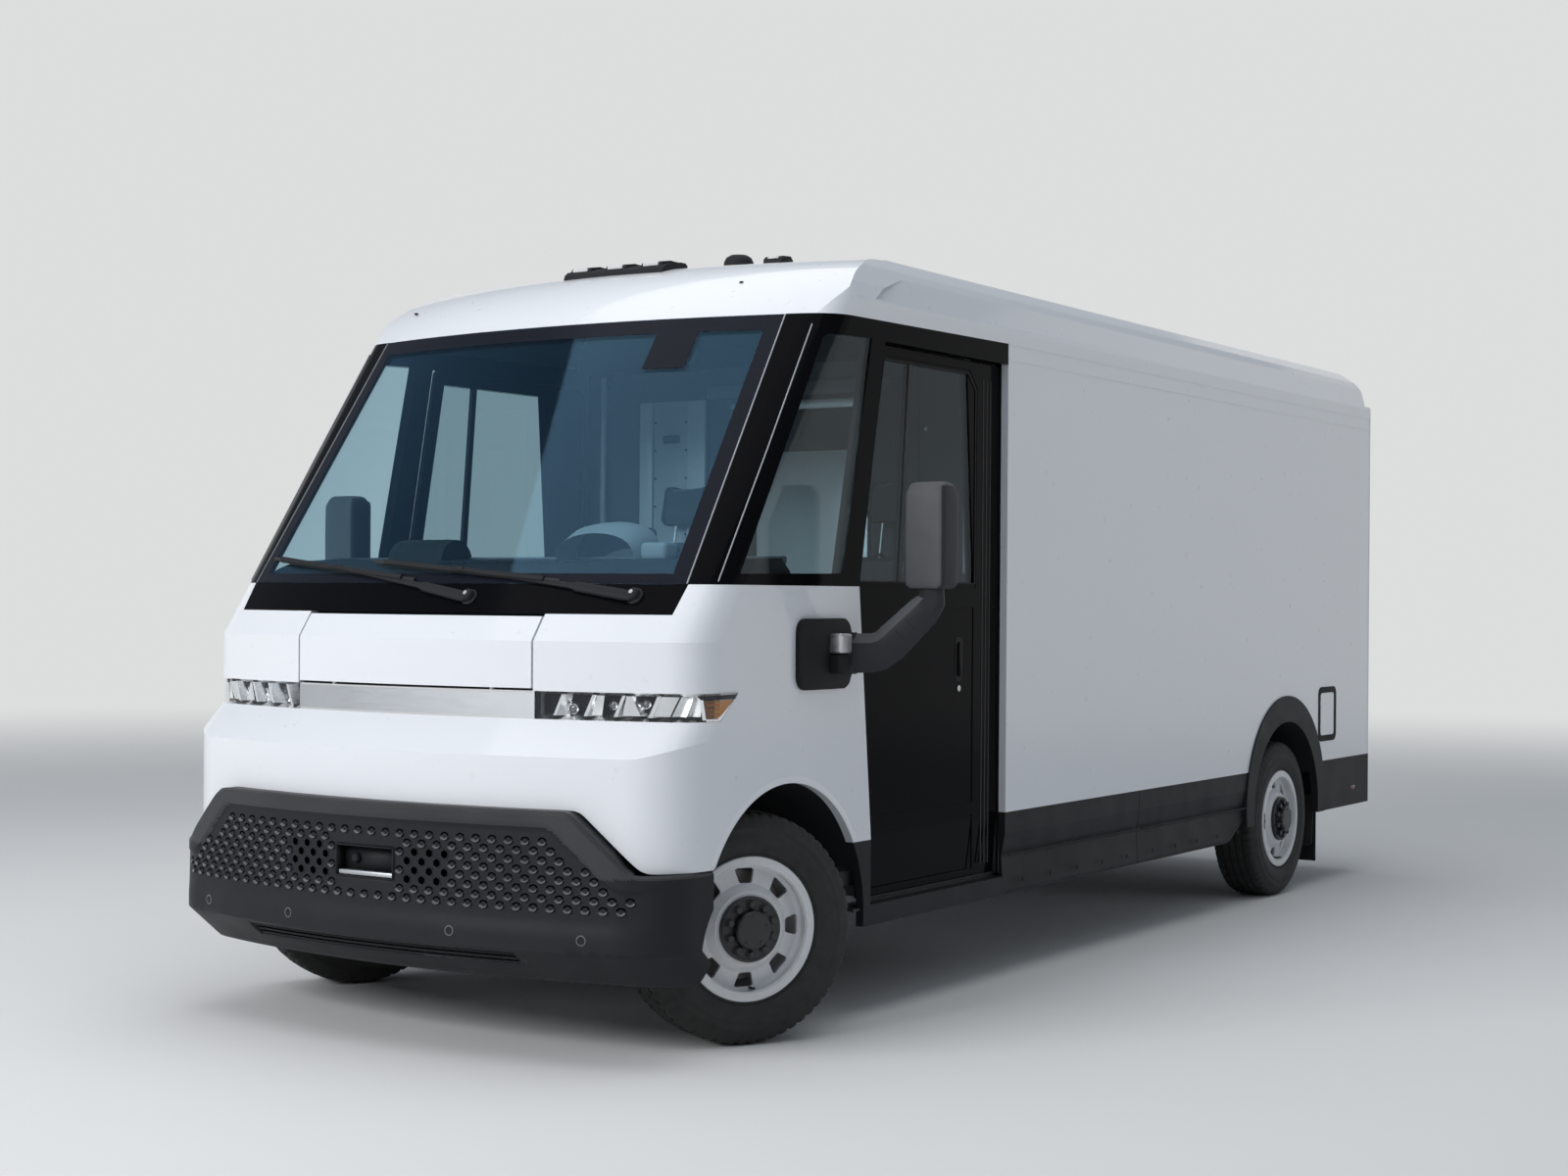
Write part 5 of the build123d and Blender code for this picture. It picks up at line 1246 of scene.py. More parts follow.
def wipers():
    """Two arms with their caps, each over a thin rubber blade that follows the glass."""
    shape = Shape("wiper_set")
    places = (
        ((0.198, 1.468), (-0.906, 1.602), (-0.067, 1.525)), ((0.809, 1.475), (-0.301, 1.588), (0.528, 1.522)),
    )
    for pivot, tip, heel in places:
        blade = [
            glass_place(
                tip[0] + (heel[0] - tip[0]) * t, tip[1] + (heel[1] - tip[1]) * t, -0.006,
            ) for t in spread(0, 1, 15)
        ]
        shape.sweep(
            blade, [
                (-0.004, -0.006), (0.004, -0.006), (0.007, 0.002), (0.0, 0.008), (-0.007, 0.002),
            ],
            SEAL, up=GLASS_NORMAL,
        )
        carrier = [p + GLASS_NORMAL * 0.007 for p in blade[1:-1]]
        shape.sweep(
            carrier,
            [(-0.0125, -0.003), (0.0125, -0.003), (0.009, 0.006), (-0.006, 0.008)],
            DARK_PLASTIC, up=GLASS_NORMAL,
        )
        middle = blade[7]
        shape.block(tuple(middle + GLASS_NORMAL * 0.012), (0.060, 0.020, 0.018), DARK_PLASTIC, 0.005, 2)
        base = glass_place(pivot[0], pivot[1], -0.014)
        end = middle + GLASS_NORMAL * 0.016
        share = [0.0, 0.05, 0.30, 0.33, 0.98, 1.0]
        widths = [0.034, 0.040, 0.036, 0.022, 0.016, 0.012]
        heights = [0.014, 0.020, 0.019, 0.013, 0.010, 0.008]
        arm = [base.lerp(end, t) + GLASS_NORMAL * 0.006 * math.sin(math.pi * t) for t in share]
        shape.sweep(arm, lambda k: superellipse(widths[k], heights[k], 10), DARK_PLASTIC, up=GLASS_NORMAL)
        turn = facing(glass_place(pivot[0], pivot[1], 0.0), GLASS_NORMAL)
        shape.lathe(
            [(0.030, -0.004), (0.030, 0.003), (0.024, 0.006), (0.021, 0.020), (0.016, 0.025), (0.0, 0.026)],
            DARK_PLASTIC, turn, 24,
        )
        shape.lathe([(0.008, 0.024), (0.008, 0.029), (0.0, 0.030)], ALUMINIUM, turn, 6)
    shape.finish(replaces=("wipers",))


windshield_border()
wipers()


# ---------------------------------------------------------------- roof
def roof_lamps():
    """A low black cluster with three pale lamps, a small marker lamp and a domed antenna."""
    shape = Shape("roof_lamp_set")
    profile = [
        (0.440, 2.668), (0.446, 2.686), (0.462, 2.699), (0.500, 2.709), (0.560, 2.718), (0.590, 2.719),
        (0.603, 2.710), (0.604, 2.690),
    ]
    outline = [(FRONT_AXLE + y, z) for y, z in profile]
    shape.prism(outline, 0.464, DARK_PLASTIC, upright((-0.232, 0, 0), (0, 1, 0)), 0.004, 2)
    for x in (-0.165, 0.0, 0.165):
        bump_up = [
            (FRONT_AXLE + y, z)
            for y, z in ((0.452, 2.690), (0.470, 2.7135), (0.520, 2.7215), (0.575, 2.7215), (0.590, 2.705))
        ]
        shape.prism(bump_up, 0.096, DARK_PLASTIC, upright((x - 0.048, 0, 0), (0, 1, 0)), 0.004, 2)
        points = [(x - 0.034, FRONT_AXLE + 0.466, 2.7045), (x + 0.034, FRONT_AXLE + 0.466, 2.7045)]
        shape.sweep(points, superellipse(0.018, 0.017, 14), LAMP_CLEAR)
    marker = [(0.702, 2.700), (0.706, 2.728), (0.718, 2.7375), (0.768, 2.741), (0.784, 2.726), (0.786, 2.712)]
    shape.prism(
        [(FRONT_AXLE + y, z) for y, z in marker], 0.083, DARK_PLASTIC,
        upright((0.501, 0, 0), (0, 1, 0)), 0.003, 2,
    )
    points = [(0.520, FRONT_AXLE + 0.716, 2.7300), (0.566, FRONT_AXLE + 0.716, 2.7300)]
    shape.sweep(points, superellipse(0.016, 0.012, 14), LAMP_CLEAR)
    dome = Matrix.Translation((0.225, FRONT_AXLE + 0.95, 2.744))
    shape.lathe(
        [
            (0.061, -0.012), (0.061, 0.004), (0.059, 0.010), (0.057, 0.024), (0.049, 0.040), (0.033, 0.050),
            (0.0, 0.0538),
        ],
        DARK_PLASTIC, dome, 40,
    )
    for x, y, z in ((0.66, 0.33, 2.588), (0.90, 0.60, 2.655), (-0.90, 0.36, 2.575)):
        shape.lathe(
            [(0.008, -0.004), (0.008, 0.001), (0.005, 0.003), (0.0, 0.003)], SEAL,
            Matrix.Translation((x, FRONT_AXLE + y, z)), 12,
        )
    shape.finish(replaces=("roof_lamps",))


roof_lamps()


# ---------------------------------------------------------------- trims along the sides
def side_details():
    """Moulding lines, skirt louvres, marker lamps and arch lips."""
    shape = Shape("side_mouldings")
    for z in (2.405, 2.4655):
        points = [(SIDE_X + 0.0010 - 0.001, y, z) for y in (DOOR_REAR_Y + 0.004, REAR_Y - 0.002)]
        shape.sweep(
            points, rectangle(0.002, 0.0035), WHITE,
        )
    points = [(SIDE_X - 0.0005, REAR_Y - 0.012, z) for z in (PANEL_BOTTOM_Z + 0.004, 2.46)]
    shape.sweep(
        points, rectangle(0.0045, 0.002), WHITE,
        up=(1, 0, 0),
    )
    for k in range(9):
        y = FRONT_AXLE + 1.72 + 0.011 * k
        shape.block((1.0745, y, 0.545), (0.006, 0.005, 0.055), DARK_PLASTIC, 0.0015, 1)
    shape.block((1.0835, FRONT_AXLE + 5.557, 0.477), (0.006, 0.072, 0.020), RED_LENS, 0.003, 2)
    lip = [
        (1.0855, FRONT_AXLE + 0.500 * math.cos(a), 0.370 + 0.500 * math.sin(a))
        for a in (math.radians(31.5 + 118 * k / 48) for k in range(49))
    ]
    shape.sweep(
        lip, [(-0.0115, -0.004), (-0.0115, 0.0015), (0.008, 0.0018), (0.012, 0.0), (0.012, -0.004)],
        WHITE, up=(1, 0, 0),
    )
    shape.mirror()
    shape.finish()


side_details()


# ---------------------------------------------------------------- cab interior
SEAT_X = (0.600, -0.420)
SEAT_Y = FRONT_AXLE + 1.150
BACK_TURN = Matrix.Rotation(math.radians(-10), 4, "X")


def pad_blocks():
    """For each padded CAD node: local frames, full size, starting shrink and height of its sewn top."""
    cushions = [Matrix.Translation((x, SEAT_Y - 0.090, 0.9353)) for x in SEAT_X]
    backs = [
        Matrix.Translation((x, SEAT_Y + 0.215, 0.860)) @ BACK_TURN @ Matrix.Translation((0.0, -0.0683, 0.480))
        for x in SEAT_X
    ]
    rests = [
        Matrix.Translation((x, SEAT_Y + 0.215, 0.860)) @ BACK_TURN @ Matrix.Translation((0.0, -0.010, 1.010))
        for x in SEAT_X
    ]
    turn = Matrix.Rotation(math.radians(90), 4, "X")
    return (
        ("seat_cushions", cushions, (0.500, 0.480, 0.130), 0.017, 0.011),
        ("seat_backs", [m @ turn for m in backs], (0.480, 0.640, 0.120), 0.017, 0.012),
        ("headrests", [m @ turn for m in rests], (0.280, 0.200, 0.090), 0.011, 0.008),
    )


def pad_surface(size, shrink, bolster):
    """A rounded pad in its own frame, its top (+Z) lower in the middle than at its side bolsters."""
    part = bmesh.new()
    width, length, height = (value - 2 * shrink for value in size)
    bmesh.ops.create_cube(part, size=1.0)
    bmesh.ops.scale(part, vec=(width, length, height), verts=part.verts)
    bmesh.ops.bevel(
        part, geom=part.edges[:], offset=min(0.034, height * 0.42), segments=4, profile=0.5, affect="EDGES"
    )
    bmesh.ops.triangulate(part, faces=part.faces[:])
    bmesh.ops.subdivide_edges(
        part, edges=[e for e in part.edges if e.calc_length() > 0.03], cuts=6, use_grid_fill=True,
    )
    for vert in part.verts:
        if vert.co.z > 0:
            middle = 1 - smooth_step(0.52, 0.80, abs(vert.co.x) / (width / 2))
            vert.co.z -= bolster * middle * min(1.0, vert.co.z / (height / 2))
    return part


def soften(piece, cap):
    """Cloth with inner pressure, so that a pad swells between its seams; no point moves further than cap."""
    before = [v.co.copy() for v in piece.data.vertices]
    cloth = piece.modifiers.new("cloth", "CLOTH")
    cloth.settings.use_pressure = True
    cloth.settings.uniform_pressure_force = 4.0
    cloth.settings.effector_weights.gravity = 0.0
    cloth.settings.quality = 5
    for number in range(1, 21):
        scene.frame_set(number)
    shown = piece.evaluated_get(bpy.context.evaluated_depsgraph_get())
    after = [v.co.copy() for v in shown.data.vertices]
    piece.modifiers.remove(cloth)
    scene.frame_set(1)
    for vert, start, end in zip(piece.data.vertices, before, after):
        move = end - start
        if move.length > cap:
            move *= cap / move.length
        vert.co = start + move
    piece.data.update()


def carve_seams(mesh, frames, size):
    """Sewn lines: a groove on each side between seat and bolsters, cross channels, and one round the edge."""
    width, length, height = size
    mesh.update()
    normals = [Vector(v.vector) for v in mesh.vertex_normals]
    inverses = [m.inverted() for m in frames]
    channels = [-0.30, -0.10, 0.10, 0.30] if length > 0.3 else []
    for vert, normal in zip(mesh.vertices, normals):
        local = min((m @ vert.co for m in inverses), key=lambda v: v.length)
        depth = 0.0
        if local.z > 0:
            side = abs(abs(local.x) - width * 0.315)
            depth = 0.0075 * math.exp(-((side / 0.0075) ** 2)) if length > 0.3 else 0.0
            if abs(local.x) < width * 0.315:
                for share in channels:
                    gone = abs(local.y - share * length)
                    depth = max(depth, 0.0060 * math.exp(-((gone / 0.0080) ** 2)))
        rim = abs(local.z - height * 0.16)
        if abs(local.x) > width * 0.40 or abs(local.y) > length * 0.40:
            depth = max(depth, 0.0035 * math.exp(-((rim / 0.0045) ** 2)))
        vert.co -= normal * depth


def seat_pads():
    """Seat cushions, backs and headrests as soft pads with woven middles and smooth bolsters."""
    for node, frames, size, shrink, bolster in pad_blocks():
        whole = bmesh.new()
        for matrix in frames:
            part = pad_surface(size, shrink, bolster)
            bmesh.ops.transform(part, matrix=matrix, verts=part.verts)
            pour(part, whole)
        piece = new_object(f"{node}_soft", whole)
        remesh = piece.modifiers.new("remesh", "REMESH")
        remesh.mode = "VOXEL"
        remesh.voxel_size = 0.0095
        shown = piece.evaluated_get(bpy.context.evaluated_depsgraph_get())
        piece.data = bpy.data.meshes.new_from_object(shown)
        piece.modifiers.clear()
        soften(piece, 0.024 if shrink > 0.012 else 0.014)
        inverses = [m.inverted() for m in frames]
        half = [value / 2 for value in size]
        for vert in piece.data.vertices:
            index = min(range(len(frames)), key=lambda k: (inverses[k] @ vert.co).length)
            local = inverses[index] @ vert.co
            held = Vector([max(-h, min(h, c)) for c, h in zip(local, half)])
            vert.co = frames[index] @ held
        carve_seams(piece.data, frames, size)
        piece.data.materials.clear()
        piece.data.materials.append(VINYL)
        piece.data.materials.append(CLOTH)
        for face in piece.data.polygons:
            local = min((m @ face.center for m in inverses), key=lambda v: v.length)
            face.use_smooth = True
            if local.z > size[2] * 0.10 and abs(local.x) < size[0] * 0.315:
                face.material_index = 1
        finer = piece.modifiers.new("subdivision", "SUBSURF")
        finer.levels = 1
        finer.render_levels = 1
        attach(piece, "van_body")
        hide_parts(node)


def seat_frames():
    """Pedestals with bellows, seat pans, rails, back shells, headrest rods and recline knobs."""
    shape = Shape("seat_frames")
    for x in SEAT_X:
        y = SEAT_Y - 0.040
        shape.block((x, y, 0.525), (0.40, 0.38, 0.030), FRAME_BLACK, 0.006)
        for k in range(7):
            grow = 0.012 if k % 2 else 0.0
            shape.block(
                (x, y, 0.560 + 0.026 * k), (0.335 + grow * 2, 0.315 + grow * 2, 0.027), SEAL_PLASTIC, 0.010,
                3,
            )
        shape.block((x, y, 0.775), (0.385, 0.365, 0.060), SEAT_PLASTIC, 0.018, 3)
        shape.block((x, y, 0.835), (0.400, 0.380, 0.062), SEAT_PLASTIC, 0.022, 4)
        for side in (-1, 1):
            shape.tube(
                [(x + side * 0.165, y - 0.205, 0.800), (x + side * 0.165, y + 0.19, 0.800)], 0.010, ALUMINIUM,
                10,
            )
        shape.tube(
            [
                (x - 0.165, y - 0.205, 0.800), (x - 0.11, y - 0.222, 0.798), (x + 0.11, y - 0.222, 0.798),
                (x + 0.165, y - 0.205, 0.800),
            ],
            0.007, FRAME_BLACK, 10,
        )
        shape.block((x, SEAT_Y + 0.140, 0.860), (0.440, 0.160, 0.018), FRAME_BLACK, 0.005)
        back = Matrix.Translation((x, SEAT_Y + 0.215, 0.860)) @ BACK_TURN
        shape.block((0.0, 0.0, 0.400), (0.436, 0.0155, 0.780), SEAT_PLASTIC, 0.0075, 3, back)
        shape.block((0.0, 0.0065, 0.470), (0.330, 0.003, 0.520), TRIM_GREY, 0.0014, 2, back)
        for side in (-1, 1):
            rod = [back @ Vector((side * 0.060, 0.0, z)) for z in (0.755, 0.930)]
            shape.tube(rod, 0.0068, ALUMINIUM, 12)
            collar = back @ Matrix.Translation((side * 0.060, 0.0, 0.790))
            shape.lathe(
                [(0.016, 0.0), (0.016, 0.010), (0.012, 0.014), (0.008, 0.014)], SEAL_PLASTIC, collar, 20,
            )
            knob = turned((x + side * 0.226, SEAT_Y + 0.150, 0.872), side * math.pi / 2, "Y")
            shape.lathe(
                [
                    (0.0, 0.0), (0.030, 0.001), (0.032, 0.006), (0.030, 0.018), (0.024, 0.022), (0.0, 0.022),
                ], SEAT_PLASTIC, knob, 24,
                lambda row, k: -0.0025 if row in (2, 3) and k % 3 == 0 else 0.0,
            )
    shape.finish(replaces=("seat_bases",), crease=40)


WHEEL_AT = turned((0.600, FRONT_AXLE + 0.330, 1.480), math.radians(-45), "X")


def steering():
    """Thick rim with thumb grips, three spokes, padded hub, column shroud and stalks."""
    shape = Shape("steering_wheel_detail")
    ring = bmesh.new()
    around, section = 96, 14
    rows = []
    for k in range(around):
        turn = 2 * math.pi * k / around
        near = min(abs(math.sin((turn - a) / 2)) for a in (math.radians(25), math.radians(155)))
        thick = 0.0138 + 0.0012 * math.exp(-((near / 0.13) ** 2))
        row = []
        for j in range(section):
            angle = 2 * math.pi * j / section
            reach = 0.185 + thick * math.cos(angle)
            row.append(
                ring.verts.new((reach * math.cos(turn), reach * math.sin(turn), thick * math.sin(angle)))
            )
        rows.append(row)
    for k in range(around):
        one, two = rows[k], rows[(k + 1) % around]
        for j in range(section):
            nxt = (j + 1) % section
            ring.faces.new((one[j], two[j], two[nxt], one[nxt]))
    shape.merge(ring, VINYL, WHEEL_AT)
    for angle, width in ((0, 0.040), (180, 0.040), (270, 0.046)):
        turn = WHEEL_AT @ Matrix.Rotation(math.radians(angle), 4, "Z")
        outline = [
            (0.045, -width * 0.72), (0.110, -width * 0.42), (0.176, -width * 0.50), (0.176, width * 0.50),
            (0.110, width * 0.42), (0.045, width * 0.72),
        ]
        shape.prism(
            outline, 0.010, SEAT_PLASTIC, turn @ Matrix.Translation((0, 0, -0.005)),
            0.003, 2,
        )
        shape.prism(
            [(u * 0.82 + 0.022, v * 0.42) for u, v in outline], 0.003, TRIM_GREY,
            turn @ Matrix.Translation((0, 0, 0.004)), 0.001, 1,
        )
    shape.prism(
        rounded_outline(0.118, 0.098, 0.030, 6), 0.030, VINYL, WHEEL_AT @ Matrix.Translation((0, 0, -0.014)),
        0.008, 3,
    )
    shape.lathe([(0.020, 0.0155), (0.0225, 0.0165), (0.0225, 0.0145)], TRIM_GREY, WHEEL_AT, 32)
    shape.lathe(
        [
            (0.0, -0.014), (0.052, -0.016), (0.056, -0.045), (0.050, -0.120), (0.040, -0.205),
            (0.027, -0.215), (0.027, -0.380), (0.0, -0.380),
        ],
        DARK_PLASTIC, WHEEL_AT, 36,
    )
    for side in (-1, 1):
        stalk = [
            WHEEL_AT @ Vector((side * r, 0.012 + 0.02 * k, -0.040 + 0.004 * k))
            for k, r in enumerate((0.045, 0.085, 0.125, 0.150))
        ]
        shape.tube(stalk, 0.0058, DARK_PLASTIC, 10)
        shape.block(tuple(stalk[-1]), (0.030, 0.016, 0.016), DARK_PLASTIC, 0.006, 2)
    shape.finish(replaces=("steering_wheel",), crease=40)


def dashboard_details():
    """Instrument pod and hoods, centre display, vents, glovebox lines, defroster slots and grab bar."""
    shape = Shape("dashboard_set")
    y = FRONT_AXLE
    # the hood over the driver's display
    arch = []
    for k in range(13):
        angle = math.pi * k / 12
        arch.append((0.325 - 0.180 * math.cos(angle), 1.600 + 0.128 * math.sin(angle) ** 0.55))
    hood = bmesh.new()
    rows = []
    for depth, lift, grow in (
        (-0.075, -0.030, 0.96), (-0.01, 0.0, 1.0), (0.060, 0.006, 1.02), (0.062, 0.000, 0.985),
        (0.0, -0.006, 0.965),
    ):
        rows.append(
            [
                hood.verts.new((0.325 + (a - 0.325) * grow, y + depth, 1.600 + (b - 1.600) * grow + lift))
                for a, b in arch
            ]
        )
    for one, two in zip(rows, rows[1:]):
        bridge(hood, one, two, closed=False)
    shape.merge(hood, HOOD_GREY)
    tilt = Matrix.Rotation(math.radians(78), 4, "X")
    at = Matrix.Translation((0.600, y + 0.020, 1.618)) @ tilt
    shape.prism(rounded_outline(0.270, 0.085, 0.014), 0.010, SCREEN_BLACK, at, 0.003, 2)
    # centre display
    at = turned((0.325, y + 0.050, 1.655), math.radians(80), "X")
    shape.prism(
        rounded_outline(0.318, 0.120, 0.016), 0.016, DARK_PLASTIC, at @ Matrix.Translation((0, 0, -0.018)),
        0.005, 3,
    )
    shape.prism(
        rounded_outline(0.296, 0.100, 0.008), 0.0016, SCREEN_BLACK, at @ Matrix.Translation((0, 0, -0.0022)),
        0.0005, 1,
    )
    shape.block((0.560, y - 0.010, 1.630), (0.110, 0.090, 0.060), HOOD_GREY, 0.016, 3)
    # round pod over the middle of the top
    pod = upright((-0.602, y - 0.030, 1.590), (0, 1, 0))
    shape.lathe(
        [
            (0.0, -0.002), (0.066, -0.002), (0.080, 0.004), (0.0862, 0.016), (0.0862, 0.246), (0.080, 0.258),
            (0.066, 0.264), (0.0, 0.264),
        ],
        DARK_PLASTIC, pod, 48,
    )
    for reach in (0.040, 0.130, 0.220):
        shape.lathe(
            [(0.0866, -0.003), (0.0874, 0.0), (0.0866, 0.003)], SEAL_PLASTIC,
            pod @ Matrix.Translation((0, 0, reach)), 48,
        )
    # vents with slats
    for x, z in ((0.905, 1.500), (0.345, 1.500), (-0.080, 1.500), (-0.800, 1.500)):
        face = placed((x, y + 0.066, z), (1, 0, 0), (0, -0.08, 1.0))
        shape.prism(
            rounded_outline(0.150, 0.072, 0.014), 0.006, SEAT_PLASTIC,
            face @ Matrix.Rotation(math.pi, 4, "Y"), 0.002, 2,
        )
        for k in range(5):
            shape.block((x, y + 0.072, z - 0.024 + 0.012 * k), (0.128, 0.012, 0.0034), DARK_PLASTIC, 0.001, 1)
        shape.block((x, y + 0.079, z), (0.012, 0.006, 0.020), TRIM_GREY, 0.002, 2)
    # lower shelf, glovebox and switch rows
    shape.block((-0.440, y + 0.002, 1.350), (0.620, 0.030, 0.150), SEAT_PLASTIC, 0.012, 3)
    shape.block((-0.440, y + 0.020, 1.400), (0.110, 0.010, 0.018), TRIM_GREY, 0.004, 2)
    for k in range(6):
        shape.block((0.015 + 0.046 * k, y + 0.064, 1.442), (0.036, 0.010, 0.024), TRIM_GREY, 0.004, 2)
    # defroster slots along the glass and the rubber edge of the top
    for k in range(22):
        x = -0.80 + 0.076 * k
        if -0.62 < x < -0.33:
            continue
        shape.block((x, y - 0.190 + crown(x), 1.5905), (0.058, 0.012, 0.0050), SEAL_PLASTIC, 0.001, 1)
    for z, thick in ((1.6000, 0.026), (1.5660, 0.012)):
        edge = [(x, y + 0.052 + (0.012 if thick < 0.02 else 0.0), z) for x in spread(-1.03, 1.03, 9)]
        shape.sweep(edge, superellipse(0.030, thick, 14), TRIM_GREY)
    bar = [
        (-0.99, y + 0.085, 1.30), (-0.985, y + 0.125, 1.32), (-0.985, y + 0.125, 1.50),
        (-0.99, y + 0.085, 1.52),
    ]
    shape.tube(bar, 0.011, SEAT_PLASTIC, 10)
    shape.finish(crease=38)


BULKHEAD_FACE = FRONT_AXLE + 1.592


def bulkhead_details():
    """Panels, ribs, side rails, door frame, grab handles and box of the bulkhead; panels of its door."""
    shape = Shape("bulkhead_panels")
    face = BULKHEAD_FACE
    rib = [(-0.020, 0.0), (-0.014, 0.009), (0.014, 0.009), (0.020, 0.0)]
    for x, width in ((-0.679, 0.070), (-0.415, 0.094)):
        shape.block((x, face - 0.009, 1.530), (width, 0.020, 1.560), WHEEL, 0.006, 3)
    shape.block((-0.553, face - 0.004, 1.530), (0.180, 0.010, 1.560), PANEL_GREY, 0.003, 2)
    for z in spread(0.90, 2.22, 12):
        for x in (-0.634, -0.472):
            bolt = turned((x, face - 0.008, z), math.pi / 2, "X")
            shape.lathe([(0.005, 0.0), (0.005, 0.003), (0.0, 0.004)], SEAL_PLASTIC, bolt, 8)
    for x in (0.555, 0.650):
        points = [(x, face, 0.60), (x, face, 2.36)]
        shape.sweep(points, [(a, -b) for a, b in rib], BULK_DARK, up=(0, 1, 0))
    for side in (-1, 1):
        shape.block((side * 0.899, face - 0.030, 2.000), (0.026, 0.022, 0.860), PANEL_GREY, 0.008, 3)
        for z in (1.60, 2.40):
            shape.block((side * 0.899, face - 0.012, z), (0.034, 0.040, 0.040), FRAME_BLACK, 0.006, 2)
    low, high = 0.74, 2.27
    for x in (-0.219, 0.419):
        shape.block((x, face - 0.008, (low + high) / 2), (0.038, 0.018, high - low), ALUMINIUM, 0.004, 2)
    shape.block((0.10, face - 0.008, 2.270), (0.676, 0.018, 0.040), ALUMINIUM, 0.004, 2)
    shape.block((0.10, face - 0.020, 2.335), (0.90, 0.040, 0.060), TRIM_GREY, 0.008, 2)
    z = 1.45
    for x in (-0.300, 0.480):
        grip = [
            (x, face, z - 0.20), (x, face - 0.045, z - 0.18), (x, face - 0.045, z + 0.18),
            (x, face, z + 0.20),
        ]
        shape.tube(grip, 0.012, FRAME_BLACK, 12)
    shape.block((-0.548, face - 0.012, 2.146), (0.086, 0.016, 0.036), SEAL_PLASTIC, 0.006, 3)
    shape.block((-0.555, face - 0.055, 1.30), (0.24, 0.100, 0.30), TRIM_GREY, 0.014, 3)
    shape.block((-0.555, face - 0.108, 1.42), (0.20, 0.006, 0.020), SEAL_PLASTIC, 0.002, 1)
    for side in (-1, 1):
        for z in (0.80, 1.25, 1.70, 2.15):
            bolt = turned((side * 0.700, face, z), math.pi / 2, "X")
            shape.lathe([(0.011, 0.0), (0.011, 0.004), (0.008, 0.006), (0.0, 0.006)], ALUMINIUM, bolt, 6)
    shape.finish()
    leaf = Shape("bulkhead_door_panels")
    front, back = -0.874, -0.846
    for middle, height in ((1.080, 0.560), (1.760, 0.640)):
        at = upright((0.10, front + 0.0005, middle))
        leaf.prism(rounded_outline(0.470, height, 0.030), 0.0045, PANEL_GREY, at, 0.002, 2)
        at = upright((0.10, back + 0.0055, middle))
        leaf.prism(rounded_outline(0.470, height, 0.030), 0.0055, PANEL_GREY, at, 0.002, 2)
    at = upright((0.345, front + 0.0005, 1.440))
    leaf.prism(rounded_outline(0.060, 0.150, 0.016), 0.0052, SEAL_PLASTIC, at, 0.0015, 2)
    pull = [
        (0.345, back, 1.36), (0.345, back + 0.026, 1.37), (0.345, back + 0.026, 1.51), (0.345, back, 1.52),
    ]
    leaf.tube(pull, 0.008, FRAME_BLACK, 10)
    leaf.finish("bulkhead_door")


seat_pads()
seat_frames()
steering()
dashboard_details()
bulkhead_details()


# ---------------------------------------------------------------- cab doors, sills and skirts
def plate(shape, outline, x, thickness, material, radius=0.001, segments=1):
    """A flat outline of (y from the front axle, z) standing out from x by a thickness."""
    points = [(FRONT_AXLE + y, z) for y, z in outline]
    shape.prism(points, thickness, material, upright((x, 0, 0), (0, 1, 0)), radius, segments)


def shift_outline(outline, middle):
    """An outline moved to a middle (y, z)."""
    return [(middle[0] + a, middle[1] + b) for a, b in outline]


def ribbon(shape, outline, x, width, height, material):
    """A raised line of a given width along a closed outline of (y from the front axle, z)."""
    points = [(x, FRONT_AXLE + y, z) for y, z in outline]
    section = [(-width / 2, 0.0), (-width / 3, height), (width / 3, height), (width / 2, 0.0)]
    shape.sweep(points, [(b, a) for a, b in section], material, closed=True, up=(1, 0, 0))


DOOR_GLASS = [(0.500, 1.535), (0.668, 2.325), (1.290, 2.325), (1.350, 2.265), (1.350, 1.535)]


def inset_outline(outline, amount):
    """An outline pulled towards its own middle by about an amount."""
    cy = sum(y for y, z in outline) / len(outline)
    cz = sum(z for y, z in outline) / len(outline)
    moved = []
    for y, z in outline:
        reach = math.hypot(y - cy, z - cz)
        moved.append((cy + (y - cy) * (1 - amount / reach), cz + (z - cz) * (1 - amount / reach)))
    return moved


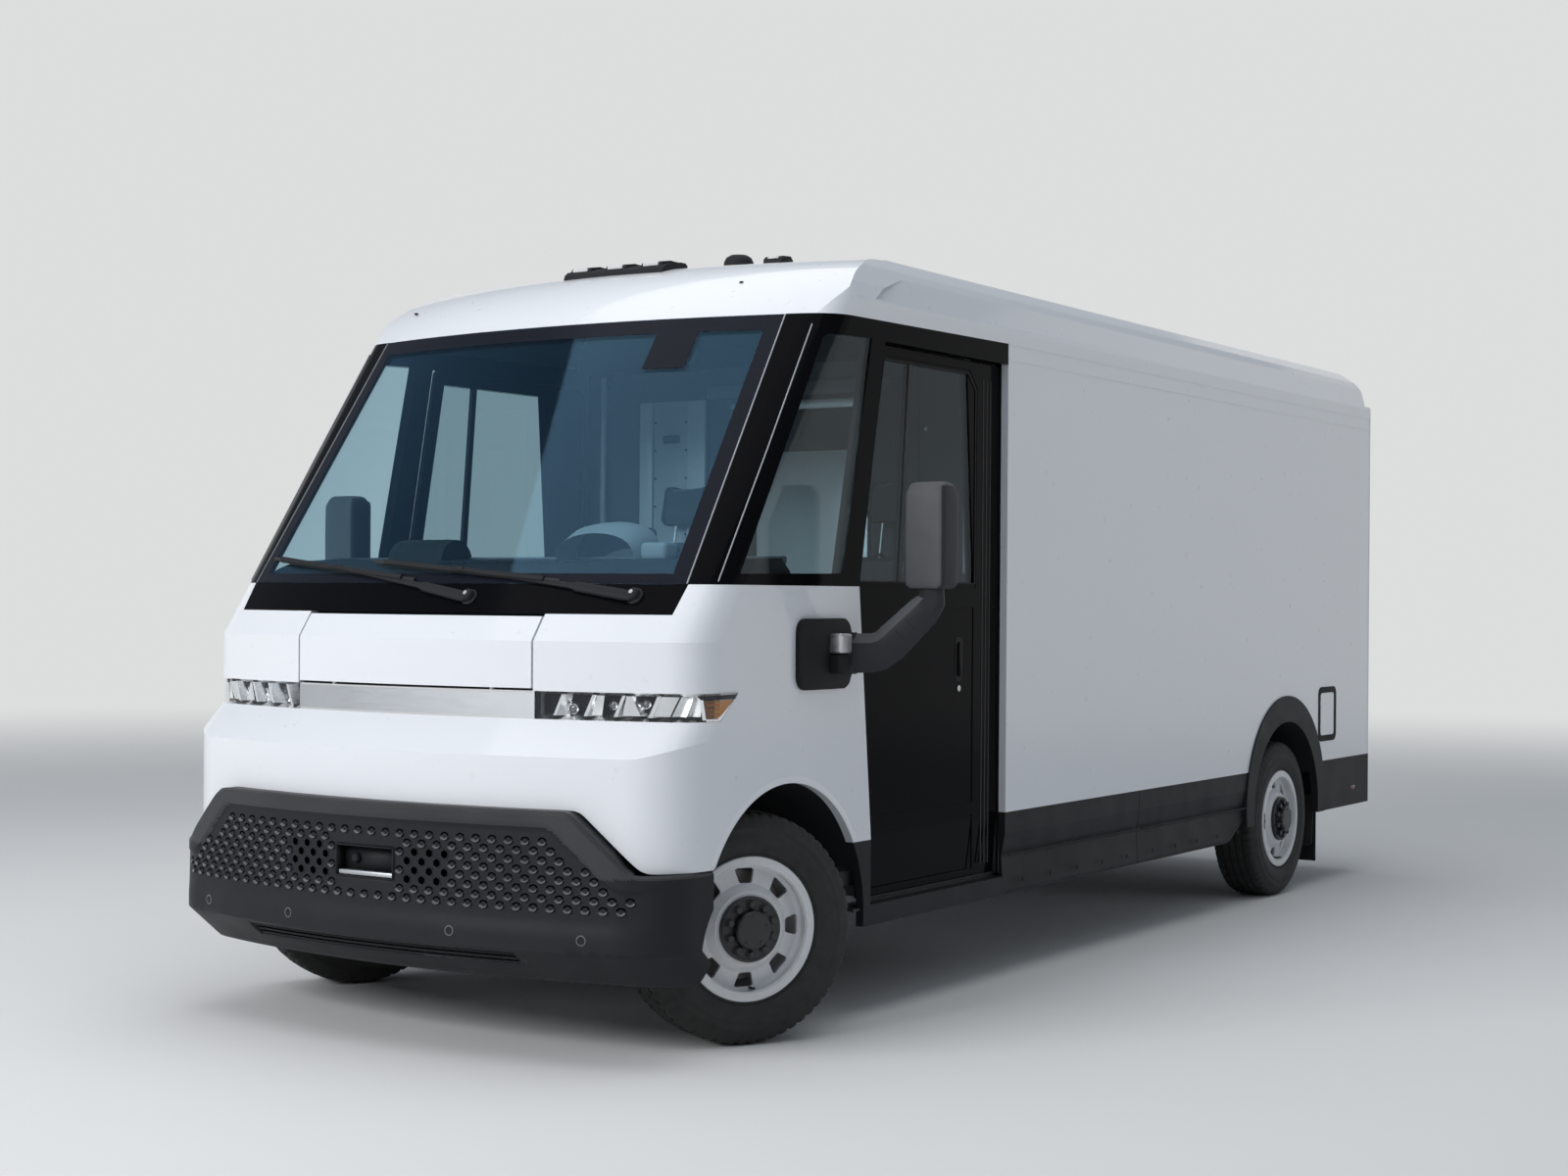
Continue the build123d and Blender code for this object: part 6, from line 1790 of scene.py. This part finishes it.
def cab_doors():
    """Glass surround, pressed lower panel, pull handle with its lock, edge seals and inner trim."""
    for side, hand in ((1, "left"), (-1, "right")):
        shape = Shape(f"cab_door_{hand}_trim")
        skin = 1.0465
        ribbon(shape, inset_outline(DOOR_GLASS, -0.006), skin, 0.012, 0.0030, SEAL)
        ribbon(shape, inset_outline(DOOR_GLASS, -0.024), skin, 0.005, 0.0018, GLOSS_BLACK)
        lower = [(0.560, 0.700), (0.512, 1.440), (1.345, 1.440), (1.345, 0.700)]
        ribbon(shape, lower, skin, 0.007, 0.0020, GLOSS_BLACK)
        ribbon(
            shape, [(0.590, 0.440), (0.575, 0.655), (1.345, 0.655), (1.345, 0.440)], skin, 0.006, 0.0020,
            GLOSS_BLACK,
        )
        for y in (1.418, 1.447, 1.476):
            shape.block((skin + 0.0008, FRONT_AXLE + y, 1.385), (0.0040, 0.007, 1.86), SEAL, 0.0015, 1)
        # divider between the two panes
        low, high = Vector((1.0375, FRONT_AXLE + 0.790, 1.533)), Vector((1.0375, FRONT_AXLE + 0.860, 2.327))
        shape.sweep(
            [low, high], [(-0.009, -0.011), (0.009, -0.013), (0.009, 0.013), (-0.009, 0.011)], SEAL,
            up=(0, 1, 0),
        )
        # recessed pull and lock
        handle = (1.235, 1.245)
        plate(
            shape, shift_outline(rounded_outline(0.060, 0.170, 0.024), handle), skin - 0.0008, 0.0030,
            SEAL_PLASTIC,
        )
        plate(
            shape, shift_outline(rounded_outline(0.026, 0.130, 0.012), handle), skin + 0.0018, 0.0062,
            GLOSS_BLACK, 0.0025, 2,
        )
        lock = turned((skin + 0.0015, FRONT_AXLE + handle[0], 1.135), math.pi / 2, "Y")
        shape.lathe([(0.012, 0.0), (0.012, 0.003), (0.009, 0.004), (0.0, 0.004)], ALUMINIUM, lock, 20)
        # rubber tail that closes the pocket's mouth
        shape.block((1.030, DOOR_REAR_Y + 0.009, 1.385), (0.026, 0.034, 1.965), SEAL, 0.005, 2)
        # rubber edges that close the gap round the leaf, and a brush under it
        edge = [(0.5415, 0.414), (0.5415, 0.627), (0.4515, 1.515), (0.6195, 2.3785), (1.530, 2.3785)]
        shape.tube([(1.030, FRONT_AXLE + y, z) for y, z in edge], 0.0045, SEAL, 8)
        shape.block((1.030, FRONT_AXLE + 1.0445, 0.4095), (0.014, 0.985, 0.008), SEAL, 0.001, 1)
        # inner trim panel, grab bar and latch
        inner = 1.0125
        plate(
            shape, [(0.600, 0.520), (0.560, 1.460), (1.330, 1.460), (1.330, 0.520)], inner - 0.007, 0.0075,
            TRIM_GREY, 0.002, 2,
        )
        bar = [(inner - 0.004, FRONT_AXLE + 0.645, z) for z in (1.00, 1.42)]
        shape.tube(
            [bar[0], (inner - 0.040, bar[0][1], 1.03), (inner - 0.040, bar[0][1], 1.39), bar[1]], 0.010,
            FRAME_BLACK, 12,
        )
        for y, z in ((0.720, 0.560), (0.720, 1.420), (1.290, 0.560), (1.290, 1.420)):
            screw = turned((inner - 0.0066, FRONT_AXLE + y, z), -math.pi / 2, "Y")
            shape.lathe(
                [(0.010, 0.0), (0.010, 0.0008), (0.006, 0.0014), (0.0, 0.0014)], SEAL_PLASTIC, screw, 12,
            )
        if side < 0:
            bmesh.ops.scale(shape.bm, vec=(-1.0, 1.0, 1.0), verts=shape.bm.verts[:])
            bmesh.ops.reverse_faces(shape.bm, faces=shape.bm.faces[:])
        shape.finish(f"sliding_door_{hand}")


def sills_and_skirts():
    """Step treads, door guide, skirt creases, clips and mud flaps."""
    shape = Shape("sill_and_skirt_details")
    # step tread with studs in the door opening
    plate_top = 0.5155
    for k in range(14):
        shape.block(
            (0.880, FRONT_AXLE + 0.68 + 0.05 * k, plate_top), (0.190, 0.010, 0.0040), SEAL_PLASTIC, 0.0015, 1,
        )
    shape.block((0.986, FRONT_AXLE + 1.01, plate_top + 0.001), (0.018, 0.72, 0.006), ALUMINIUM, 0.002, 1)
    # closing plate and guide under the cab door
    shape.block((1.028, FRONT_AXLE + 1.035, 0.3845), (0.088, 1.180, 0.010), FRAME_BLACK, 0.003, 2)
    shape.block((1.066, FRONT_AXLE + 1.035, 0.3925), (0.006, 1.100, 0.010), SEAL_PLASTIC, 0.002, 2)
    shape.block((1.030, FRONT_AXLE + 1.030, 0.3960), (0.012, 1.150, 0.017), FRAME_BLACK, 0.001, 1)
    # crease line and clips along the skirt
    for start, end in ((1.575, 2.795), (2.825, 4.045)):
        points = [(1.0895, FRONT_AXLE + y, 0.478) for y in (start, end)]
        shape.sweep(points, [(-0.0025, -0.006), (0.0028, 0.0), (-0.0025, 0.004)], CHARCOAL)
        for k in range(5):
            y = start + (end - start) * (k + 0.5) / 5
            clip = turned((1.0885, FRONT_AXLE + y, 0.372), math.pi / 2, "Y")
            shape.lathe(
                [(0.010, 0.0), (0.010, 0.0022), (0.006, 0.0034), (0.0, 0.0034)], SEAL_PLASTIC, clip, 14,
            )
    # mud flaps behind the rear wheels
    flap = [(-0.115, 0.0), (0.115, 0.0), (0.115, -0.250), (0.095, -0.262), (-0.095, -0.262), (-0.115, -0.250)]
    at = placed((0.945, REAR_AXLE + 0.470, 0.470), (1, 0, 0), (0, 0.10, 1))
    shape.prism(flap, 0.006, SEAL, at, 0.0015, 1)
    for k in range(7):
        rib = [at @ Vector((-0.09 + 0.03 * k, z, 0.0068)) for z in (-0.03, -0.24)]
        shape.tube(rib, 0.0022, SEAL, 6)
    shape.mirror()
    shape.finish(crease=36)


def charge_door():
    """Rounded black surround of the charge port door."""
    low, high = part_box("charge_port_door")
    shape = Shape("charge_surround")
    middle = ((low.y + high.y) / 2 - FRONT_AXLE, (low.z + high.z) / 2)
    outer = shift_outline(rounded_outline(0.262, 0.282, 0.040, 6), middle)
    inner = shift_outline(rounded_outline(0.206, 0.220, 0.020, 6), middle)
    part = bmesh.new()
    rings = []
    for outline, x in (
        (outer, 1.0850), (outer, 1.0878), (inset_outline(outer, 0.004), 1.0885),
        (inset_outline(inner, -0.006), 1.0885), (inner, 1.0878), (inner, 1.0850),
    ):
        rings.append([part.verts.new((x, FRONT_AXLE + y, z)) for y, z in outline])
    for one, two in zip(rings, rings[1:]):
        bridge(part, one, two)
    shape.merge(part, SEAL_PLASTIC)
    shape.finish()


def rear_hubs():
    """Ten ribs round each rear hub, so that it stands out as a ribbed black drum under the wheel trim's stepped cap.
    """
    for side, hand in ((1, "left"), (-1, "right")):
        at = wheel_matrix(side, REAR_AXLE, False)
        shape = Shape(f"rear_hub_ribs_{hand}")
        for k in range(10):
            turn = at @ Matrix.Rotation(2 * math.pi * k / 10, 4, "Z")
            shape.block((0.0655, 0.0, 0.126), (0.010, 0.012, 0.024), HUB, 0.003, 2, turn)
        shape.finish(f"wheel_rear_{hand}")


# ---------------------------------------------------------------- rear end
def rear_details():
    """Lamp lenses with their rims, reflectors, high lamps, camera, step tread, sensors and a blank plate holder."""
    shape = Shape("rear_lamp_set")
    face = REAR_Y + 0.018
    for low, high, kind in (
        (1.035, 1.245, RED_LENS), (1.250, 1.325, AMBER_LENS), (1.330, 1.445, RED_LENS),
        (0.830, 0.898, LAMP_CLEAR), (0.903, 0.970, RED_LENS),
    ):
        at = upright((1.028, face - 0.006, (low + high) / 2), (-1, 0, 0))
        shape.prism(rounded_outline(0.036, high - low, 0.008), 0.0062, kind, at, 0.0030, 3)
        for k in range(int((high - low) / 0.011)):
            z = low + 0.008 + 0.011 * k
            if z < high - 0.004:
                shape.tube([(1.014, face + 0.0002, z), (1.042, face + 0.0002, z)], 0.0011, kind, 6)
    for low, high in ((1.030, 1.450), (0.825, 0.975)):
        at = upright((1.028, REAR_Y, (low + high) / 2), (-1, 0, 0))
        shape.prism(rounded_outline(0.044, high - low, 0.010), 0.0125, FRAME_BLACK, at, 0.002, 2)
    at = upright((1.028, REAR_Y + 0.0005, 0.700), (-1, 0, 0))
    shape.prism(rounded_outline(0.040, 0.090, 0.008), 0.005, RED_LENS, at, 0.002, 2)
    shape.mirror()
    for x in (-0.90, -0.13, 0.0, 0.13, 0.90):
        at = upright((x, REAR_Y + 0.0005, 2.425), (-1, 0, 0))
        shape.prism(rounded_outline(0.070, 0.024, 0.010), 0.010, RED_LENS, at, 0.004, 2)
    shape.block((0.0, REAR_Y + 0.008, 2.397), (0.050, 0.020, 0.022), SEAL_PLASTIC, 0.006, 2)
    shape.finish(replaces=("tail_lamps",))
    step = Shape("rear_step_tread")
    for k in range(40):
        x = -0.985 + 1.97 * k / 39
        step.block((x, REAR_Y + 0.036, 0.6355), (0.020, 0.056, 0.0032), SEAL_PLASTIC, 0.001, 1)
    for x in (-0.80, -0.40, 0.40, 0.80):
        at = turned((x, REAR_Y + 0.0695, 0.590), -math.pi / 2, "X")
        step.lathe([(0.0, 0.0), (0.010, 0.0004), (0.012, -0.001), (0.016, 0.0)], DARK_PLASTIC, at, 20)
    plate_at = upright((0.0, REAR_Y + 0.068, 0.590), (-1, 0, 0))
    step.prism(rounded_outline(0.330, 0.076, 0.008), 0.0018, FRAME_BLACK, plate_at, 0.0006, 1)
    for x in (-0.45, 0.45):
        step.block((x, REAR_Y - 0.020, 0.665), (0.30, 0.030, 0.040), FRAME_BLACK, 0.006, 2)
    step.finish()


def rear_leaves():
    """Pressed borders, hinge bolts, ribbed inner linings, grab bars and seals of the rear doors."""
    for side, hand in ((1, "left"), (-1, "right")):
        shape = Shape(f"rear_door_{hand}_trim")
        middle = side * 0.480
        for z, height in ((1.160, 0.640), (1.950, 0.640)):
            outline = rounded_outline(0.712, height + 0.002, 0.032, 5)
            points = [(middle + a, REAR_Y + 0.0002, z + b) for a, b in outline]
            shape.tube(points, 0.0022, WHITE, 6, closed=True)
            outline = rounded_outline(0.560, height - 0.150, 0.028, 5)
            points = [(middle + a, REAR_Y - 0.0078, z + b) for a, b in outline]
            shape.tube(points, 0.0026, WHITE, 6, closed=True)
        for z in (0.950, 1.560, 2.170):
            for dx, dz in ((0.905, -0.026), (0.905, 0.026), (0.930, -0.026), (0.930, 0.026)):
                bolt = turned((side * dx, REAR_Y + 0.0108, z + dz), -math.pi / 2, "X")
                shape.lathe(
                    [(0.0065, 0.0), (0.0065, 0.003), (0.004, 0.0045), (0.0, 0.0045)], ALUMINIUM, bolt, 6,
                )
        # inner lining with pressed ribs and a pull strap bar
        at = upright((middle, REAR_Y - 0.0365, 1.560))
        shape.prism(rounded_outline(0.800, 1.480, 0.030), 0.006, PLYWOOD, at, 0.002, 2)
        for z in (1.00, 1.28, 1.56, 1.84, 2.12):
            points = [(middle - 0.36, REAR_Y - 0.0425, z), (middle + 0.36, REAR_Y - 0.0425, z)]
            shape.sweep(
                points, [(-0.004, -0.018), (0.004, -0.012), (0.004, 0.012), (-0.004, 0.018)],
                PLYWOOD,
            )
        grab = [
            (side * 0.16, REAR_Y - 0.040, 1.18), (side * 0.16, REAR_Y - 0.075, 1.20),
            (side * 0.16, REAR_Y - 0.075, 1.46), (side * 0.16, REAR_Y - 0.040, 1.48),
        ]
        shape.tube(grab, 0.010, FRAME_BLACK, 12)
        # rubber seal round the leaf
        edge = [(side * 0.016, 0.756), (side * 0.950, 0.756), (side * 0.950, 2.364), (side * 0.016, 2.364)]
        shape.tube([(x, REAR_Y - 0.0385, z) for x, z in edge], 0.0045, SEAL, 8, closed=True)
        shape.finish(f"rear_door_{hand}")


def cargo_interior():
    """Wall posts, slotted tie rails, floor strips and strip lights in the load space."""
    shape = Shape("cargo_fittings")
    end = REAR_Y - 0.10
    hat = [(-0.030, 0.0), (-0.018, 0.020), (0.018, 0.020), (0.030, 0.0)]
    for k in range(7):
        y = 0.10 + 0.508 * k
        foot = 0.905 if 1.55 < y < 2.58 else 0.742
        points = [(1.0545, y, foot), (1.0545, y, 2.44)]
        shape.sweep(points, hat, PANEL_GREY, up=(-1, 0, 0))
    for z in (1.00, 1.45, 1.90, 2.32):
        rail = [(1.036, y, z) for y in (0.04, end)]
        shape.sweep(
            rail, [(-0.008, -0.030), (0.006, -0.026), (0.006, 0.026), (-0.008, 0.030)], ALUMINIUM,
        )
        # Black patches along each rail stand for its slots as painted shade.
        for k in range(26):
            y = 0.10 + (end - 0.16) * k / 25
            shape.block((1.0295, y, z), (0.0015, 0.030, 0.010), SHADE_BLACK, 0.0004, 1)
    shape.mirror()
    for k in range(30):
        x = -0.870 + 0.060 * k
        shape.block((x, 1.60, 0.7408), (0.018, 2.9, 0.0030), SEAL_PLASTIC, 0.001, 1)
    for x in (-0.35, 0.35):
        shape.block((x, 1.20, 2.7165), (0.060, 3.4, 0.012), LED_WHITE, 0.004, 2)
        shape.block((x, 1.20, 2.7240), (0.084, 3.45, 0.006), ALUMINIUM, 0.002, 1)
    shape.finish()


# ---------------------------------------------------------------- underside
def underside():
    """Battery tray ribs and bolts, spring leaves with U-bolts, drive unit ribs and cables."""
    shape = Shape("underside_details")
    for k in range(13):
        y = -0.540 + 0.160 * k
        shape.block((0.0, y, 0.2975), (1.360, 0.040, 0.010), ALUMINIUM, 0.004, 2)
    for side in (-1, 1):
        shape.block((side * 0.690, 0.416, 0.2985), (0.040, 2.02, 0.012), ALUMINIUM, 0.004, 2)
        for k in range(14):
            bolt = turned((side * 0.690, -0.560 + 0.150 * k, 0.2925), math.pi, "X")
            shape.lathe([(0.010, 0.0), (0.010, 0.005), (0.0, 0.007)], IRON, bolt, 6)
        # spring leaves shown by their edges, with U-bolts round the axle
        for k in range(3):
            reach = 0.52 - 0.12 * k
            shape.block(
                (side * 0.420, REAR_AXLE, 0.398 - 0.012 * k), (0.058, 2 * reach, 0.009), FRAME_BLACK, 0.002,
                1,
            )
        for end in (-0.045, 0.045):
            for x in (0.392, 0.448):
                rod = [(side * x, REAR_AXLE + end, z) for z in (0.440, 0.352)]
                shape.tube(rod, 0.006, IRON, 8)
        shape.block((side * 0.420, REAR_AXLE, 0.352), (0.090, 0.130, 0.012), FRAME_BLACK, 0.003, 1)
    for k in range(9):
        y = FRONT_AXLE - 0.160 + 0.040 * k
        shape.block((0.0, y, 0.2525), (0.300, 0.010, 0.012), ALUMINIUM, 0.002, 1)
    for x, low in ((0.16, 0.47), (0.20, 0.47), (-0.22, 0.47)):
        cable = [
            (x, FRONT_AXLE + 0.23, 0.420), (x, FRONT_AXLE + 0.45, low), (x, FRONT_AXLE + 1.20, low + 0.01),
            (x, FRONT_AXLE + 1.86, 0.46),
        ]
        shape.tube(cable, 0.012, ORANGE_SLEEVE if x > 0 else SEAL, 10)
    shape.finish()


def service_bay():
    """Tray, back panel, two fluid tanks with caps, fuse box and a hose behind the small hood."""
    shape = Shape("service_bay")
    y = -2.965
    shape.block((0.0, y, 1.160), (0.960, 0.130, 0.014), FRAME_BLACK, 0.004, 2)
    shape.block((0.0, y + 0.070, 1.270), (0.960, 0.012, 0.220), DARK_PLASTIC, 0.004, 2)
    for x, width, material in ((-0.310, 0.170, LAMP_CLEAR), (-0.090, 0.120, HOOD_GREY)):
        shape.block((x, y, 1.220), (width, 0.100, 0.105), material, 0.016, 3)
        cap = Matrix.Translation((x, y, 1.270))
        shape.lathe(
            [
                (0.026, 0.0), (0.026, 0.006), (0.030, 0.008), (0.030, 0.024), (0.024, 0.028), (0.0, 0.028),
            ], SEAL_PLASTIC, cap, 24,
            lambda row, k: -0.002 if row in (2, 3) and k % 2 else 0.0,
        )
    shape.block((0.240, y, 1.210), (0.260, 0.105, 0.090), SEAL_PLASTIC, 0.010, 3)
    shape.block((0.240, y, 1.260), (0.240, 0.090, 0.016), DARK_PLASTIC, 0.006, 2)
    hose = [
        (-0.090, y + 0.04, 1.200), (0.02, y + 0.05, 1.185), (0.10, y + 0.04, 1.180), (0.130, y + 0.02, 1.180),
    ]
    shape.tube(hose, 0.010, SEAL, 10)
    shape.finish()


service_bay()
cab_doors()
sills_and_skirts()
charge_door()
rear_hubs()
rear_details()
rear_leaves()
cargo_interior()
underside()


# ---------------------------------------------------------------- studio and camera
def studio():
    """A pale floor that curves up into a round backdrop."""
    material, tree, shader = new_material("studio_pale", (0.82, 0.82, 0.815), 0.9)
    vary_color(tree, shader, noise(tree, 0.4, 3.0), (0.80, 0.80, 0.795), (0.83, 0.83, 0.825))
    shader.inputs["Specular IOR Level"].default_value = 0.2
    seen = add_node(tree, "LightPath")
    either = add_node(tree, "Math", operation="MAXIMUM")
    any_of = add_node(tree, "Math", operation="MAXIMUM")
    place = add_node(tree, "TexCoord")
    distance = add_node(tree, "VectorMath", operation="LENGTH")
    fade = add_node(tree, "MapRange", {"From Min": 6.0, "From Max": 22.0})
    fade.interpolation_type = "SMOOTHSTEP"
    share = add_node(tree, "Math", operation="MULTIPLY")
    glow = add_node(tree, "Emission", {"Color": (0.72, 0.73, 0.73, 1.0)})
    mix = add_node(tree, "MixShader")
    link(
        tree, (seen, "Is Camera Ray", either, 0), (seen, "Is Glossy Ray", either, 1),
        (either, "Value", any_of, 0), (seen, "Is Transmission Ray", any_of, 1),
        (place, "Object", distance, 0), (distance, "Value", fade, "Value"),
        (fade, "Result", share, 0), (any_of, "Value", share, 1),
        (share, "Value", mix, "Fac"), (shader, "BSDF", mix, 1), (glow, "Emission", mix, 2),
        (mix, "Shader", tree.nodes["Material Output"], "Surface"),
    )
    floor_radius, sweep_radius, wall_top = 24.0, 8.0, 14.0
    profile = [(0.0, 0.0), (floor_radius, 0.0)]
    for step in range(1, 13):
        turn = math.radians(90 * step / 12)
        profile.append((floor_radius + sweep_radius * math.sin(turn), sweep_radius * (1 - math.cos(turn))))
    profile.append((floor_radius + sweep_radius, wall_top))
    grid = bmesh.new()
    rings = []
    around = 96
    for radius, height in profile:
        ring = []
        for k in range(around):
            angle = 2 * math.pi * k / around
            ring.append(grid.verts.new((radius * math.cos(angle), radius * math.sin(angle), height)))
            if radius == 0.0:
                break
        rings.append(ring)
    for inner, outer in zip(rings, rings[1:]):
        for k in range(around):
            nxt = (k + 1) % around
            if len(inner) == 1:
                grid.faces.new((inner[0], outer[k], outer[nxt]))
            else:
                grid.faces.new((inner[k], outer[k], outer[nxt], inner[nxt]))
    floor = new_object("studio_floor", grid)
    for face in floor.data.polygons:
        face.use_smooth = True
    floor.data.materials.append(material)


def softbox(name, place, target, size, power):
    """A large rectangular lamp aimed at a point."""
    data = bpy.data.lights.new(name, "AREA")
    data.shape = "RECTANGLE"
    data.size, data.size_y = size
    data.energy = power
    lamp = bpy.data.objects.new(name, data)
    scene.collection.objects.link(lamp)
    lamp.location = place
    lamp.rotation_mode = "QUATERNION"
    lamp.rotation_quaternion = (Vector(target) - Vector(place)).to_track_quat("-Z", "Y")


def lighting():
    """Overhead softbox, a front key, a weak side fill and a pale world."""
    world = bpy.data.worlds.new("pale_world")
    scene.world = world
    world.use_nodes = True
    world.node_tree.nodes["Background"].inputs["Color"].default_value = (0.80, 0.89, 1.0, 1.0)
    world.node_tree.nodes["Background"].inputs["Strength"].default_value = 0.34
    softbox("overhead", (0.0, -1.0, 9.0), (0.0, 0.0, 0.0), (9.0, 12.0), 380.0)
    softbox("front_key", (-3.0, -13.0, 6.0), (0.0, -2.0, 1.2), (7.0, 4.0), 850.0)
    softbox("side_fill", (11.0, 2.0, 4.0), (0.0, 0.0, 1.2), (8.0, 4.0), 22.0)


def camera():
    """The viewing position: ahead of the van's left front corner at eye height."""
    data = bpy.data.cameras.new("camera")
    data.lens = 52.32
    data.sensor_width = 36.0
    data.shift_x = -0.0027
    data.shift_y = 0.0089
    data.clip_end = 200.0
    shot = bpy.data.objects.new("camera", data)
    scene.collection.objects.link(shot)
    yaw, pitch, roll = math.radians(33.0), math.radians(0.14), math.radians(0.4)
    turn = (
        Matrix.Rotation(yaw, 4, "Z")
        @ Matrix.Rotation(math.pi / 2 - pitch, 4, "X")
        @ Matrix.Rotation(roll, 4, "Z")
    )
    shot.matrix_world = Matrix.Translation((5.194, -8.838, 1.478)) @ turn
    scene.camera = shot


studio()
lighting()
camera()
scene.view_settings.view_transform = "Standard"
